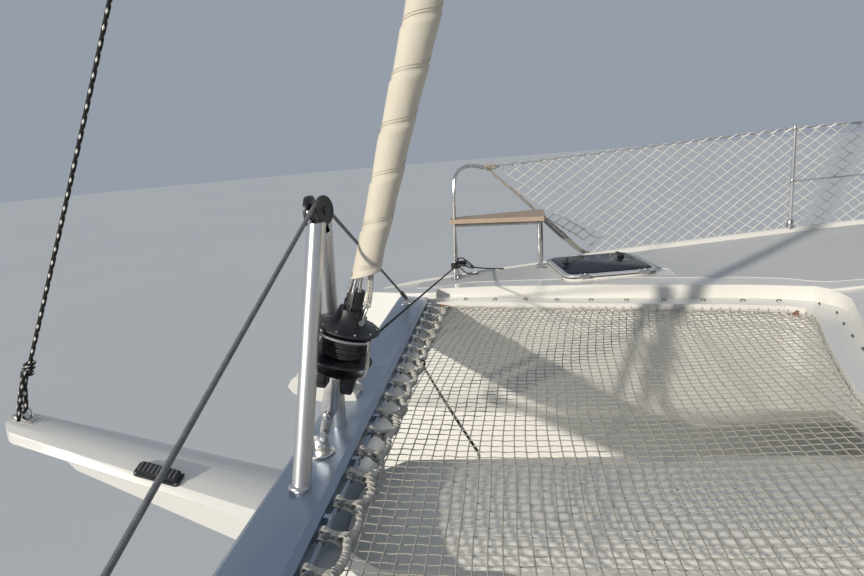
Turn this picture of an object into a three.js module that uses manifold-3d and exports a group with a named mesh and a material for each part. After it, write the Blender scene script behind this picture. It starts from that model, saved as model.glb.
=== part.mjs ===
// A cruising sailing catamaran, 11.5 m on deck, afloat, with its headsail rolled up on the forestay.
// Millimetres. +X points forward, +Y to port, +Z up.
// The origin is amidships on the centreline, at the waterline.
import * as THREE from "three";
import { mergeVertices } from "three/addons/utils/BufferGeometryUtils.js";
import Module from "manifold-3d";

const wasm = await Module();
wasm.setup();

// Driving dimensions
const GAP = 0.3; // between pieces that touch
const RUN = 0.7; // round a pin or runner that turns or slides
const HULL_Y = 2300; // a hull's centreline, from the boat's
const INNER_Y = 1500; // the hulls' inner walls, alongside the bridge deck
const DECK_Z = 1550; // side decks and saloon base
const FLOOR_Z = 800; // saloon and cockpit floor
const BRIDGE_UNDER_Z = 700; // underside of the bridge deck
const STEM_X = 5750;
const TRANSOM_X = -5750;
const KEEL_Z = -1150; // draught

const BEAM = { x: 5350, topZ: 1420, width: 218, depth: 250, railX: 5230 };
const TRAMPOLINE = { z: 1368, thick: 12, frontX: 5120, flangeZ: 1395 };
const SPRIT = { tipX: 6390, nose: 60, longeronUnderZ: 985 };
const STRIKER = { half: 213, apexX: 5262, apexZ: 2172, tubeR: 27, stayY: 1800 };
const FORESTAY = { x: 5350, z: 1424, rake: 0.33, topZ: 14600 };
const MAST = { x: 895, halfLong: 105, halfWide: 65, topZ: 16950, spreaderZ: 9200 };
const BOOM = { pivotX: 738, z: 3720, endX: -3950, halfWide: 60, halfHigh: 95, pinR: 9 };
const CHAINPLATE = { x: 295, y: 3110 };
const LIFELINE = { height: 716, postR: 12.5, wireR: 5, inset: 60 };
const WALLS = { topZ: 2720, thick: 60, aftX: -2400, glass: 8 };
const RUDDER = { x: -4700, stockR: 30, topZ: -270, bottomZ: -1020 };
const SAILDRIVE = { x: -3250, z: -880 };
const BOW_HATCH = { x: 4180, y: 2285, long: 560, wide: 590, turn: 9, rimZ: 1484, thick: 24 };
const ENGINE_HATCH = { x: [-4230, -3600], y: [2000, 2700], thick: 28 };
const ENGINE = { x: [-4130, -3720], y: [2110, 2590], z: [30, 640] };

// Hull stations from stem to transom.
// Columns: x, deck edge y (outer, inner), deck edge z (outer, inner), waterline half breadth, bottom z
const STATIONS = [
  [5750, 2287, 2228, 1395, 1402, 14, -10],
  [5600, 2372, 2110, 1402, 1425, 62, -200],
  [5350, 2470, 1976, 1411, 1440, 130, -330],
  [5000, 2580, 1878, 1428, 1462, 215, -420],
  [4400, 2722, 1748, 1455, 1474, 335, -500],
  [3600, 2870, 1580, 1488, 1465, 455, -560],
  [3300, 2918, INNER_Y, 1500, 1466, 486, -580],
  [2700, 3012, INNER_Y, 1526, 1508, 545, -600],
  [2300, 3065, INNER_Y, 1540, DECK_Z, 568, -609],
  [1800, 3125, INNER_Y, DECK_Z, DECK_Z, 590, -618],
  [900, 3205, INNER_Y, DECK_Z, DECK_Z, 612, -622],
  [-600, 3248, INNER_Y, DECK_Z, DECK_Z, 618, -605],
  [-2100, 3246, INNER_Y, DECK_Z, DECK_Z, 596, -535],
  [-3300, 3222, INNER_Y, DECK_Z, DECK_Z, 556, -425],
  [-4350, 3178, INNER_Y, DECK_Z, DECK_Z, 500, -270],
  [-5100, 3122, 1560, DECK_Z, DECK_Z, 436, -140],
  [TRANSOM_X, 3050, 1650, DECK_Z, DECK_Z, 372, -40],
].map(([x, outerY, innerY, outerZ, innerZ, half, bottomZ]) =>
  ({ x, outerY, innerY, outerZ, innerZ, half, bottomZ }));

const finish = (color, roughness, metalness = 0) =>
  new THREE.MeshStandardMaterial({ color, roughness, metalness });
const GELCOAT = finish(0xf2f0ea, 0.25);
const NONSKID = finish(0xc9ccd0, 0.8);
const ALUMINIUM = finish(0x9aa6b4, 0.35, 0.9);
const SATIN_TUBE = finish(0xd6d8da, 0.3, 0.9);
const STAINLESS = finish(0xc8c6c0, 0.15, 1);
const SAILCLOTH = finish(0xece5d6, 0.85);
const ACRYLIC = finish(0x10161d, 0.05);
const BLACK_PLASTIC = finish(0x17181a, 0.45);
const NETTING = finish(0xb9bab6, 0.9);
const SEAT_BOARD = finish(0xb59f8b, 0.7);
const CUSHION = finish(0x8f9499, 0.9);
const IRON = finish(0x8a8f92, 0.5, 0.7);
const BRONZE = finish(0x9c7d45, 0.35, 0.9);
const ENGINE_PAINT = finish(0x6d7f78, 0.5);

// Solids
function solidOf(geometry) {
  const flat = geometry.index ? geometry.toNonIndexed() : geometry.clone();
  const bare = new THREE.BufferGeometry().setAttribute("position", flat.getAttribute("position"));
  const merged = mergeVertices(bare, 1e-3);
  const make = (triVerts) =>
    new wasm.Manifold(new wasm.Mesh({
      numProp: 3,
      vertProperties: merged.attributes.position.array,
      triVerts,
    }));
  const triVerts = new Uint32Array(merged.index.array);
  const made = make(triVerts);
  return made.volume() >= 0 ? made : make(triVerts.reverse());
}

function geometryOf(solid) {
  const mesh = solid.getMesh();
  const stride = mesh.numProp;
  const places = new Float32Array(mesh.numVert * 3);
  for (let i = 0; i < mesh.numVert; i++)
    places.set(mesh.vertProperties.subarray(i * stride, i * stride + 3), i * 3);
  const geometry = new THREE.BufferGeometry()
    .setAttribute("position", new THREE.BufferAttribute(places, 3))
    .setIndex(new THREE.BufferAttribute(mesh.triVerts, 1));
  geometry.computeVertexNormals();
  return geometry;
}

const box = ([x0, x1], [y0, y1], [z0, z1]) =>
  solidOf(new THREE.BoxGeometry(x1 - x0, y1 - y0, z1 - z0)
    .translate((x0 + x1) / 2, (y0 + y1) / 2, (z0 + z1) / 2));

// A round rod from p to q.
function rod(p, q, radius, sides = 10, endRadius = radius) {
  const [a, b] = [new THREE.Vector3(...p), new THREE.Vector3(...q)];
  const along = b.clone().sub(a);
  const turn = new THREE.Quaternion()
    .setFromUnitVectors(new THREE.Vector3(0, 1, 0), along.clone().normalize());
  const middle = a.clone().add(b).divideScalar(2);
  return solidOf(new THREE.CylinderGeometry(endRadius, radius, along.length(), sides)
    .applyQuaternion(turn).translate(middle.x, middle.y, middle.z));
}

// A bent tube along points, as a section swept along a smooth curve.
function tube(points, radius, steps, sides = 10) {
  const section = new THREE.Shape(Array.from({ length: sides }, (_, i) => {
    const a = (i / sides) * 2 * Math.PI;
    return new THREE.Vector2(radius * Math.cos(a), radius * Math.sin(a));
  }));
  const path = new THREE.CatmullRomCurve3(points.map((p) => new THREE.Vector3(...p)), false, "centripetal");
  return solidOf(new THREE.ExtrudeGeometry(section, { steps, extrudePath: path, bevelEnabled: false }));
}

// An outline of [x, y] points, upright from z0 to z1.
function prism(outline, z0, z1) {
  const shape = new THREE.Shape(outline.map((p) => new THREE.Vector2(...p)));
  return solidOf(new THREE.ExtrudeGeometry(shape, { depth: z1 - z0, bevelEnabled: false })
    .translate(0, 0, z0));
}

// A side view of [x, z] points, extended across from y0 to y1.
function profile(outline, y0, y1) {
  const shape = new THREE.Shape(outline.map((p) => new THREE.Vector2(...p)));
  return solidOf(new THREE.ExtrudeGeometry(shape, { depth: y1 - y0, bevelEnabled: false })
    .rotateX(Math.PI / 2).translate(0, y1, 0));
}

// Rings of [x, y, z] points, all with the same count, skinned. Each cap is triangulated in capOf's plane.
function loft(rings, capOf) {
  const count = rings[0].length;
  const places = rings.flat(2);
  const faces = [];
  for (let r = 0; r + 1 < rings.length; r++)
    for (let i = 0; i < count; i++) {
      const [a, b] = [r * count + i, r * count + ((i + 1) % count)];
      faces.push(a, b, a + count, b, b + count, a + count);
    }
  const cap = (ring, base, flip) => {
    const flat = ring.map(capOf);
    for (const t of THREE.ShapeUtils.triangulateShape(flat, [])) {
      const [a, b, c] = t.map((i) => base + i);
      faces.push(...(flip ? [a, c, b] : [a, b, c]));
    }
  };
  const flat = rings[0].map(capOf);
  const clockwise = THREE.ShapeUtils.isClockWise(flat);
  cap(rings[0], 0, !clockwise);
  cap(rings.at(-1), (rings.length - 1) * count, clockwise);
  return solidOf(new THREE.BufferGeometry()
    .setAttribute("position", new THREE.Float32BufferAttribute(places, 3)).setIndex(faces));
}
const acrossX = ([, y, z]) => new THREE.Vector2(y, z);
const acrossZ = ([x, y]) => new THREE.Vector2(x, y);

const join = (...solids) => solids.reduce((a, b) => a.add(b));
const cut = (body, ...tools) => tools.reduce((a, b) => a.subtract(b), body);
const mirrored = (solid) => solid.mirror([0, 1, 0]);
const bothSides = (outline) => [...outline, ...outline.slice().reverse().map(([x, y]) => [x, -y])];
const between = (a, b, t) => a + (b - a) * t;

// A hull value at any x, from the station table.
function station(x, key) {
  const i = Math.max(1, STATIONS.findIndex((s) => s.x <= x));
  const [a, b] = [STATIONS[i - 1], STATIONS[i]];
  return between(a[key], b[key], (a.x - x) / (a.x - b.x));
}

// Plan outlines of the trampoline's well and of the ledge round it, port side only: front to centre
const WELL = [
  [BEAM.railX, 1940], [4400, 1748], [3560, 1571], [3360, 1518], [3290, 1458], [3276, 1380],
  [3335, 1195], [3412, 966], [3483, 725], [3560, 430], [3600, 0],
];
const LEDGE = [
  [BEAM.railX - 30, 2050], [4400, 1862], [3560, 1715], [3480, 1694], [3334, 1648], [3194, 1580],
  [3128, 1455], [3130, 1354], [3196, 1174], [3285, 934], [3360, 690], [3430, 400], [3465, 0],
];

function hullRing(s) {
  const flat = s.half * 0.24;
  const outer = HULL_Y + s.half;
  const inner = HULL_Y - s.half;
  const flare = s.outerY - outer;
  const edge = Math.min(55, (s.outerY - s.innerY) * 0.3);
  const points = [
    [HULL_Y - flat, s.bottomZ],
    [HULL_Y + flat, s.bottomZ],
    [HULL_Y + s.half * 0.66, s.bottomZ * 0.86],
    [HULL_Y + s.half * 0.9, s.bottomZ * 0.56],
    [HULL_Y + s.half * 0.99, s.bottomZ * 0.2],
    [outer + flare * 0.22, s.outerZ * 0.25],
    [outer + flare * 0.58, s.outerZ * 0.6],
    [outer + flare * 0.9, s.outerZ * 0.86],
    [s.outerY, s.outerZ - 62],
    [s.outerY - edge * 0.25, s.outerZ - 16],
    [s.outerY - edge, s.outerZ],
    [between(s.outerY, s.innerY, 0.5), between(s.outerZ, s.innerZ, 0.5)],
    [s.innerY, s.innerZ],
    [s.innerY, 820],
    [between(s.innerY, inner, 0.35), 700],
    [between(s.innerY, inner, 0.92), 590],
    [HULL_Y - s.half * 0.99, s.bottomZ * 0.2],
    [HULL_Y - s.half * 0.9, s.bottomZ * 0.56],
    [HULL_Y - s.half * 0.66, s.bottomZ * 0.86],
  ];
  return points.map(([y, z]) => [s.x, y, z]);
}

const CUT_TOP = 1800; // above every deck
const SCOOP = { top: [-4350, DECK_Z], end: [-5900, 560], wall: 110 };
const STEPS = [[-4420, 1240], [-4770, 930], [-5110, 620], [-5460, 400]];

function sternCut() {
  const above = profile([SCOOP.top, SCOOP.end, [-5900, CUT_TOP], [-4350, CUT_TOP]], 1400, 3400);
  const treads = [[STEPS[0][0], CUT_TOP]];
  STEPS.forEach(([x, z], i) => {
    const next = STEPS[i + 1] ? STEPS[i + 1][0] : -5900;
    treads.push([x, z], [next, z]);
  });
  treads.push([-5900, CUT_TOP]);
  return join(above, profile(treads, 1650 + SCOOP.wall, 3050 - SCOOP.wall));
}

function roundedRect([x0, x1], [y0, y1], r) {
  const corners = [[x1 - r, y1 - r, 0], [x0 + r, y1 - r, 90], [x0 + r, y0 + r, 180], [x1 - r, y0 + r, 270]];
  return corners.flatMap(([x, y, start]) => [0, 45, 90].map((turn) => {
    const a = ((start + turn) * Math.PI) / 180;
    return [x + r * Math.cos(a), y + r * Math.sin(a)];
  }));
}
const inset = ([a, b], by) => [a + by, b - by];

// The bow hatch lies along the hull's outer edge. Points are given along it and outboard from its middle.
function onBowHatch([along, out]) {
  const turn = (BOW_HATCH.turn * Math.PI) / 180;
  return [
    BOW_HATCH.x + along * Math.cos(turn) + out * Math.sin(turn),
    BOW_HATCH.y - along * Math.sin(turn) + out * Math.cos(turn),
  ];
}
function bowHatchOutline(grow, r) {
  const half = [BOW_HATCH.long / 2 + grow, BOW_HATCH.wide / 2 + grow];
  return roundedRect([-half[0], half[0]], [-half[1], half[1]], r).map(onBowHatch);
}

// The port hull, with its forepeak locker, engine bay, stern steps and the well's flange.
function makeHull() {
  const bare = loft(STATIONS.map(hullRing), acrossX);
  const rim = prism(bowHatchOutline(0, 80), 1400, BOW_HATCH.rimZ);
  const locker = prism(bowHatchOutline(-45, 50), 960, CUT_TOP);
  const bay = box(inset(ENGINE_HATCH.x, 50), inset(ENGINE_HATCH.y, 50), [ENGINE.z[0] - GAP, CUT_TOP]);
  const flange = prism(bothSides(LEDGE), TRAMPOLINE.flangeZ, CUT_TOP);
  const stockHole = rod([RUDDER.x, HULL_Y, -600], [RUDDER.x, HULL_Y, 215], RUDDER.stockR + 1, 24);
  return cut(join(cut(bare, flange), rim), locker, bay, sternCut(), stockHole);
}

const hullPort = makeHull();
const hullStarboard = mirrored(hullPort);
// What meets the hulls is cut by them, moved by the gap towards the piece.
const clearOfHulls = (body, [dy, dz] = [GAP, 0]) =>
  cut(body, hullPort.translate([0, -dy, dz]), hullStarboard.translate([0, dy, dz]));

// Bridge deck: saloon floor, cockpit well and foredeck, one moulding between the hulls.
function makeBridgeDeck() {
  const side = [
    [3700, 1462], [3100, 1466], [2300, DECK_Z], [2050, DECK_Z], [2050, FLOOR_Z],
    [-4200, FLOOR_Z], [-4250, 1500], [-4400, 1500], [-4400, BRIDGE_UNDER_Z], [2200, BRIDGE_UNDER_Z],
    [2700, 790], [3150, 960], [3450, 1150], [3620, 1330],
  ];
  const side0 = INNER_Y - GAP;
  const plan = [...WELL.slice(2).reverse(), [3300, 1560], [3300, side0], [-4500, side0]];
  const body = profile(side, -1700, 1700).intersect(prism(bothSides(plan), 0, CUT_TOP));
  return clearOfHulls(cut(body, prism(bothSides(LEDGE), TRAMPOLINE.flangeZ, CUT_TOP)));
}

// Longeron under the trampoline and, past the crossbeam, the bowsprit: a crowned moulding over a web.
// Columns: x, ridge z, half width, web's half width, underside z
const SPRIT_RINGS = [
  [3200, 1275, 290, 230, SPRIT.longeronUnderZ],
  [5120, 1275, 290, 230, SPRIT.longeronUnderZ],
  [5300, 1262, 150, 110, 1030],
  [5500, 1307, 138, 104, 1101],
  [6154, 1506, 93, 70, 1400],
  [6185, 1515, 91, 68, 1437],
  [SPRIT.tipX, 1578, 76, 56, 1500],
];
function makeSprit() {
  const { tipX, nose } = SPRIT;
  const ring = ([x, ridge, half, web, under]) => {
    const side = [
      [half * 0.55, ridge - 8], [half * 0.88, ridge - 24], [half, ridge - 52], [half * 0.93, ridge - 60],
      [web, ridge - 66], [web * 0.85, under],
    ];
    const far = side.slice().reverse().map(([y, z]) => [x, -y, z]);
    return [[x, 0, ridge], ...side.map(([y, z]) => [x, y, z]), ...far];
  };
  const wide = SPRIT_RINGS.at(-1)[2];
  const plan = [
    [3200, 400], [5200, 400], [5400, wide * 2.5], [tipX - nose, wide * 1.05], [tipX - nose * 0.3, wide * 0.8],
    [tipX, wide * 0.45],
  ];
  return loft(SPRIT_RINGS.map(ring), acrossX).intersect(prism(bothSides(plan), 900, CUT_TOP));
}

const beamSection = (grow) => {
  const { x, topZ, width, depth } = BEAM;
  const [h, d] = [width / 2 + grow, depth / 2 + grow];
  const c = topZ - depth / 2;
  return [
    [x + h * 0.9, c + d * 0.88], [x + h * 0.72, c + d], [x - h * 0.72, c + d], [x - h * 0.9, c + d * 0.88],
    [x - h, c + d * 0.5], [x - h, c - d * 0.5], [x - h * 0.72, c - d * 0.9], [x - h * 0.4, c - d],
    [x + h * 0.4, c - d], [x + h * 0.72, c - d * 0.9], [x + h, c - d * 0.5], [x + h, c + d * 0.5],
  ];
};

// Crossbeam with the lacing rail along its aft side.
function makeCrossbeam() {
  const rail = rod([BEAM.railX, -1880, 1392], [BEAM.railX, 1880, 1392], 7, 8);
  const standoffs = Array.from({ length: 13 }, (_, i) => {
    const y = -1860 + i * 310;
    return box([BEAM.railX - 6, BEAM.x - 100], [y - 9, y + 9], [1380, 1403]);
  });
  const ends = profile(beamSection(0), -2200, 2200);
  return join(clearOfHulls(ends), rail, ...standoffs);
}

const bridgeDeck = makeBridgeDeck();
const crossbeam = makeCrossbeam();
const sprit = cut(makeSprit(), profile(beamSection(GAP), -400, 400), bridgeDeck.translate([GAP, 0, 0]),
  box([2900, 3700], [-400, 400], [600, 1400]).intersect(bridgeDeck.translate([GAP, 0, -GAP])));

// Net: a thin sheet in the well, laced to the beam's rail across a gap.
function makeTrampoline() {
  const { z, thick, frontX } = TRAMPOLINE;
  const outline = [[frontX, 1908], ...WELL.slice(1).map(([x, y]) => [x + 1, Math.max(0, y - 1)])];
  return clearOfHulls(prism(bothSides(outline), z - thick, z));
}

// A-frame on the beam that holds the stay which stops the beam bending up.
function makeStrikerFrame() {
  const { half, apexX, apexZ, tubeR } = STRIKER;
  const foot = BEAM.topZ + GAP;
  const leg = (y) => rod([BEAM.x, y, foot - 40], [apexX, y * 0.13, apexZ - 20], tubeR, 16);
  const bridge = box([apexX - 20, apexX + 20], [-30, 30], [apexZ - 70, apexZ - 20]);
  const ends = [[foot - 80, foot], [apexZ - 20, apexZ + 20]]
    .map((z) => box([BEAM.x - 200, BEAM.x + 200], [-400, 400], z));
  return cut(join(leg(half), leg(-half), bridge), ...ends);
}

function makeStrikerCap() {
  const { apexX, apexZ } = STRIKER;
  const head = rod([apexX, -62, apexZ + 22], [apexX, 62, apexZ + 22], 42, 14);
  const cheeks = box([apexX - 38, apexX + 38], [-62, 62], [apexZ - 20 + GAP, apexZ + 22]);
  return join(cut(head, box([apexX - 60, apexX + 60], [-90, 90], [apexZ - 60, apexZ - 20 + GAP])), cheeks);
}

// Port stay: a rod from the cap to a pad on the beam.
function makeStrikerStay() {
  const { apexX, apexZ, stayY } = STRIKER;
  const top = [apexX, 62 + GAP + 6, apexZ + 14];
  const foot = [BEAM.x + 10, stayY, BEAM.topZ + 34];
  const pad = box([BEAM.x - 25, BEAM.x + 45], [stayY - 35, stayY + 35], [BEAM.topZ + GAP, BEAM.topZ + 20]);
  const eye = box([BEAM.x + 2, BEAM.x + 18], [stayY - 22, stayY + 14], [BEAM.topZ + 10, BEAM.topZ + 52]);
  return join(rod(top, foot, 6, 8), pad, eye);
}

// Bow roller across the beam: two cheeks with a roller between, reaching out over the beam's forward edge.
const BOW_ROLLER = { cheekY: [-403, -497], thick: 10, eye: [5494, 48], wheel: [5548, 66], wheelR: 30 };
function makeBowRoller() {
  const { cheekY, thick, eye, wheel, wheelR } = BOW_ROLLER;
  const cheek = [
    [5328, GAP], [5334, 30], [5357, 56], [5440, 75], [5462, 104], [5498, 113], [5538, 110], [5571, 95],
    [5591, 67], [5578, 42], [5545, 20], [5500, 10], [5470, GAP],
  ].map(([x, rise]) => [x, BEAM.topZ + rise]);
  const across = ([x, rise], y0, y1, r) => rod([x, y0, BEAM.topZ + rise], [x, y1, BEAM.topZ + rise], r, 14);
  const cheeks = cheekY.map((y) => profile(cheek, y - thick / 2, y + thick / 2));
  const base = box([5335, 5458], cheekY.slice().reverse(), [BEAM.topZ + GAP, BEAM.topZ + 7]);
  const [near, far] = cheekY;
  return cut(join(...cheeks, base, across(wheel, far, near, wheelR)), across(eye, far - 20, near + 20, 11));
}

// Points along the forestay, by height above its foot.
const onStay = (rise) => [FORESTAY.x - FORESTAY.rake * rise, 0, FORESTAY.z + rise];

// A solid of revolution about the forestay, from [radius, rise] pairs.
function onForestay(pairs, sides) {
  const turned = new THREE.LatheGeometry(pairs.map(([r, h]) => new THREE.Vector2(r, h)), sides);
  const axis = new THREE.Vector3(-FORESTAY.rake, 0, 1).normalize();
  turned.applyQuaternion(new THREE.Quaternion().setFromUnitVectors(new THREE.Vector3(0, 1, 0), axis));
  return solidOf(turned.translate(FORESTAY.x, 0, FORESTAY.z));
}
const ALONG = Math.hypot(FORESTAY.rake, 1); // length along the stay for each unit of height
const DRUM = [
  [0, 345], [15 + RUN, 345], [15 + RUN, 326], [90, 326], [96, 332], [90, 338], [52, 342], [52, 424],
  [92, 427], [97, 432], [90, 438], [60, 452], [42, 486], [34, 520], [30, 577], [0, 577],
];
const SAIL_END = (FORESTAY.topZ - 700 - FORESTAY.z) * ALONG;
const SAIL = [
  [0, 577 + GAP], [42, 577 + GAP], [49, 900], [56, 1600], [69, 3400], [74, 6000], [66, 9000],
  [48, 11400], [30, SAIL_END], [0, SAIL_END],
];

// Toggle, link plates, base plate and drum guard: what doesn't turn with the headsail.
function makeFurlerLinks() {
  const along = (d, [off, y] = [0, 0]) => [
    FORESTAY.x + (off - FORESTAY.rake * d) / ALONG, y, FORESTAY.z + (d + FORESTAY.rake * off) / ALONG,
  ];
  const strap = ([y0, y1], [d0, d1], half) => {
    const corners = [[d0, -half], [d1, -half], [d1, half], [d0, half]].map(([d, off]) => along(d, [off, 0]));
    return profile(corners.map(([x, , z]) => [x, z]), y0, y1);
  };
  const straps = [[-19, -13], [13, 19]].map((y) => strap(y, [112, 300], 24));
  const fork = join(strap([-8, 8], [40, 150], 11), strap([-13.5, 13.5], [96, 112], 15));
  const cheeks = strap([-13.5, 13.5], [228, 296], 40);
  const spigot = rod(along(290), along(342), 15, 20);
  const pins = [128, 262].map((d) => rod(along(d, [0, -27]), along(d, [0, 27]), 9, 10));
  const pad = rod([FORESTAY.x, 0, BEAM.topZ + GAP], [FORESTAY.x, 0, BEAM.topZ + 8], 46, 16);
  const lug = box([FORESTAY.x - 30, FORESTAY.x + 14], [-8, 8], [BEAM.topZ + 4, BEAM.topZ + 60]);
  const plate = onForestay([[0, 294], [88, 294], [88, 300], [0, 300]], 20);
  const guard = [[-1, -0.62], [1, -0.62]].map(([side, lean]) => {
    const [off, y] = [104 * lean, 104 * side * 0.78];
    const lower = rod(along(297, [off * 0.72, y * 0.72]), along(312, [off, y]), 4, 6);
    return [lower, rod(along(310, [off, y]), along(412, [off, y]), 4, 6)];
  });
  const hoop = rod(along(408, [-64.5, -81]), along(408, [-104, 0]), 4, 6)
    .add(rod(along(408, [-104, 0]), along(408, [-64.5, 81]), 4, 6));
  return join(...straps, fork, cheeks, spigot, ...pins, pad, lug, plate, ...guard.flat(), hoop);
}

function makeForestayHead(mast) {
  const rise = FORESTAY.topZ - FORESTAY.z;
  const start = onStay(SAIL_END / ALONG + 6);
  const swivel = onStay(SAIL_END / ALONG + 160);
  const wire = rod(start, onStay(rise - 20), 6, 8);
  return cut(join(wire, rod(start, swivel, 22, 10)), mast.translate([GAP, 0, 0]));
}

// Bow seat rail: post, curved top, and the frame and legs that carry the seat board, in one.
const PULPIT = {
  post: [5114, 2330], leg: [4537, 2450], end: [4887, 2505, 2152], seatRise: 391, seatInner: 2200, tubeR: 12.5,
};
const postAt = (rise) => [PULPIT.post[0] - 0.055 * rise, PULPIT.post[1]]; // the post leans aft
function makePulpit() {
  const [px, py] = PULPIT.post;
  const base = station(px, "outerZ") + 6;
  const hoop = tube([
    [px, py, base + 6], [...postAt(330), base + 330], [px - 33, py + 4, base + 600],
    [px - 54, py + 25, base + 705], [px - 128, py + 90, base + 745], PULPIT.end,
  ], PULPIT.tubeR, 22);
  const [lx, ly] = PULPIT.leg;
  const seatZ = base + PULPIT.seatRise - 20;
  const outline = [postAt(PULPIT.seatRise), [px - 10, py + 95], [lx, ly + 110]];
  const corners = [...outline, [lx, PULPIT.seatInner + 30]];
  const frame = corners.map(([x, y], i) => {
    const [nextX, nextY] = corners[(i + 1) % corners.length];
    return rod([x, y, seatZ], [nextX, nextY, seatZ], PULPIT.tubeR);
  });
  const stands = [[px, py], ...outline.slice(1), [lx, ly]];
  const legs = stands.slice(1).map(([x, y], i) =>
    rod([x, y, base - 4], [...corners[i + 1], seatZ], PULPIT.tubeR));
  const feet = stands.map(([x, y]) => rod([x, y, base - 22], [x, y, base + 20], 30, 12));
  return clearOfHulls(join(hoop, ...legs, ...frame, ...feet), [0, GAP]);
}

function makePulpitSeat(pulpit) {
  const [px, py] = PULPIT.post;
  const [lx, ly] = PULPIT.leg;
  const z = station(px, "outerZ") + 6 + PULPIT.seatRise - 7.5 + GAP;
  const inner = PULPIT.seatInner;
  const outline = [
    [px - 4, py - 22], [px + 8, py - 8], [px + 8, py + 90], [px - 8, py + 108],
    [lx - 20, ly + 126], [lx - 32, ly + 114],
    [lx - 32, inner + 12], [lx - 20, inner - 4], [lx + 12, inner - 6],
  ];
  const { seatRise } = PULPIT;
  const postHole = rod([...postAt(seatRise - 60), z - 50], [...postAt(seatRise + 80), z + 80], 17, 16);
  return cut(prism(outline, z, z + 28), pulpit.translate([0, 0, GAP]), postHole);
}

// Stanchions, the upper wire and the sloping front edge, all in one.
const POSTS = [2763, 1000, -800, -2600, -4230];
const postFoot = (x) => [x, station(x, "outerY") - LIFELINE.inset, station(x, "outerZ")];
const NET_FOOT = [4190, station(4190, "outerY") - 45, station(4190, "outerZ")];
function makeLifelines() {
  const { height, postR, wireR } = LIFELINE;
  const tops = POSTS.map((x) => {
    const [, y, z] = postFoot(x);
    return [x, y, z + height];
  });
  const start = [PULPIT.end[0] - 14, PULPIT.end[1] + 4, PULPIT.end[2] + 2];
  const line = [start, ...tops];
  const wires = line.slice(1).map((p, i) => rod(line[i], p, wireR, 6));
  const middle = POSTS.slice(1).map((x, i) => {
    const [a, b] = [postFoot(POSTS[i]), postFoot(x)];
    return rod([a[0], a[1], a[2] + height / 2], [b[0], b[1], b[2] + height / 2], wireR, 6);
  });
  const posts = POSTS.map((x) => {
    const [, y, z] = postFoot(x);
    const under = [x, y, z - 20];
    return join(rod(under, [x, y, z + height + 8], postR, 10), rod(under, [x, y, z + 60], 20, 10));
  });
  const slope = rod(start, [NET_FOOT[0], NET_FOOT[1], NET_FOOT[2] - 10], 7, 8);
  return clearOfHulls(join(...posts, ...wires, ...middle, slope), [0, GAP]);
}

// Netting outside the stanchions, as a thin sheet from the deck edge to the upper wire.
function makeLifelineNet() {
  const off = LIFELINE.postR + 8;
  const front = [PULPIT.end[0] - 60, PULPIT.end[1] + off + 6, PULPIT.end[2] - 10];
  const low = [NET_FOOT[0], NET_FOOT[1] + off, NET_FOOT[2] + 20];
  const panels = POSTS.map((x) => {
    const [, y, z] = postFoot(x);
    return [[x, y + off, z + 14], [x, y + off, z + LIFELINE.height - 12]];
  });
  const strips = [[[front[0], front[1], front[2] - 30], front], [[low[0], low[1], low[2]],
    [low[0], between(front[1], panels[0][1][1], 0.33), between(front[2], panels[0][1][2], 0.33)]], ...panels];
  return loft(strips.map(([a, b]) => [
    [a[0], a[1], a[2]], [a[0], a[1] + 5, a[2]], [b[0], b[1] + 5, b[2]], [b[0], b[1], b[2]],
  ]), acrossX);
}

// The saloon's sides are flat facets that lean inwards, shared by its walls, glazing and roof.
// Columns: a facet's direction, degrees from ahead; its distance out at deck level; its lean per mm of height
const FACETS = [
  [0, 2250, 0.85], [12.6, 2305, 0.8], [31, 2461, 0.62], [62, 2479, 0.36], [84.3, 2278, 0.2], [89, 2290, 0.17],
];
function outlineAt(z, inward, aftX = WALLS.aftX) {
  const lines = FACETS.map(([turn, out, lean]) => {
    const a = (turn * Math.PI) / 180;
    return [Math.cos(a), Math.sin(a), out - lean * (z - DECK_Z) - inward * Math.hypot(1, lean)];
  });
  const corners = lines.slice(1).map(([c, s, d], i) => {
    const [c0, s0, d0] = lines[i];
    const det = c0 * s - s0 * c;
    return [(d0 * s - s0 * d) / det, (c0 * d - c * d0) / det];
  });
  const [c, s, d] = lines.at(-1);
  return bothSides([...corners, [aftX, (d - c * aftX) / s]]).map(([x, y]) => [x, y, z]);
}
const shell = (inward, z0 = DECK_Z + GAP, z1 = WALLS.topZ) =>
  loft([z0, z1].map((z) => outlineAt(z, inward)), acrossZ);
const GLASS_BAND = { x: [-1750, 2400], z: [1820, 2520], rebate: 40 };
const DOORWAY = { half: 450, z: [850, 2450] };
const DOOR = {
  x: [-2335, -2313], half: 485, z: [806, 2490], runnerX: [-2328, -2320], runnerTop: 2507, travel: 935,
};

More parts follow.
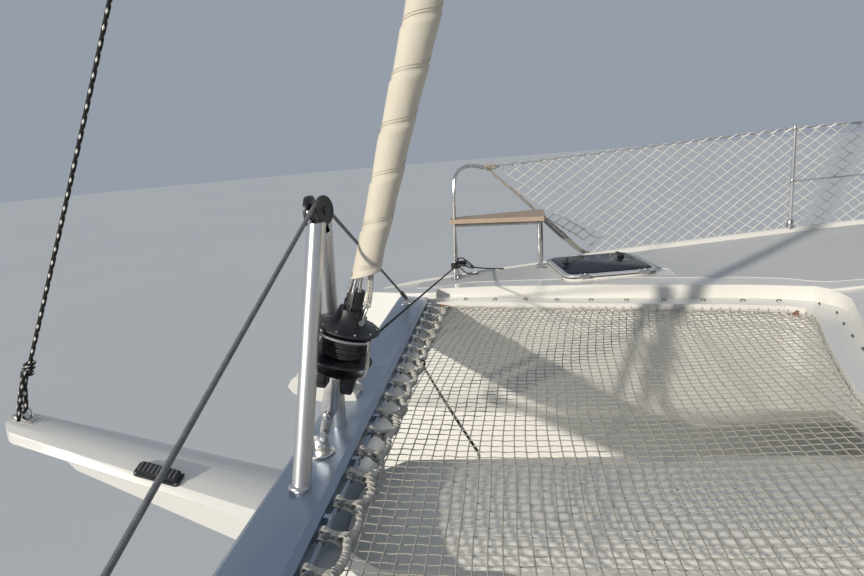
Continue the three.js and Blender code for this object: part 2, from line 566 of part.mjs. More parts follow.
function makeWalls() {
  const { x, z, rebate } = GLASS_BAND;
  const [under, over] = [DECK_Z - 30, WALLS.topZ + 30];
  const ring = cut(shell(0), shell(WALLS.thick, under, over));
  const aft = [WALLS.aftX, WALLS.aftX + WALLS.thick];
  const railSpan = (past) => [-DOOR.half - past, DOOR.half + DOOR.travel + past];
  const bulkhead = join(
    box(aft, [GAP - INNER_Y, INNER_Y - GAP], [FLOOR_Z + GAP, DECK_Z + 60]),
    shell(0).intersect(box(aft, [-2600, 2600], [under, over])),
    cut(
      box([WALLS.aftX + WALLS.thick - 5, DOOR.x[1] + 12], railSpan(32), [2497, 2540]),
      box(inset(DOOR.runnerX, -RUN), railSpan(5), [2490, DOOR.runnerTop + RUN]),
    ),
  );
  const skin = cut(shell(-40, under, over), shell(WALLS.glass + GAP, under - 10, over + 10));
  const seat = skin.intersect(box([x[0] - GAP, x[1]], [-2600, 2600], [z[0] - GAP, z[1] + GAP]));
  const pillars = join(
    ...[-620, 620].map((y) => box([700, 2400], [y - 45, y + 45], z)),
    ...[1, -1].map((side) => box([900, 1030], side > 0 ? [1300, 2600] : [-2600, -1300], z)),
    ...[1, -1].map((side) => box([-250, -130], side > 0 ? [1700, 2600] : [-2600, -1700], z)),
  );
  const lights = cut(box([x[0] + rebate, x[1]], [-2600, 2600], inset(z, rebate)), pillars);
  const doorway = box([-2500, -2300], [-DOORWAY.half, DOORWAY.half], DOORWAY.z);
  return cut(join(ring, bulkhead), seat, lights, doorway);
}

function makeGlazing() {
  const { x, z } = GLASS_BAND;
  const skin = cut(shell(0), shell(WALLS.glass, DECK_Z - 10, WALLS.topZ + 10));
  return skin.intersect(box(x, [-2600, 2600], z));
}

function makeRoof() {
  const levels = [[WALLS.topZ + GAP, -45], [2762, -60], [2812, -10], [2842, 110], [2854, 230]];
  const ring = ([z, inward]) => outlineAt(WALLS.topZ, inward, WALLS.aftX + inward).map(([x, y]) => [x, y, z]);
  return loft(levels.map(ring), acrossZ);
}

const HARDTOP = { x: [-4560, -2450], half: 1960, z: [2772, 2840], postX: -4300, postY: 1640 };
function makeHardtop(roof) {
  const { x, half, z, postX, postY } = HARDTOP;
  const plan = (by) => [
    [x[1] + 60, half - by], [x[0] + 260 + by, half - by], [x[0] + 90 + by, half - 90 - by],
    [x[0] + by, half - 300 - by],
  ];
  const ring = (by, level) => bothSides(plan(by)).map(([px, py]) => [px, py, level]);
  const slab = loft([ring(30, z[0]), ring(0, z[0] + 20), ring(8, z[1] - 18), ring(90, z[1])], acrossZ);
  const posts = [postY, -postY].map((y) => rod([postX, y, DECK_Z - 20], [postX - 60, y, z[0] + 10], 30, 12));
  return clearOfHulls(cut(join(slab, ...posts), roof.translate([-GAP, 0, 0])), [0, GAP]);
}

// Helm: console on the starboard side deck, wheel on its aft face, seat behind it.
const HELM = { y: -1850, wheelX: -2760, wheelZ: 2180, rim: 360, shaftR: 14 };
const helmShaft = (r) => rod([HELM.wheelX, HELM.y, HELM.wheelZ], [-2550 + r, HELM.y, HELM.wheelZ], r, 24);
function makeConsole() {
  return profile([
    [WALLS.aftX - GAP, DECK_Z + GAP], [-2620, DECK_Z + GAP], [-2690, 2080], [-2640, 2290],
    [-2480, 2380], [WALLS.aftX - GAP, 2380],
  ], HELM.y - 270, HELM.y + 270).subtract(helmShaft(HELM.shaftR + RUN));
}
function makeWheel() {
  const { y, wheelX, wheelZ, rim } = HELM;
  const hoop = solidOf(new THREE.TorusGeometry(rim, 15, 8, 28).rotateY(Math.PI / 2)
    .translate(wheelX, y, wheelZ));
  const spokes = [0, 72, 144, 216, 288].map((turn) => {
    const a = (turn * Math.PI) / 180;
    return rod([wheelX, y, wheelZ], [wheelX, y + rim * Math.sin(a), wheelZ + rim * Math.cos(a)], 8, 8);
  });
  return join(hoop, ...spokes, rod([wheelX - 25, y, wheelZ], [wheelX + 70, y, wheelZ], 40, 14),
    helmShaft(HELM.shaftR));
}
function makeHelmSeat() {
  return profile([
    [-3020, DECK_Z + GAP], [-3400, DECK_Z + GAP], [-3470, 2420], [-3400, 2430], [-3340, 2010], [-2990, 2010],
  ], HELM.y - 330, HELM.y + 330);
}

function makeCockpitBench() {
  const floor = FLOOR_Z + GAP;
  const side = box([-4190, -2950], [860, INNER_Y - GAP], [floor, 1230]);
  const aft = box([-4190, -3720], [-900, INNER_Y - GAP], [floor, 1230]);
  const back = box([-4190, -2950], [1400, INNER_Y - GAP], [floor, 1640]);
  return join(side, aft, back);
}
function makeTable([x0, x1], [y0, y1], topZ) {
  const [cx, cy] = [(x0 + x1) / 2, (y0 + y1) / 2];
  const foot = [cx, cy, FLOOR_Z + GAP];
  return join(box([x0, x1], [y0, y1], [topZ - 35, topZ]), rod(foot, [cx, cy, topZ - 20], 55, 12),
    rod(foot, [cx, cy, FLOOR_Z + 20], 190, 16));
}
function makeSettee() {
  const floor = FLOOR_Z + GAP;
  const side = INNER_Y - GAP;
  const runs = [[[-600, 1900], [900, side]], [[1400, 1900], [-500, side]], [[-600, -200], [400, side]]];
  return join(...runs.map(([x, y]) => box(x, y, [floor, 1250])));
}
function makeDoor() {
  const runner = box(DOOR.runnerX, [-DOOR.half, DOOR.half], [DOOR.z[1] - 5, DOOR.runnerTop]);
  return join(box(DOOR.x, [-DOOR.half, DOOR.half], DOOR.z), runner);
}

const oval = (halfX, halfY, sides) => Array.from({ length: sides }, (_, i) => {
  const a = (i / sides) * 2 * Math.PI;
  return [halfX * Math.cos(a), halfY * Math.sin(a)];
});

// Mast with its step, gooseneck brackets, shroud tangs and masthead.
const BOOM_BRACKET = { z: [3640, 3800] };
const goosePin = (r) => rod([BOOM.pivotX, 0, 3625 - r], [BOOM.pivotX, 0, 3815 + r], r, 16);
function makeMast(roof) {
  const { x, halfLong, halfWide, topZ, spreaderZ } = MAST;
  const at = (grow) => oval(halfLong + grow, halfWide + grow, 18).map(([px, py]) => [x + px, py]);
  const pole = prism(at(0), 2830, topZ);
  const step = prism(at(35), 2830, 2885);
  const crane = profile([
    [x + 190, topZ], [x - 260, topZ], [x - 260, topZ + 25], [x - 90, topZ + 60], [x + 190, topZ + 25],
  ], -24, 24);
  const brackets = BOOM_BRACKET.z.map((z) => box([BOOM.pivotX - 30, x], [-24, 24], [z - 7, z + 7]));
  const tang = (z) => box([x - 30, x + 30], [-halfWide - 12, halfWide + 12], [z - 60, z]);
  const tangs = [FORESTAY.topZ, spreaderZ - 160].map(tang);
  const hound = box([x, x + halfLong + 30], [-8, 8], [FORESTAY.topZ - 60, FORESTAY.topZ + 60]);
  const hole = box([x - 38 - GAP, x + 38 + GAP], [-200, 200], [spreaderZ - 10 - GAP, spreaderZ + 10 + GAP]);
  const body = join(pole, step, crane, ...brackets, ...tangs, hound);
  return cut(body, roof.translate([0, 0, GAP]), hole, goosePin(BOOM.pinR + RUN));
}

// Spreaders: one swept pair, joined by the bar through the mast.
const SPREADER_TIP = { x: 560, y: 1150, z: 9290 };
function makeSpreaders() {
  const { x, spreaderZ } = MAST;
  const arm = (side) => loft([
    [x, side * 66, spreaderZ, 45, 13], [x - 8, side * 150, spreaderZ + 6, 45, 13],
    [SPREADER_TIP.x, side * (SPREADER_TIP.y - 8), SPREADER_TIP.z, 26, 9],
  ].map(([cx, cy, cz, long, high]) => [[-1, 0], [-0.5, 1], [0.5, 1], [1, 0], [0.5, -1], [-0.5, -1]]
    .map(([a, b]) => [cx + a * long, cy, cz + b * high])), ([px, , pz]) => new THREE.Vector2(px, pz));
  const bar = box([x - 38, x + 38], [-70, 70], [spreaderZ - 10, spreaderZ + 10]);
  return join(arm(1), arm(-1), bar);
}

// Port rigging: cap shroud out over the spreader, and the lower shroud.
function makeShrouds() {
  const plate = [CHAINPLATE.x, CHAINPLATE.y, DECK_Z + 60];
  const tip = [SPREADER_TIP.x, SPREADER_TIP.y + 4, SPREADER_TIP.z + 3];
  const head = [MAST.x, MAST.halfWide + 20, FORESTAY.topZ - 30];
  const low = [MAST.x, MAST.halfWide + 20, MAST.spreaderZ - 190];
  const [px, py] = plate;
  const base = box([px - 45, px + 45], [py - 10, py + 10], [DECK_Z + GAP, DECK_Z + 90]);
  const second = [plate[0] + 30, plate[1], plate[2]];
  return join(rod(plate, tip, 7, 8), rod(tip, head, 6, 8), rod(second, low, 6, 8), base,
    rod(plate, [plate[0] + 8, plate[1] - 42, plate[2] + 330], 13, 8),
    rod([plate[0], plate[1], plate[2]], second, 8, 8));
}

// Boom, with its end fitting and gooseneck.
function makeBoom() {
  const { pivotX, z, endX, halfWide, halfHigh } = BOOM;
  const ring = (x) => oval(halfWide, halfHigh, 12).map(([y, dz]) => [x, y, z + dz]);
  const spar = loft([ring(pivotX - 70), ring(endX)], acrossX);
  const toggle = box([pivotX - 90, pivotX + 14], [-16, 16], [BOOM_BRACKET.z[0] + 12, BOOM_BRACKET.z[1] - 12]);
  const end = box([endX - 45, endX + 5], [-35, 35], [z - 70, z + 80]);
  return join(spar, toggle, end, goosePin(BOOM.pinR));
}

// Mainsail, flaked on the boom in its bag.
function makeMainBag() {
  const { pivotX, z, endX, halfHigh } = BOOM;
  const foot = z + halfHigh + GAP;
  const row = (x, wide, high) => [
    [x, -42, foot], [x, 42, foot], [x, wide, foot + high * 0.3], [x, wide * 0.86, foot + high * 0.68],
    [x, wide * 0.2, foot + high], [x, -wide * 0.2, foot + high], [x, -wide * 0.86, foot + high * 0.68],
    [x, -wide, foot + high * 0.3],
  ];
  return loft([
    row(pivotX - 90, 105, 620), row(pivotX - 600, 175, 590), row(-900, 170, 480), row(-2600, 140, 370),
    row(endX + 250, 90, 230),
  ], acrossX);
}

const foil = (x, chord, thick) => [[0, 0], [0.06, 0.32], [0.28, 0.5], [0.6, 0.36], [1, 0.04], [1, -0.04],
  [0.6, -0.36], [0.28, -0.5], [0.06, -0.32]].map(([a, b]) => [x - a * chord, b * thick]);
const upright = (levels) => loft(levels.map(([z, x, chord, thick]) =>
  foil(x, chord, thick).map(([px, py]) => [px, py + HULL_Y, z])), acrossZ);

function makeRudder() {
  const { x, topZ, bottomZ, stockR } = RUDDER;
  const blade = upright([
    [topZ, x + 130, 500, 64], [bottomZ + 120, x + 115, 420, 52], [bottomZ, x + 60, 300, 36],
  ]);
  return join(blade, rod([x, HULL_Y, topZ - 60], [x, HULL_Y, 205], stockR, 24));
}
const clearOfPortHull = (body, dz) => cut(body, hullPort.translate([0, 0, dz]));
function makeKeel() {
  const fin = upright([[-480, 1000, 2450, 230], [-900, 900, 2250, 200], [KEEL_Z, 820, 2080, 170]]);
  return clearOfPortHull(fin, -GAP);
}
const PROP = { x: SAILDRIVE.x - 132, shaftR: 12 };
const propShaft = (r) =>
  rod([SAILDRIVE.x, HULL_Y, SAILDRIVE.z], [PROP.x - 60 - r, HULL_Y, SAILDRIVE.z], r, 20);
function makeSaildrive() {
  const { x, z } = SAILDRIVE;
  const leg = upright([[-380, x + 110, 260, 90], [z, x + 90, 210, 60]]);
  const pod = join(rod([x + 120, HULL_Y, z], [x - 130, HULL_Y, z], 55, 14, 48),
    rod([x + 190, HULL_Y, z], [x + 120, HULL_Y, z], 22, 14, 55));
  const skeg = upright([[z, x + 60, 160, 30], [z - 150, x + 20, 100, 20]]);
  return clearOfPortHull(join(leg, pod, skeg, propShaft(PROP.shaftR)), -GAP);
}
function makePropeller() {
  const { z } = SAILDRIVE;
  const hub = join(rod([PROP.x, HULL_Y, z], [PROP.x - 80, HULL_Y, z], 46, 14, 40),
    rod([PROP.x - 80, HULL_Y, z], [PROP.x - 140, HULL_Y, z], 40, 14, 12));
  const blade = (turn) => {
    const outline = [[0, 20], [48, 70], [62, 130], [40, 190], [0, 208], [-30, 190], [-48, 120], [-34, 60]];
    const flat = new THREE.Shape(outline.map((p) => new THREE.Vector2(...p)));
    const g = new THREE.ExtrudeGeometry(flat, { depth: 9, bevelEnabled: false }).translate(0, 0, -4.5);
    g.rotateY((62 * Math.PI) / 180).rotateX((turn * Math.PI) / 180);
    return solidOf(g.translate(PROP.x - 42, HULL_Y, z));
  };
  return cut(join(hub, ...[90, 210, 330].map(blade)), propShaft(PROP.shaftR + RUN));
}

function makeBowHatch() {
  const { long, wide, rimZ, thick } = BOW_HATCH;
  const lid = prism(bowHatchOutline(8, 88), rimZ + GAP, rimZ + thick);
  const edge = -wide / 2;
  const knuckles = [130 - long / 2, long / 2 - 130].flatMap((middle) => {
    const ends = [middle - 30, middle + 30];
    const pin = ends.map((along) => [...onBowHatch([along, edge - 22]), rimZ + 14]);
    const leaf = [[ends[0], edge - 22], [ends[1], edge - 22], [ends[1], edge + 20], [ends[0], edge + 20]];
    return [rod(...pin, 9, 10), prism(leaf.map(onBowHatch), rimZ + 8, rimZ + 20)];
  });
  return join(lid, ...knuckles);
}
function makeEngineHatch() {
  const { x, y, thick } = ENGINE_HATCH;
  return prism(roundedRect(x, y, 60), DECK_Z + GAP, DECK_Z + thick);
}
function makeEngine() {
  return box(ENGINE.x, ENGINE.y, ENGINE.z);
}

// Anchor, stowed along the underside of the longeron with its fluke behind the crossbeam.
function makeAnchor() {
  const [x, z] = [4880, SPRIT.longeronUnderZ - GAP];
  const shank = profile([[x - 560, z], [x - 560, z - 60], [x, z - 55], [x + 60, z]], -9, 9);
  const fluke = loft([
    [[x - 40, 0, z - 15], [x - 40, 130, z - 115], [x - 40, 0, z - 65], [x - 40, -130, z - 115]],
    [[x + 60, 0, z - 55], [x + 60, 150, z - 195], [x + 60, 0, z - 115], [x + 60, -150, z - 195]],
    [[x + 250, 0, z - 275], [x + 250, 12, z - 287], [x + 250, 0, z - 295], [x + 250, -12, z - 287]],
  ], acrossX);
  return join(shank, fluke);
}

// Block with its sheaves on the bowsprit's port slope, where the tack line turns.
function makeSpritBlock() {
  const [x0, x1] = [5778, 5924];
  const onRidge = (x) => between(SPRIT_RINGS[3][1], SPRIT_RINGS[4][1],
    (x - SPRIT_RINGS[3][0]) / (SPRIT_RINGS[4][0] - SPRIT_RINGS[3][0]));
  const body = profile([[x0, onRidge(x0) - 60], [x1, onRidge(x1) - 60], [x1 - 12, onRidge(x1) + 22],
    [x0 + 12, onRidge(x0) + 22]], 62, 112);
  return cut(body, sprit.translate([0, 0, GAP]), sprit.translate([0, GAP, 0]));
}

// Assembly
const boat = new THREE.Group();
function place(name, solid, material, group = boat) {
  const mesh = new THREE.Mesh(geometryOf(solid), material);
  mesh.name = name;
  group.add(mesh);
}
function placePair(name, port, material, group = boat) {
  place(name + "_port", port, material, group);
  place(name + "_starboard", mirrored(port), material, group);
}
const subassembly = () => {
  const group = new THREE.Group();
  boat.add(group);
  return group;
};

const platform = subassembly();
placePair("hull", hullPort, GELCOAT, platform);
place("bridge_deck", bridgeDeck, GELCOAT, platform);
placePair("keel", makeKeel(), GELCOAT, platform);

const foredeck = subassembly();
place("crossbeam", crossbeam, ALUMINIUM, foredeck);
place("bowsprit", sprit, GELCOAT, foredeck);
place("sprit_block", makeSpritBlock(), BLACK_PLASTIC, foredeck);
place("trampoline", makeTrampoline(), NETTING, foredeck);
place("striker_frame", makeStrikerFrame(), SATIN_TUBE, foredeck);
place("striker_cap", makeStrikerCap(), BLACK_PLASTIC, foredeck);
placePair("striker_stay", makeStrikerStay(), STAINLESS, foredeck);
place("bow_roller", makeBowRoller(), GELCOAT, foredeck);
const pulpit = makePulpit();
placePair("pulpit", pulpit, STAINLESS, foredeck);
placePair("pulpit_seat", makePulpitSeat(pulpit), SEAT_BOARD, foredeck);
placePair("bow_hatch", makeBowHatch(), ACRYLIC, foredeck);
place("anchor", makeAnchor(), IRON, foredeck);

const rails = subassembly();
placePair("lifelines", makeLifelines(), STAINLESS, rails);
placePair("lifeline_net", makeLifelineNet(), NETTING, rails);

const house = subassembly();
const roof = makeRoof();
place("saloon_walls", makeWalls(), GELCOAT, house);
place("saloon_glazing", makeGlazing(), ACRYLIC, house);
place("saloon_roof", roof, GELCOAT, house);
place("saloon_door", makeDoor(), ACRYLIC, house);
place("saloon_settee", makeSettee(), CUSHION, house);
place("saloon_table", makeTable([-100, 1250], [-350, 750], 1500), SEAT_BOARD, house);
place("hardtop", makeHardtop(roof), GELCOAT, house);

const cockpit = subassembly();
place("helm_console", makeConsole(), GELCOAT, cockpit);
place("helm_wheel", makeWheel(), STAINLESS, cockpit);
place("helm_seat", makeHelmSeat(), CUSHION, cockpit);
place("cockpit_bench", makeCockpitBench(), GELCOAT, cockpit);
place("cockpit_table", makeTable([-3600, -2750], [-300, 500], 1500), SEAT_BOARD, cockpit);
placePair("engine_hatch", makeEngineHatch(), NONSKID, cockpit);
placePair("engine", makeEngine(), ENGINE_PAINT, cockpit);

const rig = subassembly();
const mast = makeMast(roof);
place("mast", mast, SATIN_TUBE, rig);
place("spreaders", makeSpreaders(), SATIN_TUBE, rig);
placePair("shrouds", makeShrouds(), STAINLESS, rig);
place("boom", makeBoom(), SATIN_TUBE, rig);
place("mainsail_bag", makeMainBag(), SAILCLOTH, rig);
place("furler_links", makeFurlerLinks(), STAINLESS, rig);
place("furler_drum", onForestay(DRUM, 20), BLACK_PLASTIC, rig);
place("furled_headsail", onForestay(SAIL, 14), SAILCLOTH, rig);
place("forestay_head", makeForestayHead(mast), STAINLESS, rig);

const underwater = subassembly();
placePair("rudder", makeRudder(), GELCOAT, underwater);
placePair("saildrive", makeSaildrive(), IRON, underwater);
placePair("propeller", makePropeller(), BRONZE, underwater);

export default boat;
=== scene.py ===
import math

import bmesh
import bpy
import numpy as np
from mathutils import Matrix, Vector
from mathutils.bvhtree import BVHTree
from mathutils.geometry import delaunay_2d_cdt


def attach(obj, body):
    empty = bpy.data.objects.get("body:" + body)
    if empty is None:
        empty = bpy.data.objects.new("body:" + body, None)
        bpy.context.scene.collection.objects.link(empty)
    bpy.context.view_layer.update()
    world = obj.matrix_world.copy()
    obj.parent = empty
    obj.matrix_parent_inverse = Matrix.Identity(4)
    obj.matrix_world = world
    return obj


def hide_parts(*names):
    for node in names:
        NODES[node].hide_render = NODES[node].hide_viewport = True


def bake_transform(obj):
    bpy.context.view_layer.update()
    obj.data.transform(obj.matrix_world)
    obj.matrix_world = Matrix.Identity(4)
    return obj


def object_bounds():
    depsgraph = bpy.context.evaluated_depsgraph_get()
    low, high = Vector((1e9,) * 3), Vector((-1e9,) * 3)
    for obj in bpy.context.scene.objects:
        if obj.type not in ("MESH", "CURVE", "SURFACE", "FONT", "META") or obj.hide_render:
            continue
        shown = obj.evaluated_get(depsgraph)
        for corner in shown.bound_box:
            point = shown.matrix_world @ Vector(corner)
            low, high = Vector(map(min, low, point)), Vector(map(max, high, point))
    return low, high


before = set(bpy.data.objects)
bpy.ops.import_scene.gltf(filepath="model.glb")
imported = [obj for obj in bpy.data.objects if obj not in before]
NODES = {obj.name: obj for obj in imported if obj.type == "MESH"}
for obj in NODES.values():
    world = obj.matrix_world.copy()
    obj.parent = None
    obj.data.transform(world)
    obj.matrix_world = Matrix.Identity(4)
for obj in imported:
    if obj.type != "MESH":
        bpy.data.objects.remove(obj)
CAD_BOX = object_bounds()
WIDEST = CAD_BOX[1][1]
BOTH = ("port", "starboard")
WAY = {"port": 1, "starboard": -1}
LID = {"port": "left", "starboard": "right"}
UP, DOWN, TO_STARBOARD = (0, 0, 1), (0, 0, -1), (0, -1, 0)
SIXTH_TURN, THIRD_TURN, QUARTER_TURN = 1.047, 2.094, 1.57

# Camera: standing at the port side of the trampoline, looking across it to starboard
EYE = Vector((4.7123, 1.7298, 2.3503))
YAW, PITCH, ROLL = 0.138, -0.2316, -0.0805
LENS_MM, SENSOR_MM = 25.89, 36.0


def add_camera():
    ahead = Vector((math.sin(YAW) * math.cos(PITCH), -math.cos(YAW) * math.cos(PITCH), math.sin(PITCH)))
    level = ahead.cross(Vector(UP)).normalized()
    above = level.cross(ahead)
    right = level * math.cos(ROLL) + above * math.sin(ROLL)
    up = above * math.cos(ROLL) - level * math.sin(ROLL)
    data = bpy.data.cameras.new("camera")
    data.lens, data.sensor_width = LENS_MM, SENSOR_MM
    data.clip_start = 0.02
    data.clip_end = 400
    camera = bpy.data.objects.new("camera", data)
    camera.matrix_world = Matrix((right, up, -ahead)).transposed().to_4x4()
    camera.location = EYE
    bpy.context.scene.collection.objects.link(camera)
    bpy.context.scene.camera = camera


add_camera()


# Materials
CELL_PITCH = 0.0785


class Finish:
    """One procedural material: a Principled shader whose colour, roughness and bump come from nodes."""

    def __init__(self, name, color, roughness, metallic=0.0, **sockets):
        self.material = bpy.data.materials.new(name)
        self.material.use_nodes = True
        self.tree = self.material.node_tree
        self.shader = self.tree.nodes["Principled BSDF"]
        self.set("Base Color", (*color, 1))
        self.set("Roughness", roughness)
        self.set("Metallic", metallic)
        for socket, value in sockets.items():
            self.set(socket.replace("_", " "), value)
        self.color = color
        self.normal = None

    def set(self, socket, value):
        if isinstance(value, bpy.types.NodeSocket):
            self.tree.links.new(value, self.shader.inputs[socket])
        else:
            self.shader.inputs[socket].default_value = value

    def node(self, kind, inputs=None, **settings):
        made = self.tree.nodes.new("ShaderNode" + kind)
        for key, value in settings.items():
            setattr(made, key, value)
        for key, value in (inputs or {}).items():
            if isinstance(value, bpy.types.NodeSocket):
                self.tree.links.new(value, made.inputs[key])
            else:
                made.inputs[key].default_value = value
        return made

    def place(self, stretch=(1, 1, 1)):
        where = self.node("TexCoord").outputs["Object"]
        return self.node("Mapping", {"Vector": where, "Scale": stretch}).outputs["Vector"]

    def noise(self, scale, detail=2.0, stretch=(1, 1, 1)):
        inputs = {"Vector": self.place(stretch), "Scale": scale, "Detail": detail}
        return self.node("TexNoise", inputs).outputs["Fac"]

    def cells(self, scale):
        return self.node("TexVoronoi", {"Vector": self.place(), "Scale": scale}).outputs["Distance"]

    def math(self, operation, a, b=0.0):
        return self.node("Math", {0: a, 1: b}, operation=operation).outputs[0]

    def remap(self, value, low, high, to_low=0.0, to_high=1.0):
        inputs = {"Value": value, "From Min": low, "From Max": high, "To Min": to_low, "To Max": to_high}
        return self.node("MapRange", inputs).outputs["Result"]

    def tint(self, share, color, strength=1.0):
        """Mixes the base colour towards another by a share from 0 to 1."""
        before = self.shader.inputs["Base Color"]
        start = before.links[0].from_socket if before.links else (*self.color, 1)
        amount = self.math("MULTIPLY", share, strength)
        mixed = self.node("Mix", {0: amount, 6: start, 7: (*color, 1)}, data_type="RGBA")
        self.set("Base Color", mixed.outputs[2])

    def cloud(self, noise, low, high, color, strength):
        """Tints where a noise is high; low and high are where that starts and ends."""
        self.tint(self.remap(self.noise(*noise), low, high), color, strength)

    def vary_roughness(self, share, low, high):
        self.set("Roughness", self.remap(share, 0.3, 0.7, low, high))

    def bump(self, height, depth, strength):
        inputs = {"Height": height, "Distance": depth, "Strength": strength}
        if self.normal:
            inputs["Normal"] = self.normal
        self.normal = self.node("Bump", inputs).outputs["Normal"]
        self.set("Normal", self.normal)

    def grain(self, noise, depth, strength):
        self.bump(self.noise(*noise), depth, strength)

    def strands(self, pitch, count, lean=1.0):
        """Height of strands twisted round a cord, whose places run round it and along it in metres."""
        split = self.node("SeparateXYZ", {0: self.node("TexCoord").outputs["UV"]})
        along = self.math("DIVIDE", split.outputs[1], pitch)
        turn = self.math("MULTIPLY", self.math("ADD", self.math("MULTIPLY", split.outputs[0], lean), along),
                         count)
        return self.math("ABSOLUTE", self.math("SINE", self.math("MULTIPLY", turn, math.pi)))


def make_finishes():
    made = {}

    def add(key, *args, **sockets):
        made[key] = Finish(key, *args, **sockets)
        return made[key]

    gelcoat = add("gelcoat", (0.8, 0.785, 0.74), 0.24, Coat_Weight=0.25, Coat_Roughness=0.12)
    gelcoat.cloud((0.9, 2), 0.35, 0.75, (0.73, 0.71, 0.655), 0.4)
    gelcoat.cloud((55, 3), 0.6, 0.8, (0.55, 0.53, 0.49), 0.06)
    gelcoat.vary_roughness(gelcoat.noise(6, 3), 0.22, 0.29)
    gelcoat.grain((4, 1), 0.0003, 0.05)

    hull = add("hull_gelcoat", (0.8, 0.785, 0.74), 0.22, Coat_Weight=0.3, Coat_Roughness=0.1)
    height = hull.node("SeparateXYZ", {0: hull.place()}).outputs[2]
    hull.cloud((0.5, 2), 0.35, 0.75, (0.74, 0.72, 0.665), 0.35)
    hull.tint(hull.remap(height, 0.34, 0.04), (0.56, 0.53, 0.45), 0.25)
    below = hull.remap(height, 0.062, 0.058)
    hull.tint(below, (0.045, 0.075, 0.115))
    hull.vary_roughness(hull.math("ADD", hull.math("MULTIPLY", below, 0.5), hull.noise(1.2, 3)), 0.21, 0.27)
    hull.grain((3, 1), 0.0003, 0.05)

    nonskid = add("nonskid", (0.625, 0.63, 0.625), 0.72)
    nonskid.cloud((1.7, 4), 0.4, 0.7, (0.68, 0.68, 0.665), 0.8)
    nonskid.cloud((420, 2), 0.5, 0.75, (0.5, 0.505, 0.51), 0.5)
    nonskid.bump(nonskid.cells(330), 0.0014, 0.7)

    beam = add("anodised_beam", (0.3, 0.36, 0.45), 0.36, 0.82)
    beam.cloud((5, 5, (1, 0.12, 1)), 0.4, 0.7, (0.4, 0.45, 0.53), 0.8)
    beam.cloud((60, 4), 0.62, 0.8, (0.52, 0.55, 0.6), 0.5)
    beam.vary_roughness(beam.noise(9, 4, (1, 0.2, 1)), 0.28, 0.5)
    beam.grain((900, 2, (1, 0.02, 1)), 0.0003, 0.3)

    tube = add("satin_tube", (0.66, 0.67, 0.68), 0.33, 0.85)
    tube.cloud((4, 4, (1, 1, 0.3)), 0.45, 0.75, (0.55, 0.56, 0.58), 0.7)
    tube.vary_roughness(tube.noise(12, 4, (1, 1, 0.2)), 0.26, 0.44)
    tube.grain((900, 2, (1, 1, 0.02)), 0.0003, 0.3)

    steel = add("stainless", (0.68, 0.67, 0.65), 0.16, 1.0)
    steel.cloud((25, 4), 0.5, 0.75, (0.5, 0.48, 0.45), 0.7)
    steel.cloud((70, 4), 0.66, 0.78, (0.42, 0.27, 0.16), 0.35)
    steel.vary_roughness(steel.noise(30, 4), 0.1, 0.3)

    plastic = add("black_plastic", (0.018, 0.019, 0.022), 0.42)
    plastic.cloud((30, 4), 0.5, 0.75, (0.06, 0.06, 0.065), 0.7)
    plastic.vary_roughness(plastic.noise(18, 4), 0.3, 0.6)
    plastic.grain((700, 2), 0.0003, 0.4)

    matt = add("head_grey", (0.035, 0.036, 0.037), 0.5)
    matt.cloud((35, 4), 0.45, 0.7, (0.065, 0.066, 0.067), 0.8)
    matt.grain((500, 2), 0.0003, 0.4)

    acrylic = add("dark_acrylic", (0.006, 0.01, 0.022), 0.1, Specular_IOR_Level=0.06)
    acrylic.cloud((3, 4), 0.45, 0.8, (0.016, 0.022, 0.036), 0.6)
    acrylic.vary_roughness(acrylic.noise(14, 4), 0.06, 0.2)

    rim = add("hatch_frame", (0.56, 0.575, 0.59), 0.4, 0.35)
    rim.cloud((12, 4), 0.45, 0.7, (0.48, 0.49, 0.5), 0.7)
    rim.vary_roughness(rim.noise(20, 3), 0.32, 0.5)

    smoked = add("smoked_glazing", (0.1, 0.12, 0.14), 0.04, Transmission_Weight=0.7, Coat_Weight=0.4)
    smoked.cloud((1.5, 3), 0.4, 0.8, (0.05, 0.06, 0.075), 0.8)
    smoked.vary_roughness(smoked.noise(9, 4), 0.02, 0.1)

    rubber = add("rubber_seal", (0.02, 0.02, 0.022), 0.62)
    rubber.cloud((40, 3), 0.5, 0.8, (0.07, 0.07, 0.07), 0.6)
    rubber.grain((500, 2), 0.0003, 0.4)

    board = add("seat_board", (0.43, 0.325, 0.245), 0.66)
    board.cloud((9, 5, (0.25, 3, 1)), 0.42, 0.68, (0.52, 0.41, 0.32), 0.85)
    board.cloud((520, 3), 0.5, 0.72, (0.28, 0.2, 0.15), 0.5)
    board.grain((260, 3, (0.2, 1, 1)), 0.0008, 0.5)

    cloth = add("sailcloth", (0.72, 0.665, 0.55), 0.82, Sheen_Weight=0.15)
    cloth.cloud((5, 5), 0.4, 0.72, (0.64, 0.575, 0.46), 0.7)
    for stretch in ((1, 1, 0.1), (0.1, 0.1, 1)):
        cloth.grain((900, 1, stretch), 0.0004, 0.35)

    cover = add("bag_cloth", (0.6, 0.565, 0.48), 0.85, Sheen_Weight=0.2)
    cover.cloud((3, 5), 0.4, 0.7, (0.52, 0.48, 0.4), 0.8)
    for stretch in ((1, 1, 0.1), (0.1, 0.1, 1)):
        cover.grain((800, 1, stretch), 0.0005, 0.4)

    cushion = add("cushion_cloth", (0.155, 0.165, 0.18), 0.9, Sheen_Weight=0.35)
    cushion.cloud((4, 5), 0.4, 0.7, (0.205, 0.215, 0.23), 0.8)
    cushion.cloud((600, 2), 0.45, 0.7, (0.1, 0.105, 0.115), 0.5)
    cushion.bump(cushion.cells(520), 0.0009, 0.6)

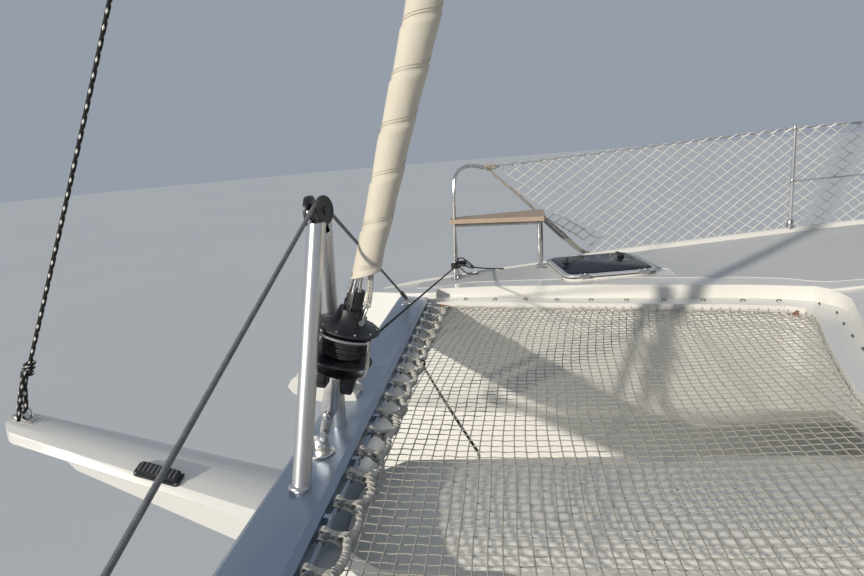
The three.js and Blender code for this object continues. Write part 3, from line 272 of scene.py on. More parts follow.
    for key, color, worn in (
        ("net_cord", (0.52, 0.5, 0.43), (0.36, 0.34, 0.29)),
        ("rail_net_cord", (0.86, 0.85, 0.81), (0.74, 0.725, 0.68)),
        ("white_rope", (0.66, 0.635, 0.57), (0.46, 0.435, 0.38)),
        ("tan_rope", (0.55, 0.47, 0.36), (0.39, 0.32, 0.24)),
        ("orange_lashing", (0.42, 0.16, 0.05), (0.25, 0.1, 0.05)),
        ("black_rope", (0.02, 0.021, 0.024), (0.06, 0.06, 0.062)),
    ):
        rope = add(key, color, 0.85)
        rope.cloud((40, 4), 0.4, 0.7, worn, 0.7)
        strands = rope.strands(0.022, 2)
        # Painted shade: the grooves between the strands are darkened to 0.45 of the rope's colour
        rope.tint(rope.remap(strands, 0.35, 0.0), tuple(c * 0.45 for c in color), 0.8)
        rope.bump(strands, 0.0012, 0.9)

    stay_rope = add("grey_rope", (0.15, 0.155, 0.165), 0.6)
    stay_rope.cloud((60, 4), 0.4, 0.7, (0.24, 0.24, 0.25), 0.7)
    twist = stay_rope.strands(0.011, 2)
    # Painted shade: the grooves of the twist are darkened
    stay_rope.tint(stay_rope.remap(twist, 0.3, 0.0), (0.08, 0.082, 0.088), 0.6)
    stay_rope.bump(twist, 0.0005, 0.6)

    hose = add("hose_grey", (0.25, 0.265, 0.245), 0.6)
    hose.cloud((30, 4), 0.4, 0.7, (0.34, 0.35, 0.32), 0.8)
    hose.grain((90, 3), 0.001, 0.4)

    flecked = add("flecked_rope", (0.012, 0.012, 0.014), 0.8)
    flecks = flecked.math("MULTIPLY", flecked.remap(flecked.strands(0.09, 2), 0.76, 0.86),
                          flecked.remap(flecked.strands(0.09, 2, -1.0), 0.76, 0.86))
    flecked.tint(flecks, (0.84, 0.82, 0.72))
    flecked.bump(flecked.strands(0.02, 3), 0.001, 0.8)

    bronze = add("bronze", (0.46, 0.31, 0.13), 0.32, 0.95)
    bronze.cloud((14, 5), 0.45, 0.7, (0.3, 0.26, 0.15), 0.8)
    bronze.vary_roughness(bronze.noise(20, 4), 0.22, 0.5)

    iron = add("galvanised", (0.42, 0.43, 0.44), 0.5, 0.7)
    iron.tint(iron.remap(iron.cells(28), 0.2, 0.7), (0.32, 0.33, 0.35), 0.8)
    iron.grain((120, 3), 0.0008, 0.4)

    paint = add("engine_paint", (0.18, 0.22, 0.205), 0.42)
    paint.cloud((10, 4), 0.45, 0.7, (0.13, 0.15, 0.14), 0.7)
    paint.grain((240, 2), 0.0005, 0.4)

    wood = add("table_wood", (0.36, 0.235, 0.135), 0.45)
    wood.cloud((11, 6, (0.12, 2.4, 1)), 0.4, 0.65, (0.24, 0.15, 0.085), 0.85)
    wood.grain((180, 3, (0.1, 1, 1)), 0.0005, 0.4)

    webbing = add("webbing", (0.13, 0.14, 0.16), 0.85)
    webbing.cloud((30, 4), 0.4, 0.7, (0.2, 0.21, 0.23), 0.7)
    webbing.grain((900, 1, (0.1, 1, 1)), 0.0005, 0.5)

    leather = add("wheel_leather", (0.06, 0.055, 0.05), 0.55)
    leather.cloud((18, 4), 0.4, 0.7, (0.11, 0.1, 0.09), 0.7)
    leather.bump(leather.cells(480), 0.0005, 0.5)

    cells = add("solar_cells", (0.008, 0.011, 0.028), 0.16, Coat_Weight=0.5, Coat_Roughness=0.05)
    cells.cloud((9, 3), 0.4, 0.7, (0.014, 0.02, 0.045), 0.8)
    place = cells.node("SeparateXYZ", {0: cells.place()})
    for axis in (0, 1):
        step = cells.math("FRACT", cells.math("DIVIDE", place.outputs[axis], CELL_PITCH))
        cells.tint(cells.math("LESS_THAN", step, 0.035), (0.16, 0.18, 0.22), 0.8)

    lens = add("lamp_lens", (0.7, 0.71, 0.7), 0.2, Coat_Weight=0.6)
    lens.grain((120, 1, (1, 1, 6)), 0.0006, 0.4)
    return {key: finish.material for key, finish in made.items()}


FINISH = make_finishes()


# Shapes
def unit(v):
    v = np.asarray(v, float)
    return v / np.linalg.norm(v)


def smooth_line(points, per_span=8):
    """Points along a smooth curve through given ones."""
    p = np.asarray(points, float)
    ends = np.vstack([2 * p[0] - p[1], p, 2 * p[-1] - p[-2]])
    t = np.linspace(0, 1, per_span, endpoint=False)[:, None]
    made = []
    for a, b, c, d in zip(ends, ends[1:], ends[2:], ends[3:]):
        made.append(0.5 * (2 * b + (c - a) * t + (2 * a - 5 * b + 4 * c - d) * t**2
                           + (3 * b - a - 3 * c + d) * t**3))
    return np.vstack([*made, p[-1:]])


def spins(count):
    """Angles spaced evenly round one full turn."""
    return np.linspace(0, 2 * np.pi, count + 1)[:-1]


def distances(line):
    """How far along a line each of its points is."""
    return np.concatenate([[0], np.cumsum(np.linalg.norm(np.diff(line, axis=0), axis=1))])


def skin(rows, sides, levels, closed=False, end=0.0):
    """Faces and texture places over rows of points, which lie at levels along the skin."""
    faces, places = [], []
    for i in range(rows if closed else rows - 1):
        j = (i + 1) % rows
        v0, v1 = levels[i], levels[i + 1]
        for k in range(sides):
            m = (k + 1) % sides
            faces.append([i * sides + k, i * sides + m, j * sides + m, j * sides + k])
            u0, u1 = k / sides, (k + 1) / sides
            places.append([(u0, v0), (u1, v0), (u1, v1), (u0, v1)])
    if not closed:
        faces += [list(range(sides))[::-1], list(range((rows - 1) * sides, rows * sides))]
        places += [[(0.5, 0.0)] * sides, [(0.5, end)] * sides]
    return faces, places


def placed(at, angle=0.0, axis="Z"):
    """A frame at a point, turned by an angle about one of its axes."""
    return Matrix.Translation(at) @ Matrix.Rotation(angle, 4, axis)


def frame_of(x_way, y_way, z_way, at):
    """A frame from the ways of its three axes and its place."""
    return Matrix([*zip(x_way, y_way, z_way, at), (0, 0, 0, 1)])


OFF_LINE, OFF_AXIS = (0.31, 0.17, 0.93), (0.0, 1.0, 0.02)  # ways to measure a section's own from


class Shape:
    """Points, faces and texture places gathered for one mesh."""

    def __init__(self):
        self.points, self.faces, self.places, self.parts = [], [], [], []
        self.count = 0

    def add(self, points, faces, places=None, part=0):
        self.points.append(np.asarray(points, float))
        self.faces += [[i + self.count for i in face] for face in faces]
        self.places += places if places else [[(0.0, 0.0)] * len(face) for face in faces]
        self.parts += [part] * len(faces)
        self.count += len(points)
        return self

    def sweep(self, line, radius, sides=8, closed=False, part=0, flat=1.0, up=None):
        """A tube along a line. radius may differ at each point; flat squeezes it along up."""
        line = np.asarray(line, float)
        n = len(line)
        radii = np.broadcast_to(np.asarray(radius, float), (n,))
        if closed:
            ahead = np.roll(line, -1, 0) - np.roll(line, 1, 0)
        else:
            ahead = np.gradient(line, axis=0)
        ahead /= np.linalg.norm(ahead, axis=1)[:, None]
        side = np.cross(ahead[0], up if up is not None else OFF_LINE)
        if np.linalg.norm(side) < 1e-3:
            side = np.cross(ahead[0], (1, 0, 0))
        sides_along = [unit(side)]
        for a in ahead[1:]:
            last = np.cross(a, up) if up is not None else sides_along[-1] - a * np.dot(sides_along[-1], a)
            sides_along.append(unit(last))
        across = np.array(sides_along)
        over = np.cross(ahead, across)
        angle = spins(sides)
        ring = across[:, None] * np.cos(angle)[:, None] + over[:, None] * (np.sin(angle) * flat)[:, None]
        points = (line[:, None] + ring * radii[:, None, None]).reshape(-1, 3)
        far = distances(line)
        return self.add(points, *skin(n, sides, [*far, far[-1] + 0.02], closed, far[-1]), part)

    def lathe(self, pairs, foot, axis, sides=32, part=0):
        """A solid of revolution: (radius, height) pairs about an axis from its foot."""
        axis = unit(axis)
        across = unit(np.cross(axis, OFF_AXIS))
        over = np.cross(axis, across)
        angle = spins(sides)
        spoke = np.cos(angle)[:, None] * across + np.sin(angle)[:, None] * over
        points = np.vstack([np.asarray(foot) + axis * h + spoke * max(r, 1e-5) for r, h in pairs])
        return self.add(points, *skin(len(pairs), sides, [h for _, h in pairs]), part)

    def loft(self, rings, part=0):
        """A skin over closed rings of equally many points, with both ends shut."""
        rings = np.asarray(rings, float)
        rows, sides = rings.shape[:2]
        return self.add(rings.reshape(-1, 3), *skin(rows, sides, range(rows)), part)

    def from_bmesh(self, bm, matrix, part):
        bm.verts.ensure_lookup_table()
        points = [matrix @ v.co for v in bm.verts]
        faces = [[v.index for v in f.verts] for f in bm.faces]
        bm.free()
        return self.add(points, faces, None, part)

    def block(self, low, high, bevel=0.004, part=0, turn=None, segments=2):
        """A box between two corners, its edges rounded, turned about its middle if asked."""
        low, high = Vector(low), Vector(high)
        size = high - low
        bm = bmesh.new()
        bmesh.ops.create_cube(bm, size=1.0, matrix=Matrix.Diagonal((*size, 1)))
        width = min(bevel, min(size) * 0.45)
        bmesh.ops.bevel(bm, geom=bm.edges[:], offset=width, segments=segments, profile=0.5, affect="EDGES")
        move = Matrix.Translation((low + high) / 2)
        return self.from_bmesh(bm, move @ turn.to_4x4() if turn else move, part)

    def plate(self, outline, thick, matrix, bevel, part=0, segments=2):
        """A flat outline of (x, y) points with a thickness, its rims rounded."""
        bm = bmesh.new()
        face = bm.faces.new([bm.verts.new((x, y, 0)) for x, y in outline])
        grown = bmesh.ops.extrude_face_region(bm, geom=[face])["geom"]
        lifted = [v for v in grown if isinstance(v, bmesh.types.BMVert)]
        bmesh.ops.translate(bm, vec=(0, 0, thick), verts=lifted)
        bmesh.ops.recalc_face_normals(bm, faces=bm.faces[:])
        rims = [e for e in bm.edges if abs(e.verts[0].co.z - e.verts[1].co.z) < 1e-7]
        bmesh.ops.bevel(bm, geom=rims, offset=bevel, segments=segments, profile=0.5, affect="EDGES")
        return self.from_bmesh(bm, matrix, part)


def piece(name, shape, finishes, body="platform", replaces=(), sharp=38):
    """Makes one object of the boat from a shape, riding on a body."""
    mesh = bpy.data.meshes.new(name)
    mesh.from_pydata(np.vstack(shape.points).tolist(), [], shape.faces)
    layer = mesh.uv_layers.new(name="places")
    layer.data.foreach_set("uv", np.array([c for face in shape.places for c in face], float).ravel())
    for key in [finishes] if isinstance(finishes, str) else finishes:
        mesh.materials.append(FINISH[key])
    mesh.polygons.foreach_set("material_index", shape.parts)
    outward = bmesh.new()
    outward.from_mesh(mesh)
    bmesh.ops.recalc_face_normals(outward, faces=outward.faces[:])
    outward.to_mesh(mesh)
    outward.free()
    mesh.shade_smooth()
    mesh.set_sharp_from_angle(angle=math.radians(sharp))
    made = bpy.data.objects.new(name, mesh)
    bpy.context.scene.collection.objects.link(made)
    if body:
        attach(made, body)
    if replaces:
        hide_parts(*replaces)
    return made


def sided(side, points):
    """Points given for the port side, put on the side asked for."""
    return np.asarray(points, float) * (1, WAY[side], 1)


# The CAD solids that stay in sight: welded, with smooth curves, rounded edges and a finish
def make_smoother(limit):
    group = bpy.data.node_groups.new(f"smooth_{limit}", "GeometryNodeTree")
    group.interface.new_socket("Geometry", in_out="INPUT", socket_type="NodeSocketGeometry")
    group.interface.new_socket("Geometry", in_out="OUTPUT", socket_type="NodeSocketGeometry")

    def add(kind, **settings):
        node = group.nodes.new(kind)
        for key, value in settings.items():
            setattr(node, key, value)
        return node

    start, end = add("NodeGroupInput"), add("NodeGroupOutput")
    plain = add("GeometryNodeRemoveAttribute")
    plain.inputs["Name"].default_value = "custom_normal"
    weld = add("GeometryNodeMergeByDistance")
    weld.inputs["Distance"].default_value = 0.00005
    faces = add("GeometryNodeSetShadeSmooth", domain="FACE")
    edges = add("GeometryNodeSetShadeSmooth", domain="EDGE")
    edges.inputs["Shade Smooth"].default_value = False
    angle = add("GeometryNodeInputMeshEdgeAngle")
    over = add("FunctionNodeCompare", operation="GREATER_THAN")
    over.inputs["B"].default_value = math.radians(limit)
    link = group.links.new
    link(start.outputs[0], plain.inputs["Geometry"])
    link(plain.outputs["Geometry"], weld.inputs["Geometry"])
    link(weld.outputs["Geometry"], faces.inputs["Geometry"])
    link(faces.outputs["Geometry"], edges.inputs["Geometry"])
    link(angle.outputs["Unsigned Angle"], over.inputs["A"])
    link(over.outputs["Result"], edges.inputs["Selection"])
    link(edges.outputs["Geometry"], end.inputs[0])
    return group


SMOOTHER = make_smoother(32)


def dress(finish, *names, bevel=0.0):
    """Gives CAD nodes a finish. Bevel rounds their edges, by that width."""
    for name in names:
        node = NODES[name]
        node.data.materials.clear()
        node.data.materials.append(FINISH[finish])
        node.modifiers.new("smooth", "NODES").node_group = SMOOTHER
        if bevel:
            rounding = node.modifiers.new("rounding", "BEVEL")
            rounding.width = bevel
            rounding.segments = 2
            rounding.limit_method = "ANGLE"
            rounding.angle_limit = math.radians(40)
            rounding.harden_normals = True


def pair(name):
    return [f"{name}_{side}" for side in BOTH]


dress("hull_gelcoat", *pair("hull"), bevel=0.006)
dress("gelcoat", "bridge_deck", *pair("keel"), "bow_roller", "saloon_roof", "hardtop", *pair("rudder"),
      bevel=0.006)
dress("gelcoat", "bowsprit", "saloon_walls", "helm_console", "cockpit_bench", bevel=0.008)
dress("anodised_beam", "crossbeam", bevel=0.003)
dress("satin_tube", "striker_frame", "mast", "spreaders", "boom", *pair("lifelines"))
dress("stainless", *pair("pulpit"), *pair("shrouds"), "forestay_head")
dress("seat_board", *pair("pulpit_seat"), bevel=0.006)
dress("table_wood", "saloon_table", "cockpit_table", bevel=0.006)
dress("dark_acrylic", "saloon_door")
dress("smoked_glazing", "saloon_glazing")
dress("nonskid", *pair("engine_hatch"), bevel=0.006)
dress("galvanised", "anchor", *pair("saildrive"), bevel=0.003)
dress("bronze", *pair("propeller"))
dress("engine_paint", *pair("engine"), bevel=0.01)


# Where things are, from the frame
TREES = {}


def cast(node, start, way):
    """The first place on a CAD node's surface that a ray meets, or None."""
    if node not in TREES:
        mesh = NODES[node].data
        corners = [v.co for v in mesh.vertices]
        TREES[node] = BVHTree.FromPolygons(corners, [p.vertices[:] for p in mesh.polygons])
    return TREES[node].ray_cast(Vector(start), Vector(way))[0]


def drop(node, x, y, top=3.0):
    """Height of a CAD node's surface straight below a point."""
    hit = cast(node, (x, y, top), DOWN)
    return hit.z if hit else None


DECK_LEAST = 1.4


def deck_edge(x, inner=False):
    """The port deck's outer or inner edge at x, by halving from a place on deck that no well cuts."""
    clear = 2.62 if 3.8 < x < 4.55 else 2.9 if x < -3.5 else 2.2
    lo, hi = (2.0 if 3.8 < x < 4.55 else 2.2, 1.2) if inner else (clear, 3.4)
    for _ in range(24):
        probe = (lo + hi) / 2
        z = drop("hull_port", x, probe)
        if z is not None and z > DECK_LEAST:
            lo = probe
        else:
            hi = probe
    return lo


def deck_z(x, y):
    return drop("hull_port", x, abs(y))


def inside(point, outline):
    """Whether (x, y) is inside a closed outline."""
    x, y = point
    odd = False
    for (x0, y0), (x1, y1) in zip(outline, [*outline[1:], outline[0]]):
        if (y0 > y) != (y1 > y) and x < (x1 - x0) * (y - y0) / (y1 - y0) + x0:
            odd = not odd
    return odd


def crossings(outline, axis, value):
    """Sorted places where a line of constant x (axis 0) or y (axis 1) crosses a closed outline."""
    found = []
    for a, b in zip(outline, [*outline[1:], outline[0]]):
        if (a[axis] > value) != (b[axis] > value):
            t = (value - a[axis]) / (b[axis] - a[axis])
            found.append(a[1 - axis] + t * (b[1 - axis] - a[1 - axis]))
    return sorted(found)


def resampled(line, gap):
    """Points spaced evenly along a line."""
    line = np.asarray(line, float)
    far = distances(line)
    steps = np.linspace(0, far[-1], max(2, int(round(far[-1] / gap)) + 1))
    return np.stack([np.interp(steps, far, line[:, k]) for k in range(line.shape[1])], 1)


# The trampoline: a net of square meshes, its hem, and what ties it into its well
WELL = [
    (5.12, 1.912), (4.4, 1.748), (3.56, 1.571), (3.36, 1.518), (3.29, 1.458), (3.276, 1.38),
    (3.335, 1.195), (3.412, 0.966), (3.483, 0.725), (3.56, 0.43), (3.6, 0.0),
]
MESH = 0.0375
NET_Z, NET_SAG = 1.364, 0.02
DRAWN_AFT = 0.031  # the net's athwart cords bend aft towards its sides, by this times y cubed
RAIL = (5.23, 1.392)
TIE_START, TIE_GAP = -1.8125, 0.145


def net_height(x, y):
    """The net sags a little between its edges."""
    across = max(0.0, 1 - (y / 1.85) ** 2)
    along = max(0.0, math.sin(math.pi * min(1, (5.15 - x) / 1.6)))
    return NET_Z - NET_SAG * across * along


def wander(x, y):
    """How far a crossing of two cords is from its place on an even grid."""
    dx = 0.004 * math.sin(3.1 * y + 1.7 * x) + 0.0025 * math.sin(11.3 * y - 7.1 * x)
    dy = 0.006 * math.sin(2.7 * x - 1.9 * y + 1.0) + 0.0025 * math.sin(9.7 * x + 8.3 * y)
    return dx, dy


def drawn_aft(y):
    return DRAWN_AFT * abs(y) ** 3


def hem_x(y):
    """The hem is drawn towards the beam at its middle."""
    return 5.137 + 0.036 * (1 - (y / 1.885) ** 2)


def make_trampoline():
    ahead = [(hem_x(y), y) for y in np.arange(-1.8, 1.81, 0.3)]
    around = resampled(WELL + [(x, -y) for x, y in WELL[-2::-1]] + ahead + WELL[:1], 0.05)[:-1]
    whole = [(x + drawn_aft(y), y) for x, y in around]
    net = Shape()
    for axis, first, last in ((0, 3.35, 5.33), (1, -1.89, 1.89)):
        for i, value in enumerate(np.arange(first, last, MESH)):
            ends = crossings(whole, axis, value)
            for lo, hi in zip(ends[::2], ends[1::2]):
                if hi - lo < MESH:
                    continue
                steps = np.arange(math.ceil(lo / MESH) * MESH, hi, MESH)
                steps = np.concatenate([[lo], steps[(steps > lo + 0.01) & (steps < hi - 0.01)], [hi]])
                line = []
                for j, step in enumerate(steps):
                    x, y = (value, step) if axis == 0 else (step, value)
                    x -= drawn_aft(y)
                    near = min(1.0, (step - lo) / 0.1, (hi - step) / 0.1)
                    dx, dy = wander(x, y)
                    over = 0.0016 * (1 if (i + j + axis) % 2 else -1)
                    line.append((x + dx * near, y + dy * near, net_height(x, y) + over))
                net.sweep(line, 0.0018 + 0.0005 * (1 - axis), 5, up=UP)
    piece("trampoline_net", net, "net_cord", replaces=["trampoline"], sharp=180)

    rim = Shape()
    outline = [(x + 0.014, y * 0.992) for x, y in WELL] + [(x + 0.014, -y * 0.992) for x, y in WELL[-2::-1]]
    edge = resampled([(x, y, NET_Z + 0.004) for x, y in outline], 0.03)
    edge[:, 2] += 0.002 * np.sin(np.arange(len(edge)) * 1.3)
    rim.sweep(edge, 0.0055, 8)
    hooks = resampled([(x - 0.001, y * 1.001, 1.378) for x, y in WELL[1:]], 0.045)
    for side in (1, -1):
        for i, hook in enumerate(hooks):
            inward = unit(np.array([4.2, 0.0]) - hook[:2])
            reach = np.array([*(hook[:2] + inward * (0.035 + 0.008 * math.sin(i * 2.1))), NET_Z - 0.004])
            way = (reach - hook) * 0.5
            loop = [hook, hook + way + (0, 0, 0.007), reach, hook + way * 1.1 - (0, 0, 0.007)]
            loop = smooth_line([*loop, hook + (0.004, 0.003, -0.002)], 3) * (1, side, 1)
            rim.sweep(loop, 0.0016, 4)
    piece("trampoline_edge", rim, "white_rope", sharp=180)

    hem = Shape()
    ys = np.arange(-1.885, 1.886, 0.02)
    pull = np.abs(np.cos((ys - TIE_START) * np.pi / TIE_GAP)) ** 3
    line = np.stack([hem_x(ys) - 0.008 + 0.016 * pull + 0.003 * np.sin(ys * 31), ys,
                     NET_Z - 0.003 + 0.004 * pull + 0.002 * np.sin(ys * 17)], 1)
    hem.sweep(line, 0.0105 + 0.003 * pull + 0.0015 * np.sin(ys * 47), 10)
    turns = np.arange(-1.88, 1.88, 0.0035)
    coil = turns * 2 * np.pi / 0.024
    bulge = 0.0125 + 0.003 * np.interp(turns, ys, pull) + 0.0025 * np.sin(turns * 13)
    hem.sweep(np.stack([
        np.interp(turns, ys, line[:, 0]) + bulge * np.cos(coil), turns,
        np.interp(turns, ys, line[:, 2]) + bulge * np.sin(coil),
    ], 1), 0.0028, 5)
    piece("trampoline_hem", hem, "white_rope", sharp=180)

    lacing = Shape()
    rail_x, rail_z = RAIL
    for i, y in enumerate(np.arange(TIE_START, -TIE_START + 0.001, TIE_GAP)):
        knot = np.array([hem_x(y) + 0.014, y, NET_Z + 0.004])
        for k in range(4):
            lean = 0.005 * (k - 1.5)
            drift = 0.003 * math.sin(i * 1.9 + k)
            a, d = knot + (0.0, lean - 0.006, 0.01), knot + (0.0, lean + 0.01, -0.012)
            b = (rail_x + 0.006, y + lean, rail_z + 0.009)
            c = (rail_x + 0.006, y + lean + 0.014, rail_z - 0.009)
            middle = (knot + b) / 2
            around = (rail_x + 0.014, y + lean + 0.007, rail_z)
            there, back = middle + (0, drift, 0.004), middle + (0, 0.01 - drift, -0.012)
            lacing.sweep(smooth_line([a, there, b, around, c, back, d], 4), 0.0031, 5)
        for k in range(3):
            spin = spins(12)
            ring = knot + np.stack([0.004 * k - 0.004 + 0.015 * np.cos(spin),
                                    0.007 * (k - 1) + 0.002 * np.sin(2 * spin), 0.016 * np.sin(spin)], 1)
            lacing.sweep(ring, 0.0036, 5, closed=True)
        end = [knot + (0.01, 0.004, 0.01), knot + (0.024, 0.012, 0.022), knot + (0.034, 0.008, 0.012)]
        lacing.sweep(smooth_line(end, 4), 0.0032, 5)
        for k in range(4):
            spin = spins(12)
            around = np.stack([rail_x + 0.0098 * np.cos(spin), np.full(12, y + 0.026 + 0.0058 * k),
                               rail_z + 0.0098 * np.sin(spin)], 1)
            lacing.sweep(around, 0.003, 5, closed=True, part=1)
    piece("trampoline_lacing", lacing, ["white_rope", "grey_rope"], sharp=180)

    ties = Shape()
    corners = [(5.115, 1.875), (3.335, 1.455)]
    for x, y in [*corners, *[(x, -y) for x, y in corners]]:
        for k in range(6):
            spin = k * 0.9
            a = np.array([x + 0.012 * math.cos(spin), y + 0.012 * math.sin(spin), NET_Z + 0.002])
            b = np.array([x + (0.06 if x > 5 else -0.03), y + math.copysign(0.022 + 0.006 * k, y), 1.372])
            ties.sweep(smooth_line([a, (a + b) / 2 + (0, 0, 0.012 - 0.003 * k), b], 5), 0.0022, 5)
        ties.sweep([(x + 0.014 * math.cos(t), y + 0.014 * math.sin(t), NET_Z + 0.006 * math.sin(3 * t))
                    for t in np.linspace(0, 4 * math.pi, 30)], 0.0026, 5)
    piece("trampoline_corner_ties", ties, "orange_lashing", sharp=180)


# Small black eyes on the ledge round the well
def make_ledge_eyes():
    eyes = Shape()
    places = [(5.02, 1.945), (4.84, 1.905), (4.66, 1.868), (4.48, 1.829), (4.29, 1.795), (4.1, 1.757)]
    places += [(3.907, 1.721), (3.708, 1.686), (3.519, 1.644), (3.352, 1.609), (3.195, 1.52)]
    places += [(3.19, 1.356), (3.244, 1.18), (3.293, 1.007), (3.334, 0.845), (3.385, 0.67), (3.43, 0.49)]
    places += [(3.47, 0.3), (3.49, 0.1)]
    for x, y in places:
        for side in (1, -1):
            z = 1.3955
            along = unit(np.array([0.98, 0.2 * side]) if x > 3.45 or y > 1.55 else np.array([0.3, -side]))
            a = np.array([x, y * side, z])
            step = np.array([*along, 0]) * 0.0065
            rise = np.array([0, 0, 0.006])
            eyes.sweep(smooth_line([a - step * 1.3, a - step + rise, a + step + rise, a + step * 1.3], 3),
                       0.0022, 6)
            for end in (-1.5, 1.5):
                eyes.lathe([(0.0046, 0), (0.0046, 0.0012), (0.0028, 0.0022)], a + step * end, UP, 8)
    piece("ledge_eyes", eyes, "black_plastic")


# Bow hatches: a dark lens in a bevelled frame, along the hull's outer edge
HATCH = {"middle": (4.18, 2.285), "long": 0.56, "wide": 0.59, "turn": 9.0, "rim": 1.484}


def on_hatch(side, along, out, z=0.0):
    """A point given along a bow hatch and outboard from its middle, above its rim."""
    turn = math.radians(HATCH["turn"])
    x = HATCH["middle"][0] + along * math.cos(turn) + out * math.sin(turn)
    y = HATCH["middle"][1] - along * math.sin(turn) + out * math.cos(turn)
    return sided(side, [(x, y, HATCH["rim"] + z)])[0]


# Textured anti-slip areas, a little proud of the decks, with rounded corners and a hole round each hatch
def rounded(outline, radius, steps=4):
    """An outline with its corners turned into arcs."""
    made = []
    count = len(outline)
    for i in range(count):
        before, here, after = (np.array(outline[(i + k) % count], float) for k in (-1, 0, 1))
        reach = min(radius, np.linalg.norm(before - here) * 0.45, np.linalg.norm(after - here) * 0.45)
        a, b = here + unit(before - here) * reach, here + unit(after - here) * reach
        for t in np.linspace(0, 1, steps + 1):
            made.append(tuple((1 - t) ** 2 * a + 2 * t * (1 - t) * here + t * t * b))
    return made


def rectangle(x0, x1, y0, y1, radius):
    return rounded([(x0, y0), (x1, y0), (x1, y1), (x0, y1)], radius)


SHEET_DEPTH = 0.004  # how far a sheet's underside is below its deck, so that no gap shows


def draped(shape, outline, holes, height, thick, gap=0.16):
    """A thin sheet inside an outline, with holes, laid on height(x, y)."""
    loops = [outline, *holes]
    points = [p for loop in loops for p in loop]
    edges, start = [], 0
    for loop in loops:
        edges += [(start + i, start + (i + 1) % len(loop)) for i in range(len(loop))]
        start += len(loop)
    low, high = np.min(outline, 0), np.max(outline, 0)
    for x in np.arange(low[0] + gap / 2, high[0], gap):
        for y in np.arange(low[1] + gap / 2, high[1], gap):
            if inside((x, y), outline) and not any(inside((x, y), hole) for hole in holes):
                points.append((x, y))
    flat, _, faces, *_ = delaunay_2d_cdt([Vector(p) for p in points], edges, [], 0, 1e-6)
    kept = []
    for face in faces:
        middle = sum((flat[i] for i in face), Vector((0, 0))) / len(face)
        if inside(middle, outline) and not any(inside(middle, hole) for hole in holes):
            kept.append(list(face))
    heights = [height(p.x, p.y) for p in flat]
    top = [(p.x, p.y, z + thick) for p, z in zip(flat, heights)]
    under = [(p.x, p.y, z - SHEET_DEPTH) for p, z in zip(flat, heights)]
    count = len(flat)
    seen = {}
    for face in kept:
        for a, b in zip(face, [*face[1:], face[0]]):
            seen[(a, b)] = seen.get((a, b), 0) + 1
    rims = [(a, b) for a, b in seen if (b, a) not in seen]
    walls = [[a + count, b + count, b, a] for a, b in rims]
    faces = kept + [[i + count for i in face[::-1]] for face in kept] + walls
    shape.add(top + under, faces)


def make_nonskid():
    for side in BOTH:
        way = WAY[side]
        deck = Shape()
        xs = np.concatenate([np.arange(5.36, 2.4, -0.16), np.arange(2.4, -3.4, -0.3), [-3.5]])
        outer = [(x, (deck_edge(x) - 0.075) * way) for x in xs]
        inner = []
        for x in xs:
            if x > 3.2:
                y = deck_edge(x, inner=True) + 0.165
            elif x > 2.35:
                y = 1.6 + 0.12 * max(0, x - 2.9)
            else:
                y = wall_y(x) + 0.075
            inner.append((x, y * way))
        ring = rounded(outer + inner[::-1], 0.05, 3)
        half_x, half_y = HATCH["long"] / 2 + 0.04, HATCH["wide"] / 2 + 0.045
        corners = [(-half_x, -half_y), (half_x, -half_y), (half_x, half_y), (-half_x, half_y)]
        holes = [rounded([tuple(on_hatch(side, a, out)[:2]) for a, out in corners], 0.1)]
        helm = [rectangle(-3.5, -2.38, -2.2, -1.5, 0.04)] if side == "starboard" else []
        draped(deck, ring, [h for h in holes + helm if all(inside(p, ring) for p in h)],
               lambda x, y: deck_z(x, y) or 1.55, 0.0025)
        piece(f"nonskid_{side}", deck, "nonskid")


WALL_LEAST = 1.56


def wall_y(x):
    """Where the saloon's side stands on the deck at x, for the port side."""
    hit = cast("saloon_walls", (x, 3.4, 1.62), TO_STARBOARD)
    return max(WALL_LEAST, hit.y) if hit else WALL_LEAST


# Netting along the rails: diamonds of thin white cord, with ropes along its edges
RAIL_MESH = (0.1, 0.071)
NET_AFT = -4.23
POSTS = [2.763, 1.0, -0.8, -2.6, NET_AFT]
POST_HEIGHT, POST_INSET = 0.716, 0.06
SLOPE_TOP = (4.873, 2.509, 2.154)
SLOPE_FOOT_X = 4.19


def rail_lines():
    """The port net's upper and lower edges, as functions of x."""
    tops, feet = [(SLOPE_TOP[0] - 0.02, SLOPE_TOP[1] + 0.02, SLOPE_TOP[2] - 0.005)], []
    for x in POSTS:
        y = deck_edge(x) - POST_INSET + 0.004
        z = deck_z(x, deck_edge(x) - POST_INSET)
        tops.append((x, y, z + POST_HEIGHT - 0.004))
        feet.append((x, y, z + 0.02))
    y = deck_edge(SLOPE_FOOT_X) - 0.02
    feet.insert(0, (SLOPE_FOOT_X, y, deck_z(SLOPE_FOOT_X, y - 0.03) + 0.02))
    return np.array(tops)[::-1], np.array(feet)[::-1]


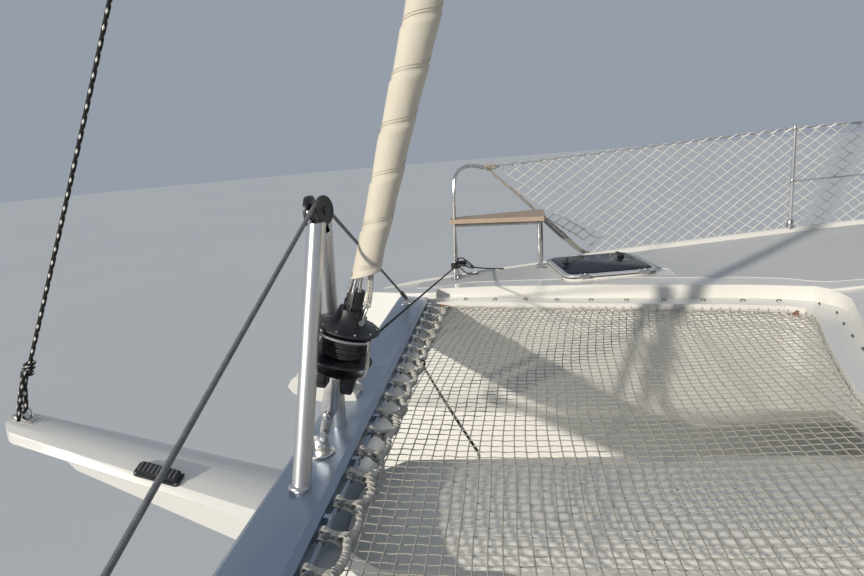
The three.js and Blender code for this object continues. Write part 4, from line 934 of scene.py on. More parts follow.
def make_rail_nets():
    tops, feet = rail_lines()

    def on(line, x):
        return np.array([x, np.interp(x, line[:, 0], line[:, 1]), np.interp(x, line[:, 0], line[:, 2])])

    foot, head = on(feet, SLOPE_FOOT_X), on(tops, SLOPE_TOP[0] - 0.02)

    def bottom(x):
        if x <= SLOPE_FOOT_X:
            return on(feet, x)
        t = (x - SLOPE_FOOT_X) / (head[0] - SLOPE_FOOT_X)
        return foot * (1 - t) + head * t

    wide, high = RAIL_MESH
    pitch = high / wide
    for side in BOTH:
        net = Shape()
        for way in (1, -1):
            for k in range(-8, 100):
                start = NET_AFT + k * wide
                line = []
                for j in range(0, 23):
                    x = start + way * j * wide / 2
                    if not NET_AFT - 0.001 <= x <= head[0] - 0.03:
                        continue
                    low, top = bottom(x), on(tops, x)
                    base = on(feet, min(x, SLOPE_FOOT_X))
                    z = base[2] + j * wide / 2 * pitch
                    if z < low[2] or z > top[2]:
                        if line:
                            break
                        continue
                    share = (z - low[2]) / max(0.02, top[2] - low[2])
                    y = low[1] + (top[1] - low[1]) * share + 0.006 * math.sin(x * 5 + z * 7)
                    slack = 0.007 * math.sin(x * 17 + z * 11 + way)
                    line.append((x + slack, y, z + 0.004 * math.sin(x * 23 + j)))
                if len(line) > 1:
                    ends = [np.array(line[0]), np.array(line[-1])]
                    line = [ends[0] - (way * 0.006, 0, 0.008), *line, ends[1] + (way * 0.006, 0, 0.008)]
                    net.sweep(sided(side, line), 0.0032, 4, up=(0.02, 1, 0))
        piece(f"rail_net_{side}", net, "rail_net_cord",
              replaces=[f"lifeline_net_{side}"], sharp=180)

        ropes = Shape()
        upper = resampled([on(tops, x) for x in np.linspace(NET_AFT, head[0], 60)], 0.035)
        spiral = resampled(upper, 0.012)
        spin = np.arange(len(spiral)) * 0.012 * 2 * np.pi / 0.1
        spiral[:, 1] += 0.0085 * np.cos(spin) - 0.001
        spiral[:, 2] += 0.0085 * np.sin(spin) + 0.002
        ropes.sweep(sided(side, spiral), 0.0052, 6)
        knots = resampled(upper, 0.05)
        for i, at in enumerate(knots[1:-1]):
            spin = spins(7)
            ring = np.stack([np.full(7, at[0]) + 0.006 * np.sin(spin + i),
                             at[1] - 0.01 + 0.014 * np.cos(spin), at[2] + 0.003 + 0.009 * np.sin(spin)], 1)
            ropes.sweep(sided(side, ring), 0.0013, 4, closed=True)
        lower = resampled([on(feet, x) for x in np.linspace(NET_AFT, SLOPE_FOOT_X, 60)], 0.03)
        lower[:, 2] += 0.007 * np.abs(np.sin(np.arange(len(lower)) * 0.95)) - 0.008
        ropes.sweep(sided(side, lower), 0.0045, 6)
        for i, at in enumerate(resampled(lower, 0.3)):
            loop = [at, at + (0.01, -0.012, -0.012), at + (-0.008, -0.016, -0.016),
                    at + (-0.01, -0.004, 0.0)]
            ropes.sweep(sided(side, smooth_line(loop, 4)), 0.0022, 5)
        piece(f"rail_net_ropes_{side}", ropes, "rail_net_cord", sharp=180)

        front = Shape()
        a, b = np.array(SLOPE_TOP), np.array([SLOPE_FOOT_X, foot[1] - 0.02, foot[2] - 0.012])
        t = np.linspace(0, 1, 60)[:, None]
        line = a * (1 - t) + b * t
        across = unit(np.cross(b - a, (0, 1, 0)))
        over = unit(np.cross(across, b - a))
        for strand in range(3):
            turn = t * 21 + strand * THIRD_TURN
            radius = 0.0065 + 0.003 * np.sin(t * 37 + strand * 2)
            front.sweep(sided(side, line + radius * (np.cos(turn) * across + np.sin(turn) * over)), 0.004, 6)
        hose = line[32:56] + across * 0.012
        hose[:, 0] += 0.01 * np.sin(np.linspace(0, math.pi, len(hose)))
        front.sweep(sided(side, hose), 0.0125, 12, part=1)
        for k in range(7):
            spin = spins(8)
            ring = a + np.stack([-0.01 * k + 0.004 * np.sin(spin), 0.019 * np.cos(spin),
                                 0.019 * np.sin(spin)], 1)
            front.sweep(sided(side, ring), 0.0034, 5, closed=True)
        tail = smooth_line([a + (0.01, 0.01, 0.0), a + (0.03, 0.02, 0.02), a + (0.035, 0.026, -0.02)], 5)
        front.sweep(sided(side, tail), 0.0032, 5)
        for k in range(5):
            spin = spins(8)
            ring = b + np.stack([0.017 * np.cos(spin), 0.017 * np.sin(spin),
                                 0.006 * k + 0.002 * np.sin(spin)], 1)
            front.sweep(sided(side, ring), 0.0034, 5, closed=True)
        piece(f"rail_net_front_{side}", front, ["tan_rope", "hose_grey"], sharp=60)


make_trampoline()
make_ledge_eyes()
make_nonskid()
make_rail_nets()


# The forestay's own frame: d runs up the stay from its foot, off leans forward of it
RAKE, ALONG = 0.33, 1.053
FORESTAY_X, FORESTAY_Z = 5.35, 1.424
STAY_AXIS = unit((-RAKE, 0, 1))


def stay(d, off=0.0, y=0.0):
    return np.array([FORESTAY_X + (off - RAKE * d) / ALONG, y, FORESTAY_Z + (d + RAKE * off) / ALONG])


def round_stay(d, radius, degrees):
    """A point at a radius from the stay; 0 degrees is ahead of it, 90 to port."""
    turn = math.radians(degrees)
    return stay(d, radius * math.cos(turn), radius * math.sin(turn))


def stay_plate(shape, outline, y, thick, bevel=0.0015, part=0):
    """A plate standing fore and aft, its outline in (off, d), from y to y + thick."""
    frame_at = frame_of((1 / ALONG, 0, RAKE / ALONG), (-RAKE / ALONG, 0, 1 / ALONG), TO_STARBOARD,
                        (FORESTAY_X, y + thick, FORESTAY_Z))
    return shape.plate(outline, thick, frame_at, bevel, part)


# The furled headsail: cloth rolled in a long helix round its foil
SAIL_FOOT, SAIL_HEAD = 0.58, 13.13
SAIL_PITCH, FOOT_RISE = 0.138, 0.022
SAIL_RADII = [  # how far up the stay, and the roll's radius there
    (0.58, 0.0365), (0.8, 0.04), (1.3, 0.0445), (1.8, 0.051), (3.4, 0.065), (6.0, 0.07), (9.0, 0.062),
    (11.4, 0.044), (13.13, 0.026),
]


def turn_height(turns):
    """How far up the stay the rolled cloth's edge is after a number of turns."""
    return SAIL_FOOT + SAIL_PITCH * turns + 0.0011 * max(0.0, turns - 14) ** 2


def sail_foot(angle):
    """The rolled sail's foot is higher on its aft side."""
    return SAIL_FOOT + FOOT_RISE * (1 - math.cos(angle))


def creases(d, angle):
    """How far the rolled cloth stands out of an even roll."""
    return 0.0014 * math.sin(5.3 * d + 2 * angle) + 0.0011 * math.sin(14.1 * d - angle)


def on_sail(d, r, angle):
    """A point r from the roll's middle, which hangs a little aft of the stay near its foot."""
    return stay(d, r * math.cos(angle) - 0.019 * max(0.0, 1 - (d - SAIL_FOOT) / 5), r * math.sin(angle))


def make_headsail():
    sides = 44
    steps = (0.0, 0.05, 0.16, 0.34, 0.52, 0.7, 0.86, 0.965)
    heights, radii = zip(*SAIL_RADII)
    turns = []
    whole = -1
    while turn_height(whole - 1) < SAIL_HEAD:
        turns += [whole + step for step in steps]
        whole += 1
    points, degenerate = [], []
    for i, start in enumerate(turns):
        share = steps[i % len(steps)]
        for k in range(sides):
            angle = 2 * math.pi * k / sides
            free = turn_height(start + k / sides)
            d = min(max(free, sail_foot(angle)), SAIL_HEAD)
            degenerate.append(free != d)
            r = np.interp(d, heights, radii) + 0.0042 * share
            r += creases(d, angle)
            fold = math.sin(21 * d + 2 * angle + 1.5 * math.sin(3.1 * d))
            r += 0.0016 * max(0.0, fold) ** 3 * (0.4 + 0.6 * math.sin(2.3 * d) ** 2)
            points.append(on_sail(d, r, angle))
    faces, places = [], []
    rows = len(turns)
    for i in range(rows - 1 - len(steps)):
        for k in range(sides):
            m, up = (k + 1, 0) if k + 1 < sides else (0, len(steps))
            quad = [i * sides + k, (i + up) * sides + m, (i + up + 1) * sides + m, (i + 1) * sides + k]
            if not all(degenerate[q] for q in quad):
                faces.append(quad)
                places.append([(0, 0), (1, 0), (1, 1), (0, 1)])
    sail = Shape().add(points, faces, places)
    sail.lathe([(radii[-1], 0), (radii[-1], 0.002)], stay(SAIL_HEAD - 0.003), STAY_AXIS, 24)
    spin = spins(24)
    rings = [[on_sail(sail_foot(a) * share + (SAIL_FOOT + FOOT_RISE) * (1 - share) + 0.004,
                      share * radii[0], a) for a in spin] for share in (0.98, 0.6, 0.2)]
    sail.loft([np.array(ring) for ring in rings])
    piece("furled_sail", sail, "sailcloth", body="headsail",
          replaces=["furled_headsail"], sharp=50)

    # The rolled sun strip's stitching: a fine double line along the helix
    seam = Shape()
    for lift in (0.012, 0.02):
        line = []
        for t in np.arange(0.2, 62, 1 / 20):
            d = turn_height(t + lift / SAIL_PITCH)
            if d > SAIL_HEAD - 0.05:
                break
            angle = 2 * math.pi * (t % 1)
            r = np.interp(d, heights, radii) + 0.0024
            r += creases(d, angle)
            line.append(on_sail(d, r, angle))
        seam.sweep(line, 0.0007, 4)
    piece("sail_seam_stitching", seam, "bag_cloth", body="headsail", sharp=180)


# The furling drum that turns with the sail, and the fixed links and guard that hold it
def make_furler():
    drum = Shape()
    drum.lathe([(0.017, 0.326), (0.086, 0.326), (0.095, 0.3295), (0.0965, 0.333), (0.093, 0.3365),
                (0.06, 0.34), (0.047, 0.343), (0.046, 0.42), (0.06, 0.4235), (0.092, 0.4275),
                (0.0985, 0.4315), (0.0965, 0.4355), (0.08, 0.44), (0.06, 0.448), (0.046, 0.462),
                (0.04, 0.478), (0.037, 0.49), (0.017, 0.491)], stay(0), STAY_AXIS, 56)
    drum.lathe([(0.024, 0.47), (0.0265, 0.474), (0.0265, 0.545), (0.024, 0.549)], stay(0, -0.004),
               STAY_AXIS, 28)
    drum.lathe([(0.029, 0.5), (0.03, 0.503), (0.03, 0.513), (0.029, 0.516)], stay(0, -0.004), STAY_AXIS, 28)
    for k in range(10):
        spot = round_stay(0.4375, 0.086, 36 * k + 10)
        drum.lathe([(0.004, 0), (0.004, 0.003), (0.0025, 0.0042)], spot, STAY_AXIS, 8, part=1)
    piece("furling_drum", drum, ["black_plastic", "stainless"], body="headsail",
          replaces=["furler_drum"])

    line = Shape()
    layers = ((0.052, 0.3455, 0.4185), (0.06, 0.3475, 0.4165), (0.068, 0.35, 0.413))
    for layer, (radius, first, last) in enumerate(layers):
        wraps = (last - first) / 0.0078
        t = np.linspace(0, wraps, int(wraps * 22))
        d = first + (last - first) * t / wraps + 0.0012 * np.sin(t * 2.3 + layer)
        r = radius + 0.0012 * np.sin(t * 1.7 + layer * 2)
        turn = 360 * t * (1 if layer % 2 else -1)
        line.sweep([round_stay(a, b, c) for a, b, c in zip(d, r, turn)], 0.0041, 6)
    piece("furling_line_wound", line, "black_rope", body="headsail", sharp=180)

    tack = Shape()
    for degrees in (38, 84, 132):
        a, b = round_stay(0.54, 0.021, degrees), round_stay(0.63, 0.013, degrees)
        tack.sweep([a, (a + b) / 2, b], 0.0062, 8)
    tack.sweep([round_stay(0.462, 0.031, 95), round_stay(0.5, 0.0285, 95), round_stay(0.545, 0.0275, 95)],
               0.004, 6, flat=0.5)
    shackle = [(0.462, 0.058, 142), (0.49, 0.06, 142), (0.512, 0.06, 146), (0.522, 0.052, 152),
               (0.512, 0.044, 164), (0.49, 0.043, 170), (0.466, 0.046, 170)]
    tack.sweep(smooth_line([round_stay(*p) for p in shackle], 5), 0.0038, 8)
    tack.sweep([round_stay(0.47, 0.07, 132), round_stay(0.47, 0.04, 182)], 0.0046, 10)
    for at in ((0.47, 0.068, 133), (0.47, 0.044, 178)):
        tack.lathe([(0.0085, -0.003), (0.0085, 0.003)], round_stay(*at), round_stay(0.47, 0.07, 132)
                   - round_stay(0.47, 0.04, 182), 12)
    strap = [(0.63, 0.03, 186), (0.58, 0.038, 184), (0.545, 0.045, 172), (0.528, 0.052, 158),
             (0.518, 0.056, 149)]
    strap = smooth_line([round_stay(*p) for p in strap], 5)
    for shift in (-0.007, 0.0, 0.007):
        tack.sweep(strap + STAY_AXIS * 0.25 * shift + np.array([0.6 * shift, 0.3 * shift, 0]), 0.0045, 6,
                   part=1)
    ring = [round_stay(0.52 + 0.006 * math.cos(t), 0.052 + 0.012 * math.sin(t), 153)
            for t in np.linspace(0, 6, 12)]
    tack.sweep(ring, 0.0035, 6, part=1)
    piece("sail_tack_fittings", tack, ["stainless", "white_rope"], body="headsail",
          sharp=50)

    links = Shape()
    arm = [(-0.0165, 0.302), (-0.0165, 0.265), (-0.0155, 0.25), (-0.026, 0.222), (-0.026, 0.16),
           (-0.0135, 0.118), (0.0135, 0.118), (0.026, 0.16), (0.026, 0.222), (0.0155, 0.25),
           (0.0165, 0.265), (0.0165, 0.302)]
    for y in (-0.019, 0.013):
        stay_plate(links, arm, y, 0.006)
    stay_plate(links, rounded([(-0.011, 0.04), (0.011, 0.04), (0.015, 0.1), (0.013, 0.15), (-0.013, 0.15),
                               (-0.015, 0.1)], 0.005), -0.0085, 0.017, 0.003)
    for y in (-0.0135, 0.0085):
        stay_plate(links, rounded([(-0.013, 0.062), (0.013, 0.062), (0.015, 0.125), (-0.015, 0.125)],
                                  0.008), y, 0.005)
    for d, r, half in ((0.136, 0.0085, 0.028), (0.276, 0.009, 0.026), (0.072, 0.008, 0.021)):
        links.sweep([stay(d, 0, -half), stay(d, 0, half)], r, 14)
        links.lathe([(r * 1.5, 0), (r * 1.6, 0.0015), (r * 1.2, 0.004)], stay(d, 0, half - 0.003),
                    (0, 1, 0), 16)
        split = [stay(d + 0.011 * math.cos(t), 0.011 * math.sin(t), half - 0.001)
                 for t in np.linspace(0, 5.6, 12)]
        links.sweep(split, 0.0011, 5)
    links.lathe([(0.046, 0.0008), (0.047, 0.004), (0.0445, 0.0078), (0.03, 0.009)], (FORESTAY_X, 0, 1.4205),
                UP, 32)
    for turn in range(6):
        spin = turn * SIXTH_TURN
        spot = np.array([FORESTAY_X + 0.037 * math.cos(spin), 0.037 * math.sin(spin), 1.4285])
        links.lathe([(0.0055, 0), (0.0055, 0.003), (0.003, 0.0042)], spot, UP, 6)
    links.block((5.318, -0.008, 1.424), (5.366, 0.008, 1.482), 0.006)
    links.lathe([(0.018, 0.286), (0.08, 0.2935), (0.084, 0.296), (0.08, 0.2985), (0.03, 0.301),
                 (0.021, 0.305), (0.021, 0.318), (0.0145, 0.32), (0.0145, 0.345)], stay(0), STAY_AXIS, 40)
    for a, b in ((-0.058, -0.019), (0.019, 0.058)):
        stay_plate(links, rounded([(a, 0.222), (b, 0.216), (b, 0.285), (a, 0.285)], 0.008), -0.013, 0.026,
                   0.004, 1)
    for a, b in ((-0.06, -0.031), (0.031, 0.06)):
        stay_plate(links, rectangle(a, b, 0.232, 0.283, 0.006), -0.021, 0.042, 0.004, 1)
    hoop = [round_stay(0.4195, 0.1035, a) for a in np.linspace(50, 142, 16)]
    left = [round_stay(0.3, 0.082, 44), round_stay(0.306, 0.094, 45), round_stay(0.34, 0.1045, 46)]
    right = [round_stay(0.34, 0.1045, 148), round_stay(0.306, 0.094, 150), round_stay(0.3, 0.082, 151)]
    links.sweep(smooth_line([*left, *hoop, *right], 3), 0.0042, 8)
    strap = [round_stay(0.398, 0.1065, 145), round_stay(0.34, 0.107, 148.5), round_stay(0.303, 0.097, 150.5)]
    links.sweep(smooth_line(strap, 5), 0.0075, 8, flat=0.35, up=unit(round_stay(0.3, 0.1, 148) - stay(0.3)))
    far = [round_stay(0.3, 0.082, 230), round_stay(0.308, 0.098, 230), round_stay(0.36, 0.1045, 232),
           round_stay(0.404, 0.104, 236), round_stay(0.404, 0.104, 262), round_stay(0.404, 0.104, 290),
           round_stay(0.36, 0.1045, 296), round_stay(0.308, 0.098, 298), round_stay(0.3, 0.082, 298)]
    links.sweep(smooth_line(far, 4), 0.0042, 8)
    piece("furler_fixed_parts", links, ["stainless", "black_plastic"],
          replaces=["furler_links"])


# The striker frame's head: cheeks round a sheave, with the stays' lashings over it
APEX = np.array([5.262, 0.0, 2.172])
LEG_FOOT_X = 5.35
STAY_TOP, STAY_FOOT = np.array([5.262, 0.068, 2.186]), np.array([5.36, 1.8, 1.454])


def make_striker_gear():
    caps = Shape()

    def facing_aft(x, z):
        """A frame whose plates are upright and athwart, at x and z from the apex."""
        return frame_of((0, 1, 0), UP, (1, 0, 0), (APEX[0] + x, 0, APEX[2] + z))

    ends = [(-0.046, -0.034), (0.046, -0.034), (0.046, 0.022), (0.026, 0.048), (-0.026, 0.048),
            (-0.046, 0.022)]
    caps.plate(rounded(ends, 0.014, 3), 0.016, facing_aft(0.016, 0.006), 0.004, part=0)
    caps.plate(rectangle(-0.038, 0.038, -0.024, 0.022, 0.006), 0.004,
               facing_aft(0.0265, 0.014), 0.001, part=3)
    caps.block(APEX + (-0.02, -0.038, -0.06), APEX + (0.022, 0.038, -0.024), 0.006, part=1)
    cheek = APEX + (-0.012, 0.004, 0.01)
    turned = unit((-0.95, 0.31, 0))
    caps.lathe([(0.018, -0.02), (0.018, 0.002)], cheek, turned, 24, part=1)
    caps.lathe([(0.038, 0), (0.0425, 0.0015), (0.0435, 0.004), (0.0435, 0.009), (0.0405, 0.012),
                (0.034, 0.0126), (0.0335, 0.0116), (0.012, 0.012), (0.0115, 0.016), (0.008, 0.0175)], cheek,
               turned, 40, part=1)
    for x, y, z in ((0.015, 0.0455, 0.012), (0.015, 0.0455, -0.014), (0.004, 0.0375, -0.042)):
        for way in (1, -1):
            caps.lathe([(0.0065, 0), (0.0065, 0.003), (0.004, 0.0045)], APEX + (x, way * y, z), (0, way, 0),
                       8, part=2)
    piece("striker_head", caps, ["black_plastic", "head_grey", "stainless", "satin_tube"],
          replaces=["striker_cap"])

    for side in BOTH:
        stays = Shape()
        top, foot = sided(side, [STAY_TOP])[0], sided(side, [STAY_FOOT])[0]
        way = unit(foot - top)
        line = resampled([top + way * 0.004, foot - way * 0.01], 0.03)
        stays.sweep(line, 0.0062, 8)
        across = np.sign(top[1])
        over = smooth_line([top + way * 0.03, top + way * 0.004, top + (0, -0.026 * across, 0.009),
                            top + (0, -0.05 * across, 0.014), top + (0, -0.07 * across, 0.014)], 4)
        stays.sweep(over, 0.0062, 8)
        stays.lathe([(0.0105, 0), (0.0115, 0.01), (0.0115, 0.19), (0.0075, 0.21)], foot - way * 0.225, way,
                    16, part=1)
        stays.lathe([(0.012, -0.03), (0.013, -0.026), (0.013, 0.0), (0.009, 0.006)], foot, way, 14, part=2)
        lug = foot + (0, 0.0, -0.01)
        stays.sweep([lug - (0.016, 0, 0), lug + (0.016, 0, 0)], 0.0055, 10, part=2)
        for dx in (-0.01, 0.01):
            stays.block(foot + (dx - 0.0025, -0.014, -0.032), foot + (dx + 0.0025, 0.014, 0.004), 0.002,
                        part=2)
        stays.block(foot + (-0.03, -0.026, -0.034), foot + (0.03, 0.026, -0.027), 0.003, part=2)
        for dx, dy in ((-0.022, -0.018), (0.022, -0.018), (-0.022, 0.018), (0.022, 0.018)):
            stays.lathe([(0.0045, 0), (0.0045, 0.002), (0.0028, 0.0032)], foot + (dx, dy, -0.0272), UP, 6,
                        part=2)
        piece(f"striker_rope_{side}", stays, ["grey_rope", "black_plastic", "stainless"],
              replaces=[f"striker_stay_{side}"], sharp=60)

    feet = Shape()
    for y in (0.213, -0.213):
        foot = np.array([LEG_FOOT_X, y, 1.4205])
        feet.lathe([(0.03, 0.004), (0.0305, 0.008), (0.029, 0.011), (0.0272, 0.012)], foot,
                   unit(APEX - foot), 32)
    piece("striker_feet", feet, "satin_tube")


def block_at(shape, at, way, size=0.032, part=0):
    """A pulley: two cheeks with a grooved sheave between, hanging along way."""
    across = unit(np.cross(way, (0.97, 0.1, 0.02)))
    cheek = [(0.0, -0.0025), (size * 0.8, -0.0025), (size, 0.0), (size * 0.8, 0.0025), (0.0, 0.0025)]
    for shift in (-0.011, 0.011):
        shape.lathe(cheek, at + across * shift, across, 22, part)
    shape.lathe([(size * 0.7, -0.008), (size * 0.82, -0.007), (size * 0.6, 0), (size * 0.82, 0.007),
                 (size * 0.7, 0.008)], at, across, 22, part)
    shape.sweep([at - across * 0.014, at + across * 0.014], size * 0.2, 10, part=part)
    neck = at + unit(way) * size * 1.3
    shape.sweep([at + across * 0.009, neck, at - across * 0.009], size * 0.16, 6, part=part)


# On the sprit: a pad-eye, and a halyard that hangs slack from the masthead, made fast to it
HALYARD_SLACK = 0.562


def make_sprit_gear():
    gear = Shape()
    foot = np.array([6.345, 0.0, drop("bowsprit", 6.345, 0.0) + 0.003])
    gear.block(foot + (-0.036, -0.024, -0.006), foot + (0.036, 0.024, 0.004), 0.003,
               turn=Matrix.Rotation(-0.3, 3, "Y"))
    bow = [foot + (-0.02, 0, 0.0), foot + (-0.019, 0, 0.022), foot + (0.0, 0, 0.038),
           foot + (0.018, 0, 0.03), foot + (0.021, 0, 0.006)]
    gear.sweep(smooth_line(bow, 5), 0.0055, 8)
    piece("sprit_pad_eye", gear, "stainless")

    halyard = Shape()
    knot, head = np.array([6.293, 0.0, 1.736]), np.array([1.045, 0.0, 16.88])
    t = np.concatenate([np.linspace(0, 0.07, 26), np.linspace(0.07, 1, 58)[1:]])[:, None]
    line = knot * (1 - t) + head * t
    line[:, 0] -= HALYARD_SLACK * 4 * (t * (1 - t))[:, 0]
    halyard.sweep(line, 0.007, 8)
    block_at(halyard, head + (0, 0, 0.014), UP, 0.026, part=1)
    eye = foot + (0.0, 0.0, 0.026)
    bight = [knot + (0.004, -0.006, 0.006), knot + (0.032, -0.01, -0.014), knot + (0.046, -0.008, -0.06),
             eye + (0.012, -0.008, 0.03), eye + (0.012, -0.004, 0.002), eye + (0.002, 0.006, -0.008),
             eye + (-0.018, 0.01, 0.016), knot + (0.014, 0.014, -0.05), knot + (-0.002, 0.01, -0.006)]
    halyard.sweep(smooth_line(bight, 5), 0.0068, 8)
    for k, (drop_by, lean) in enumerate(((-0.016, 0.5), (0.0, -0.4), (0.015, 0.3))):
        turn = [knot + (0.0125 * math.cos(t) - 0.45 * drop_by, 0.0135 * math.sin(t),
                        drop_by + 0.006 * lean * math.cos(t + k)) for t in spins(14)]
        halyard.sweep(turn, 0.0064, 7, closed=True)
    tail = smooth_line([knot + (-0.004, 0.01, 0.012), knot + (0.008, 0.024, -0.03),
                        knot + (0.026, 0.034, -0.09), knot + (0.044, 0.042, -0.165)], 6)
    halyard.sweep(tail, 0.0068, 8)
    piece("sprit_halyard", halyard, ["flecked_rope", "black_plastic"], sharp=60)


make_headsail()
make_furler()
make_striker_gear()
make_sprit_gear()


def hatch_matrix(side, z=0.0):
    way = WAY[side]
    middle = (HATCH["middle"][0], way * HATCH["middle"][1], HATCH["rim"] + z)
    return placed(middle, -way * math.radians(HATCH["turn"]))


def make_bow_hatch(side):
    way = WAY[side]
    half_x, half_y = HATCH["long"] / 2 + 0.008, HATCH["wide"] / 2 + 0.008
    lid = Shape()

    def slab(grow, low, high, radius, bevel, part):
        outline = rectangle(-half_x - grow, half_x + grow, -half_y - grow, half_y + grow, radius)
        lid.plate(outline, high - low, hatch_matrix(side, low), bevel, part, 3)

    slab(-0.004, 0.001, 0.007, 0.085, 0.001, 2)
    slab(0.0, 0.006, 0.0215, 0.09, 0.007, 1)
    slab(-0.03, 0.018, 0.0265, 0.07, 0.0035, 0)
    for along, out, turned in ((-0.195, 0.15, 160), (0.195, 0.08, 200)):
        at = on_hatch(side, along, out, 0.0265)
        lid.lathe([(0.021, -0.002), (0.022, 0.002), (0.019, 0.006), (0.011, 0.008), (0.01, 0.016),
                   (0.008, 0.018)], at, UP, 24, part=2)
        lever = placed(at + (0, 0, 0.012), way * math.radians(turned))
        lid.plate(rounded([(-0.012, -0.01), (0.012, -0.01), (0.009, 0.062), (-0.009, 0.062)], 0.008), 0.008,
                  lever, 0.003, part=2)
        lid.lathe([(0.006, 0), (0.006, 0.0015), (0.003, 0.002)], at + (0, 0, 0.0195), UP, 12, part=3)
    for along in (-0.18, 0.18):
        a, b = on_hatch(side, along - 0.03, -0.317, 0.014), on_hatch(side, along + 0.03, -0.317, 0.014)
        lid.sweep([a, b], 0.009, 12, part=3)
        corners = [on_hatch(side, along + da, out, 0.0205) for da, out in (
            (-0.028, -0.317), (0.028, -0.317), (0.028, -0.262), (-0.028, -0.262))]
        lid.plate([(p[0], p[1]) for p in corners], 0.004, Matrix.Translation((0, 0, corners[0][2])), 0.001,
                  part=3)
        for da in (-0.015, 0.015):
            lid.lathe([(0.004, 0), (0.004, 0.001), (0.002, 0.002)],
                      on_hatch(side, along + da, -0.28, 0.0245), UP, 8, part=3)
    for k in range(6):
        for out in (-half_y + 0.014, half_y - 0.014):
            at = on_hatch(side, -0.22 + 0.088 * k, out, 0.0213)
            lid.lathe([(0.0035, 0), (0.0035, 0.0006), (0.002, 0.001)], at, UP, 8, part=3)
    piece(f"bow_hatch_lid_{side}", lid, ["dark_acrylic", "hatch_frame", "rubber_seal", "stainless"],
          body=f"bow_lid_{LID[side]}", replaces=[f"bow_hatch_{side}"])


# Pulpit seats: flanges under their posts, and the screws that hold the board down
def make_pulpit_gear(side):
    gear = Shape()
    for x, y in ((5.114, 2.33), (4.537, 2.45), (5.104, 2.425), (4.537, 2.56)):
        foot = sided(side, [(x, y, deck_z(x, y))])[0]
        gear.lathe([(0.031, 0.001), (0.032, 0.004), (0.029, 0.007), (0.0165, 0.012), (0.0145, 0.024),
                    (0.0128, 0.025)], foot, UP, 24)
        for k in range(3):
            spot = foot + (0.024 * math.cos(k * 2.1), 0.024 * math.sin(k * 2.1), 0.0062)
            gear.lathe([(0.0035, 0), (0.0035, 0.001), (0.002, 0.0018)], spot, UP, 8)
    seat_top = drop(f"pulpit_seat_{side}", 4.8, sided(side, [(0, 2.45, 0)])[0][1], 2.1)
    for x, y in ((5.09, 2.36), (5.085, 2.43), (4.57, 2.48), (4.56, 2.54)):
        spot = sided(side, [(x, y, seat_top)])[0]
        gear.lathe([(0.007, -0.001), (0.007, 0.0012), (0.004, 0.0026)], spot, UP, 12)
    piece(f"pulpit_feet_{side}", gear, "stainless")


# The furling line: from the drum over a lead block at the seat's post, then aft along the deck's edge
LEAD_BLOCK = np.array([5.062, -2.362, 1.535])


def make_furling_line():
    gear = Shape()
    inboard = {x: float(np.interp(x, (3.5, 4.1), (1.0, 0.0))) for x in
               (4.7, 4.4, 3.9, 3.7, 3.3, 2.763, 1.9, 1.0, 0.1, -0.8, -1.7)}
    edge = [(x, 0.034 * share - deck_edge(x) - 0.014, deck_z(x, deck_edge(x) - 0.03) - 0.012 + 0.017 * share)
            for x, share in inboard.items()]
    start = stay(0.383, -0.06, -0.034)
    line = np.vstack([
        resampled([start, LEAD_BLOCK + (0.012, 0.03, 0.012)], 0.04),
        smooth_line([LEAD_BLOCK + (0.004, 0.006, 0.018), LEAD_BLOCK + (-0.022, -0.008, 0.004),
                     LEAD_BLOCK + (-0.1, -0.05, -0.045), *edge, (-2.05, -(deck_edge(-2.05) - 0.02), 1.6),
                     (-2.2, -(deck_edge(-2.2) - 0.14), 1.6)], 6),
    ])
    gear.sweep(line, 0.0042, 6)
    for x in (3.3, 1.9, 0.1, -1.7):
        y = 0.02 - deck_edge(x)
        z = deck_z(x, deck_edge(x) - 0.03) + 0.004
        gear.block((x - 0.012, y - 0.007, z - 0.005), (x + 0.012, y + 0.012, z + 0.008), 0.003, part=1)
    p = LEAD_BLOCK
    gear.lathe([(0.02, -0.012), (0.024, -0.011), (0.024, -0.009), (0.016, 0.0), (0.024, 0.009),
                (0.024, 0.011), (0.02, 0.012)], p, (0.3, 0.2, 1), 24, part=1)
    gear.block(p + (-0.03, -0.02, 0.012), p + (0.03, 0.02, 0.018), 0.004, part=1)
    gear.block(p + (-0.03, -0.02, -0.018), p + (0.03, 0.02, -0.012), 0.004, part=1)
    gear.sweep([p + (0, 0, -0.02), p + (0, 0, 0.021)], 0.004, 8, part=2)
    for k in range(5):
        ring = [(5.114 + 0.019 * math.cos(t), -2.33 + 0.019 * math.sin(t),
                 1.512 + 0.008 * k + 0.003 * math.sin(t)) for t in np.linspace(0, 6.1, 12)]
        gear.sweep(ring, 0.004, 6)
    gear.sweep(smooth_line([(5.1, -2.345, 1.53), p + (0.03, 0.012, 0.006), p + (0.012, 0.0, 0.016)], 5),
               0.0042, 6)
    tails = [
        [(5.1, -2.345, 1.52), (5.07, -2.36, 1.5), (5.05, -2.385, 1.47), (5.02, -2.4, 1.452),
         (4.96, -2.41, 1.45)],
        [(5.12, -2.345, 1.53), (5.1, -2.385, 1.545), (5.06, -2.4, 1.52), (5.03, -2.41, 1.5),
         (4.99, -2.4, 1.49)],
        [(5.11, -2.35, 1.55), (5.07, -2.385, 1.57), (5.02, -2.39, 1.535), (4.985, -2.38, 1.5)],
    ]
    for tail in tails:
        gear.sweep(smooth_line(tail, 5), 0.0044, 6)
    piece("furling_line", gear, ["black_rope", "black_plastic", "stainless"], sharp=60)


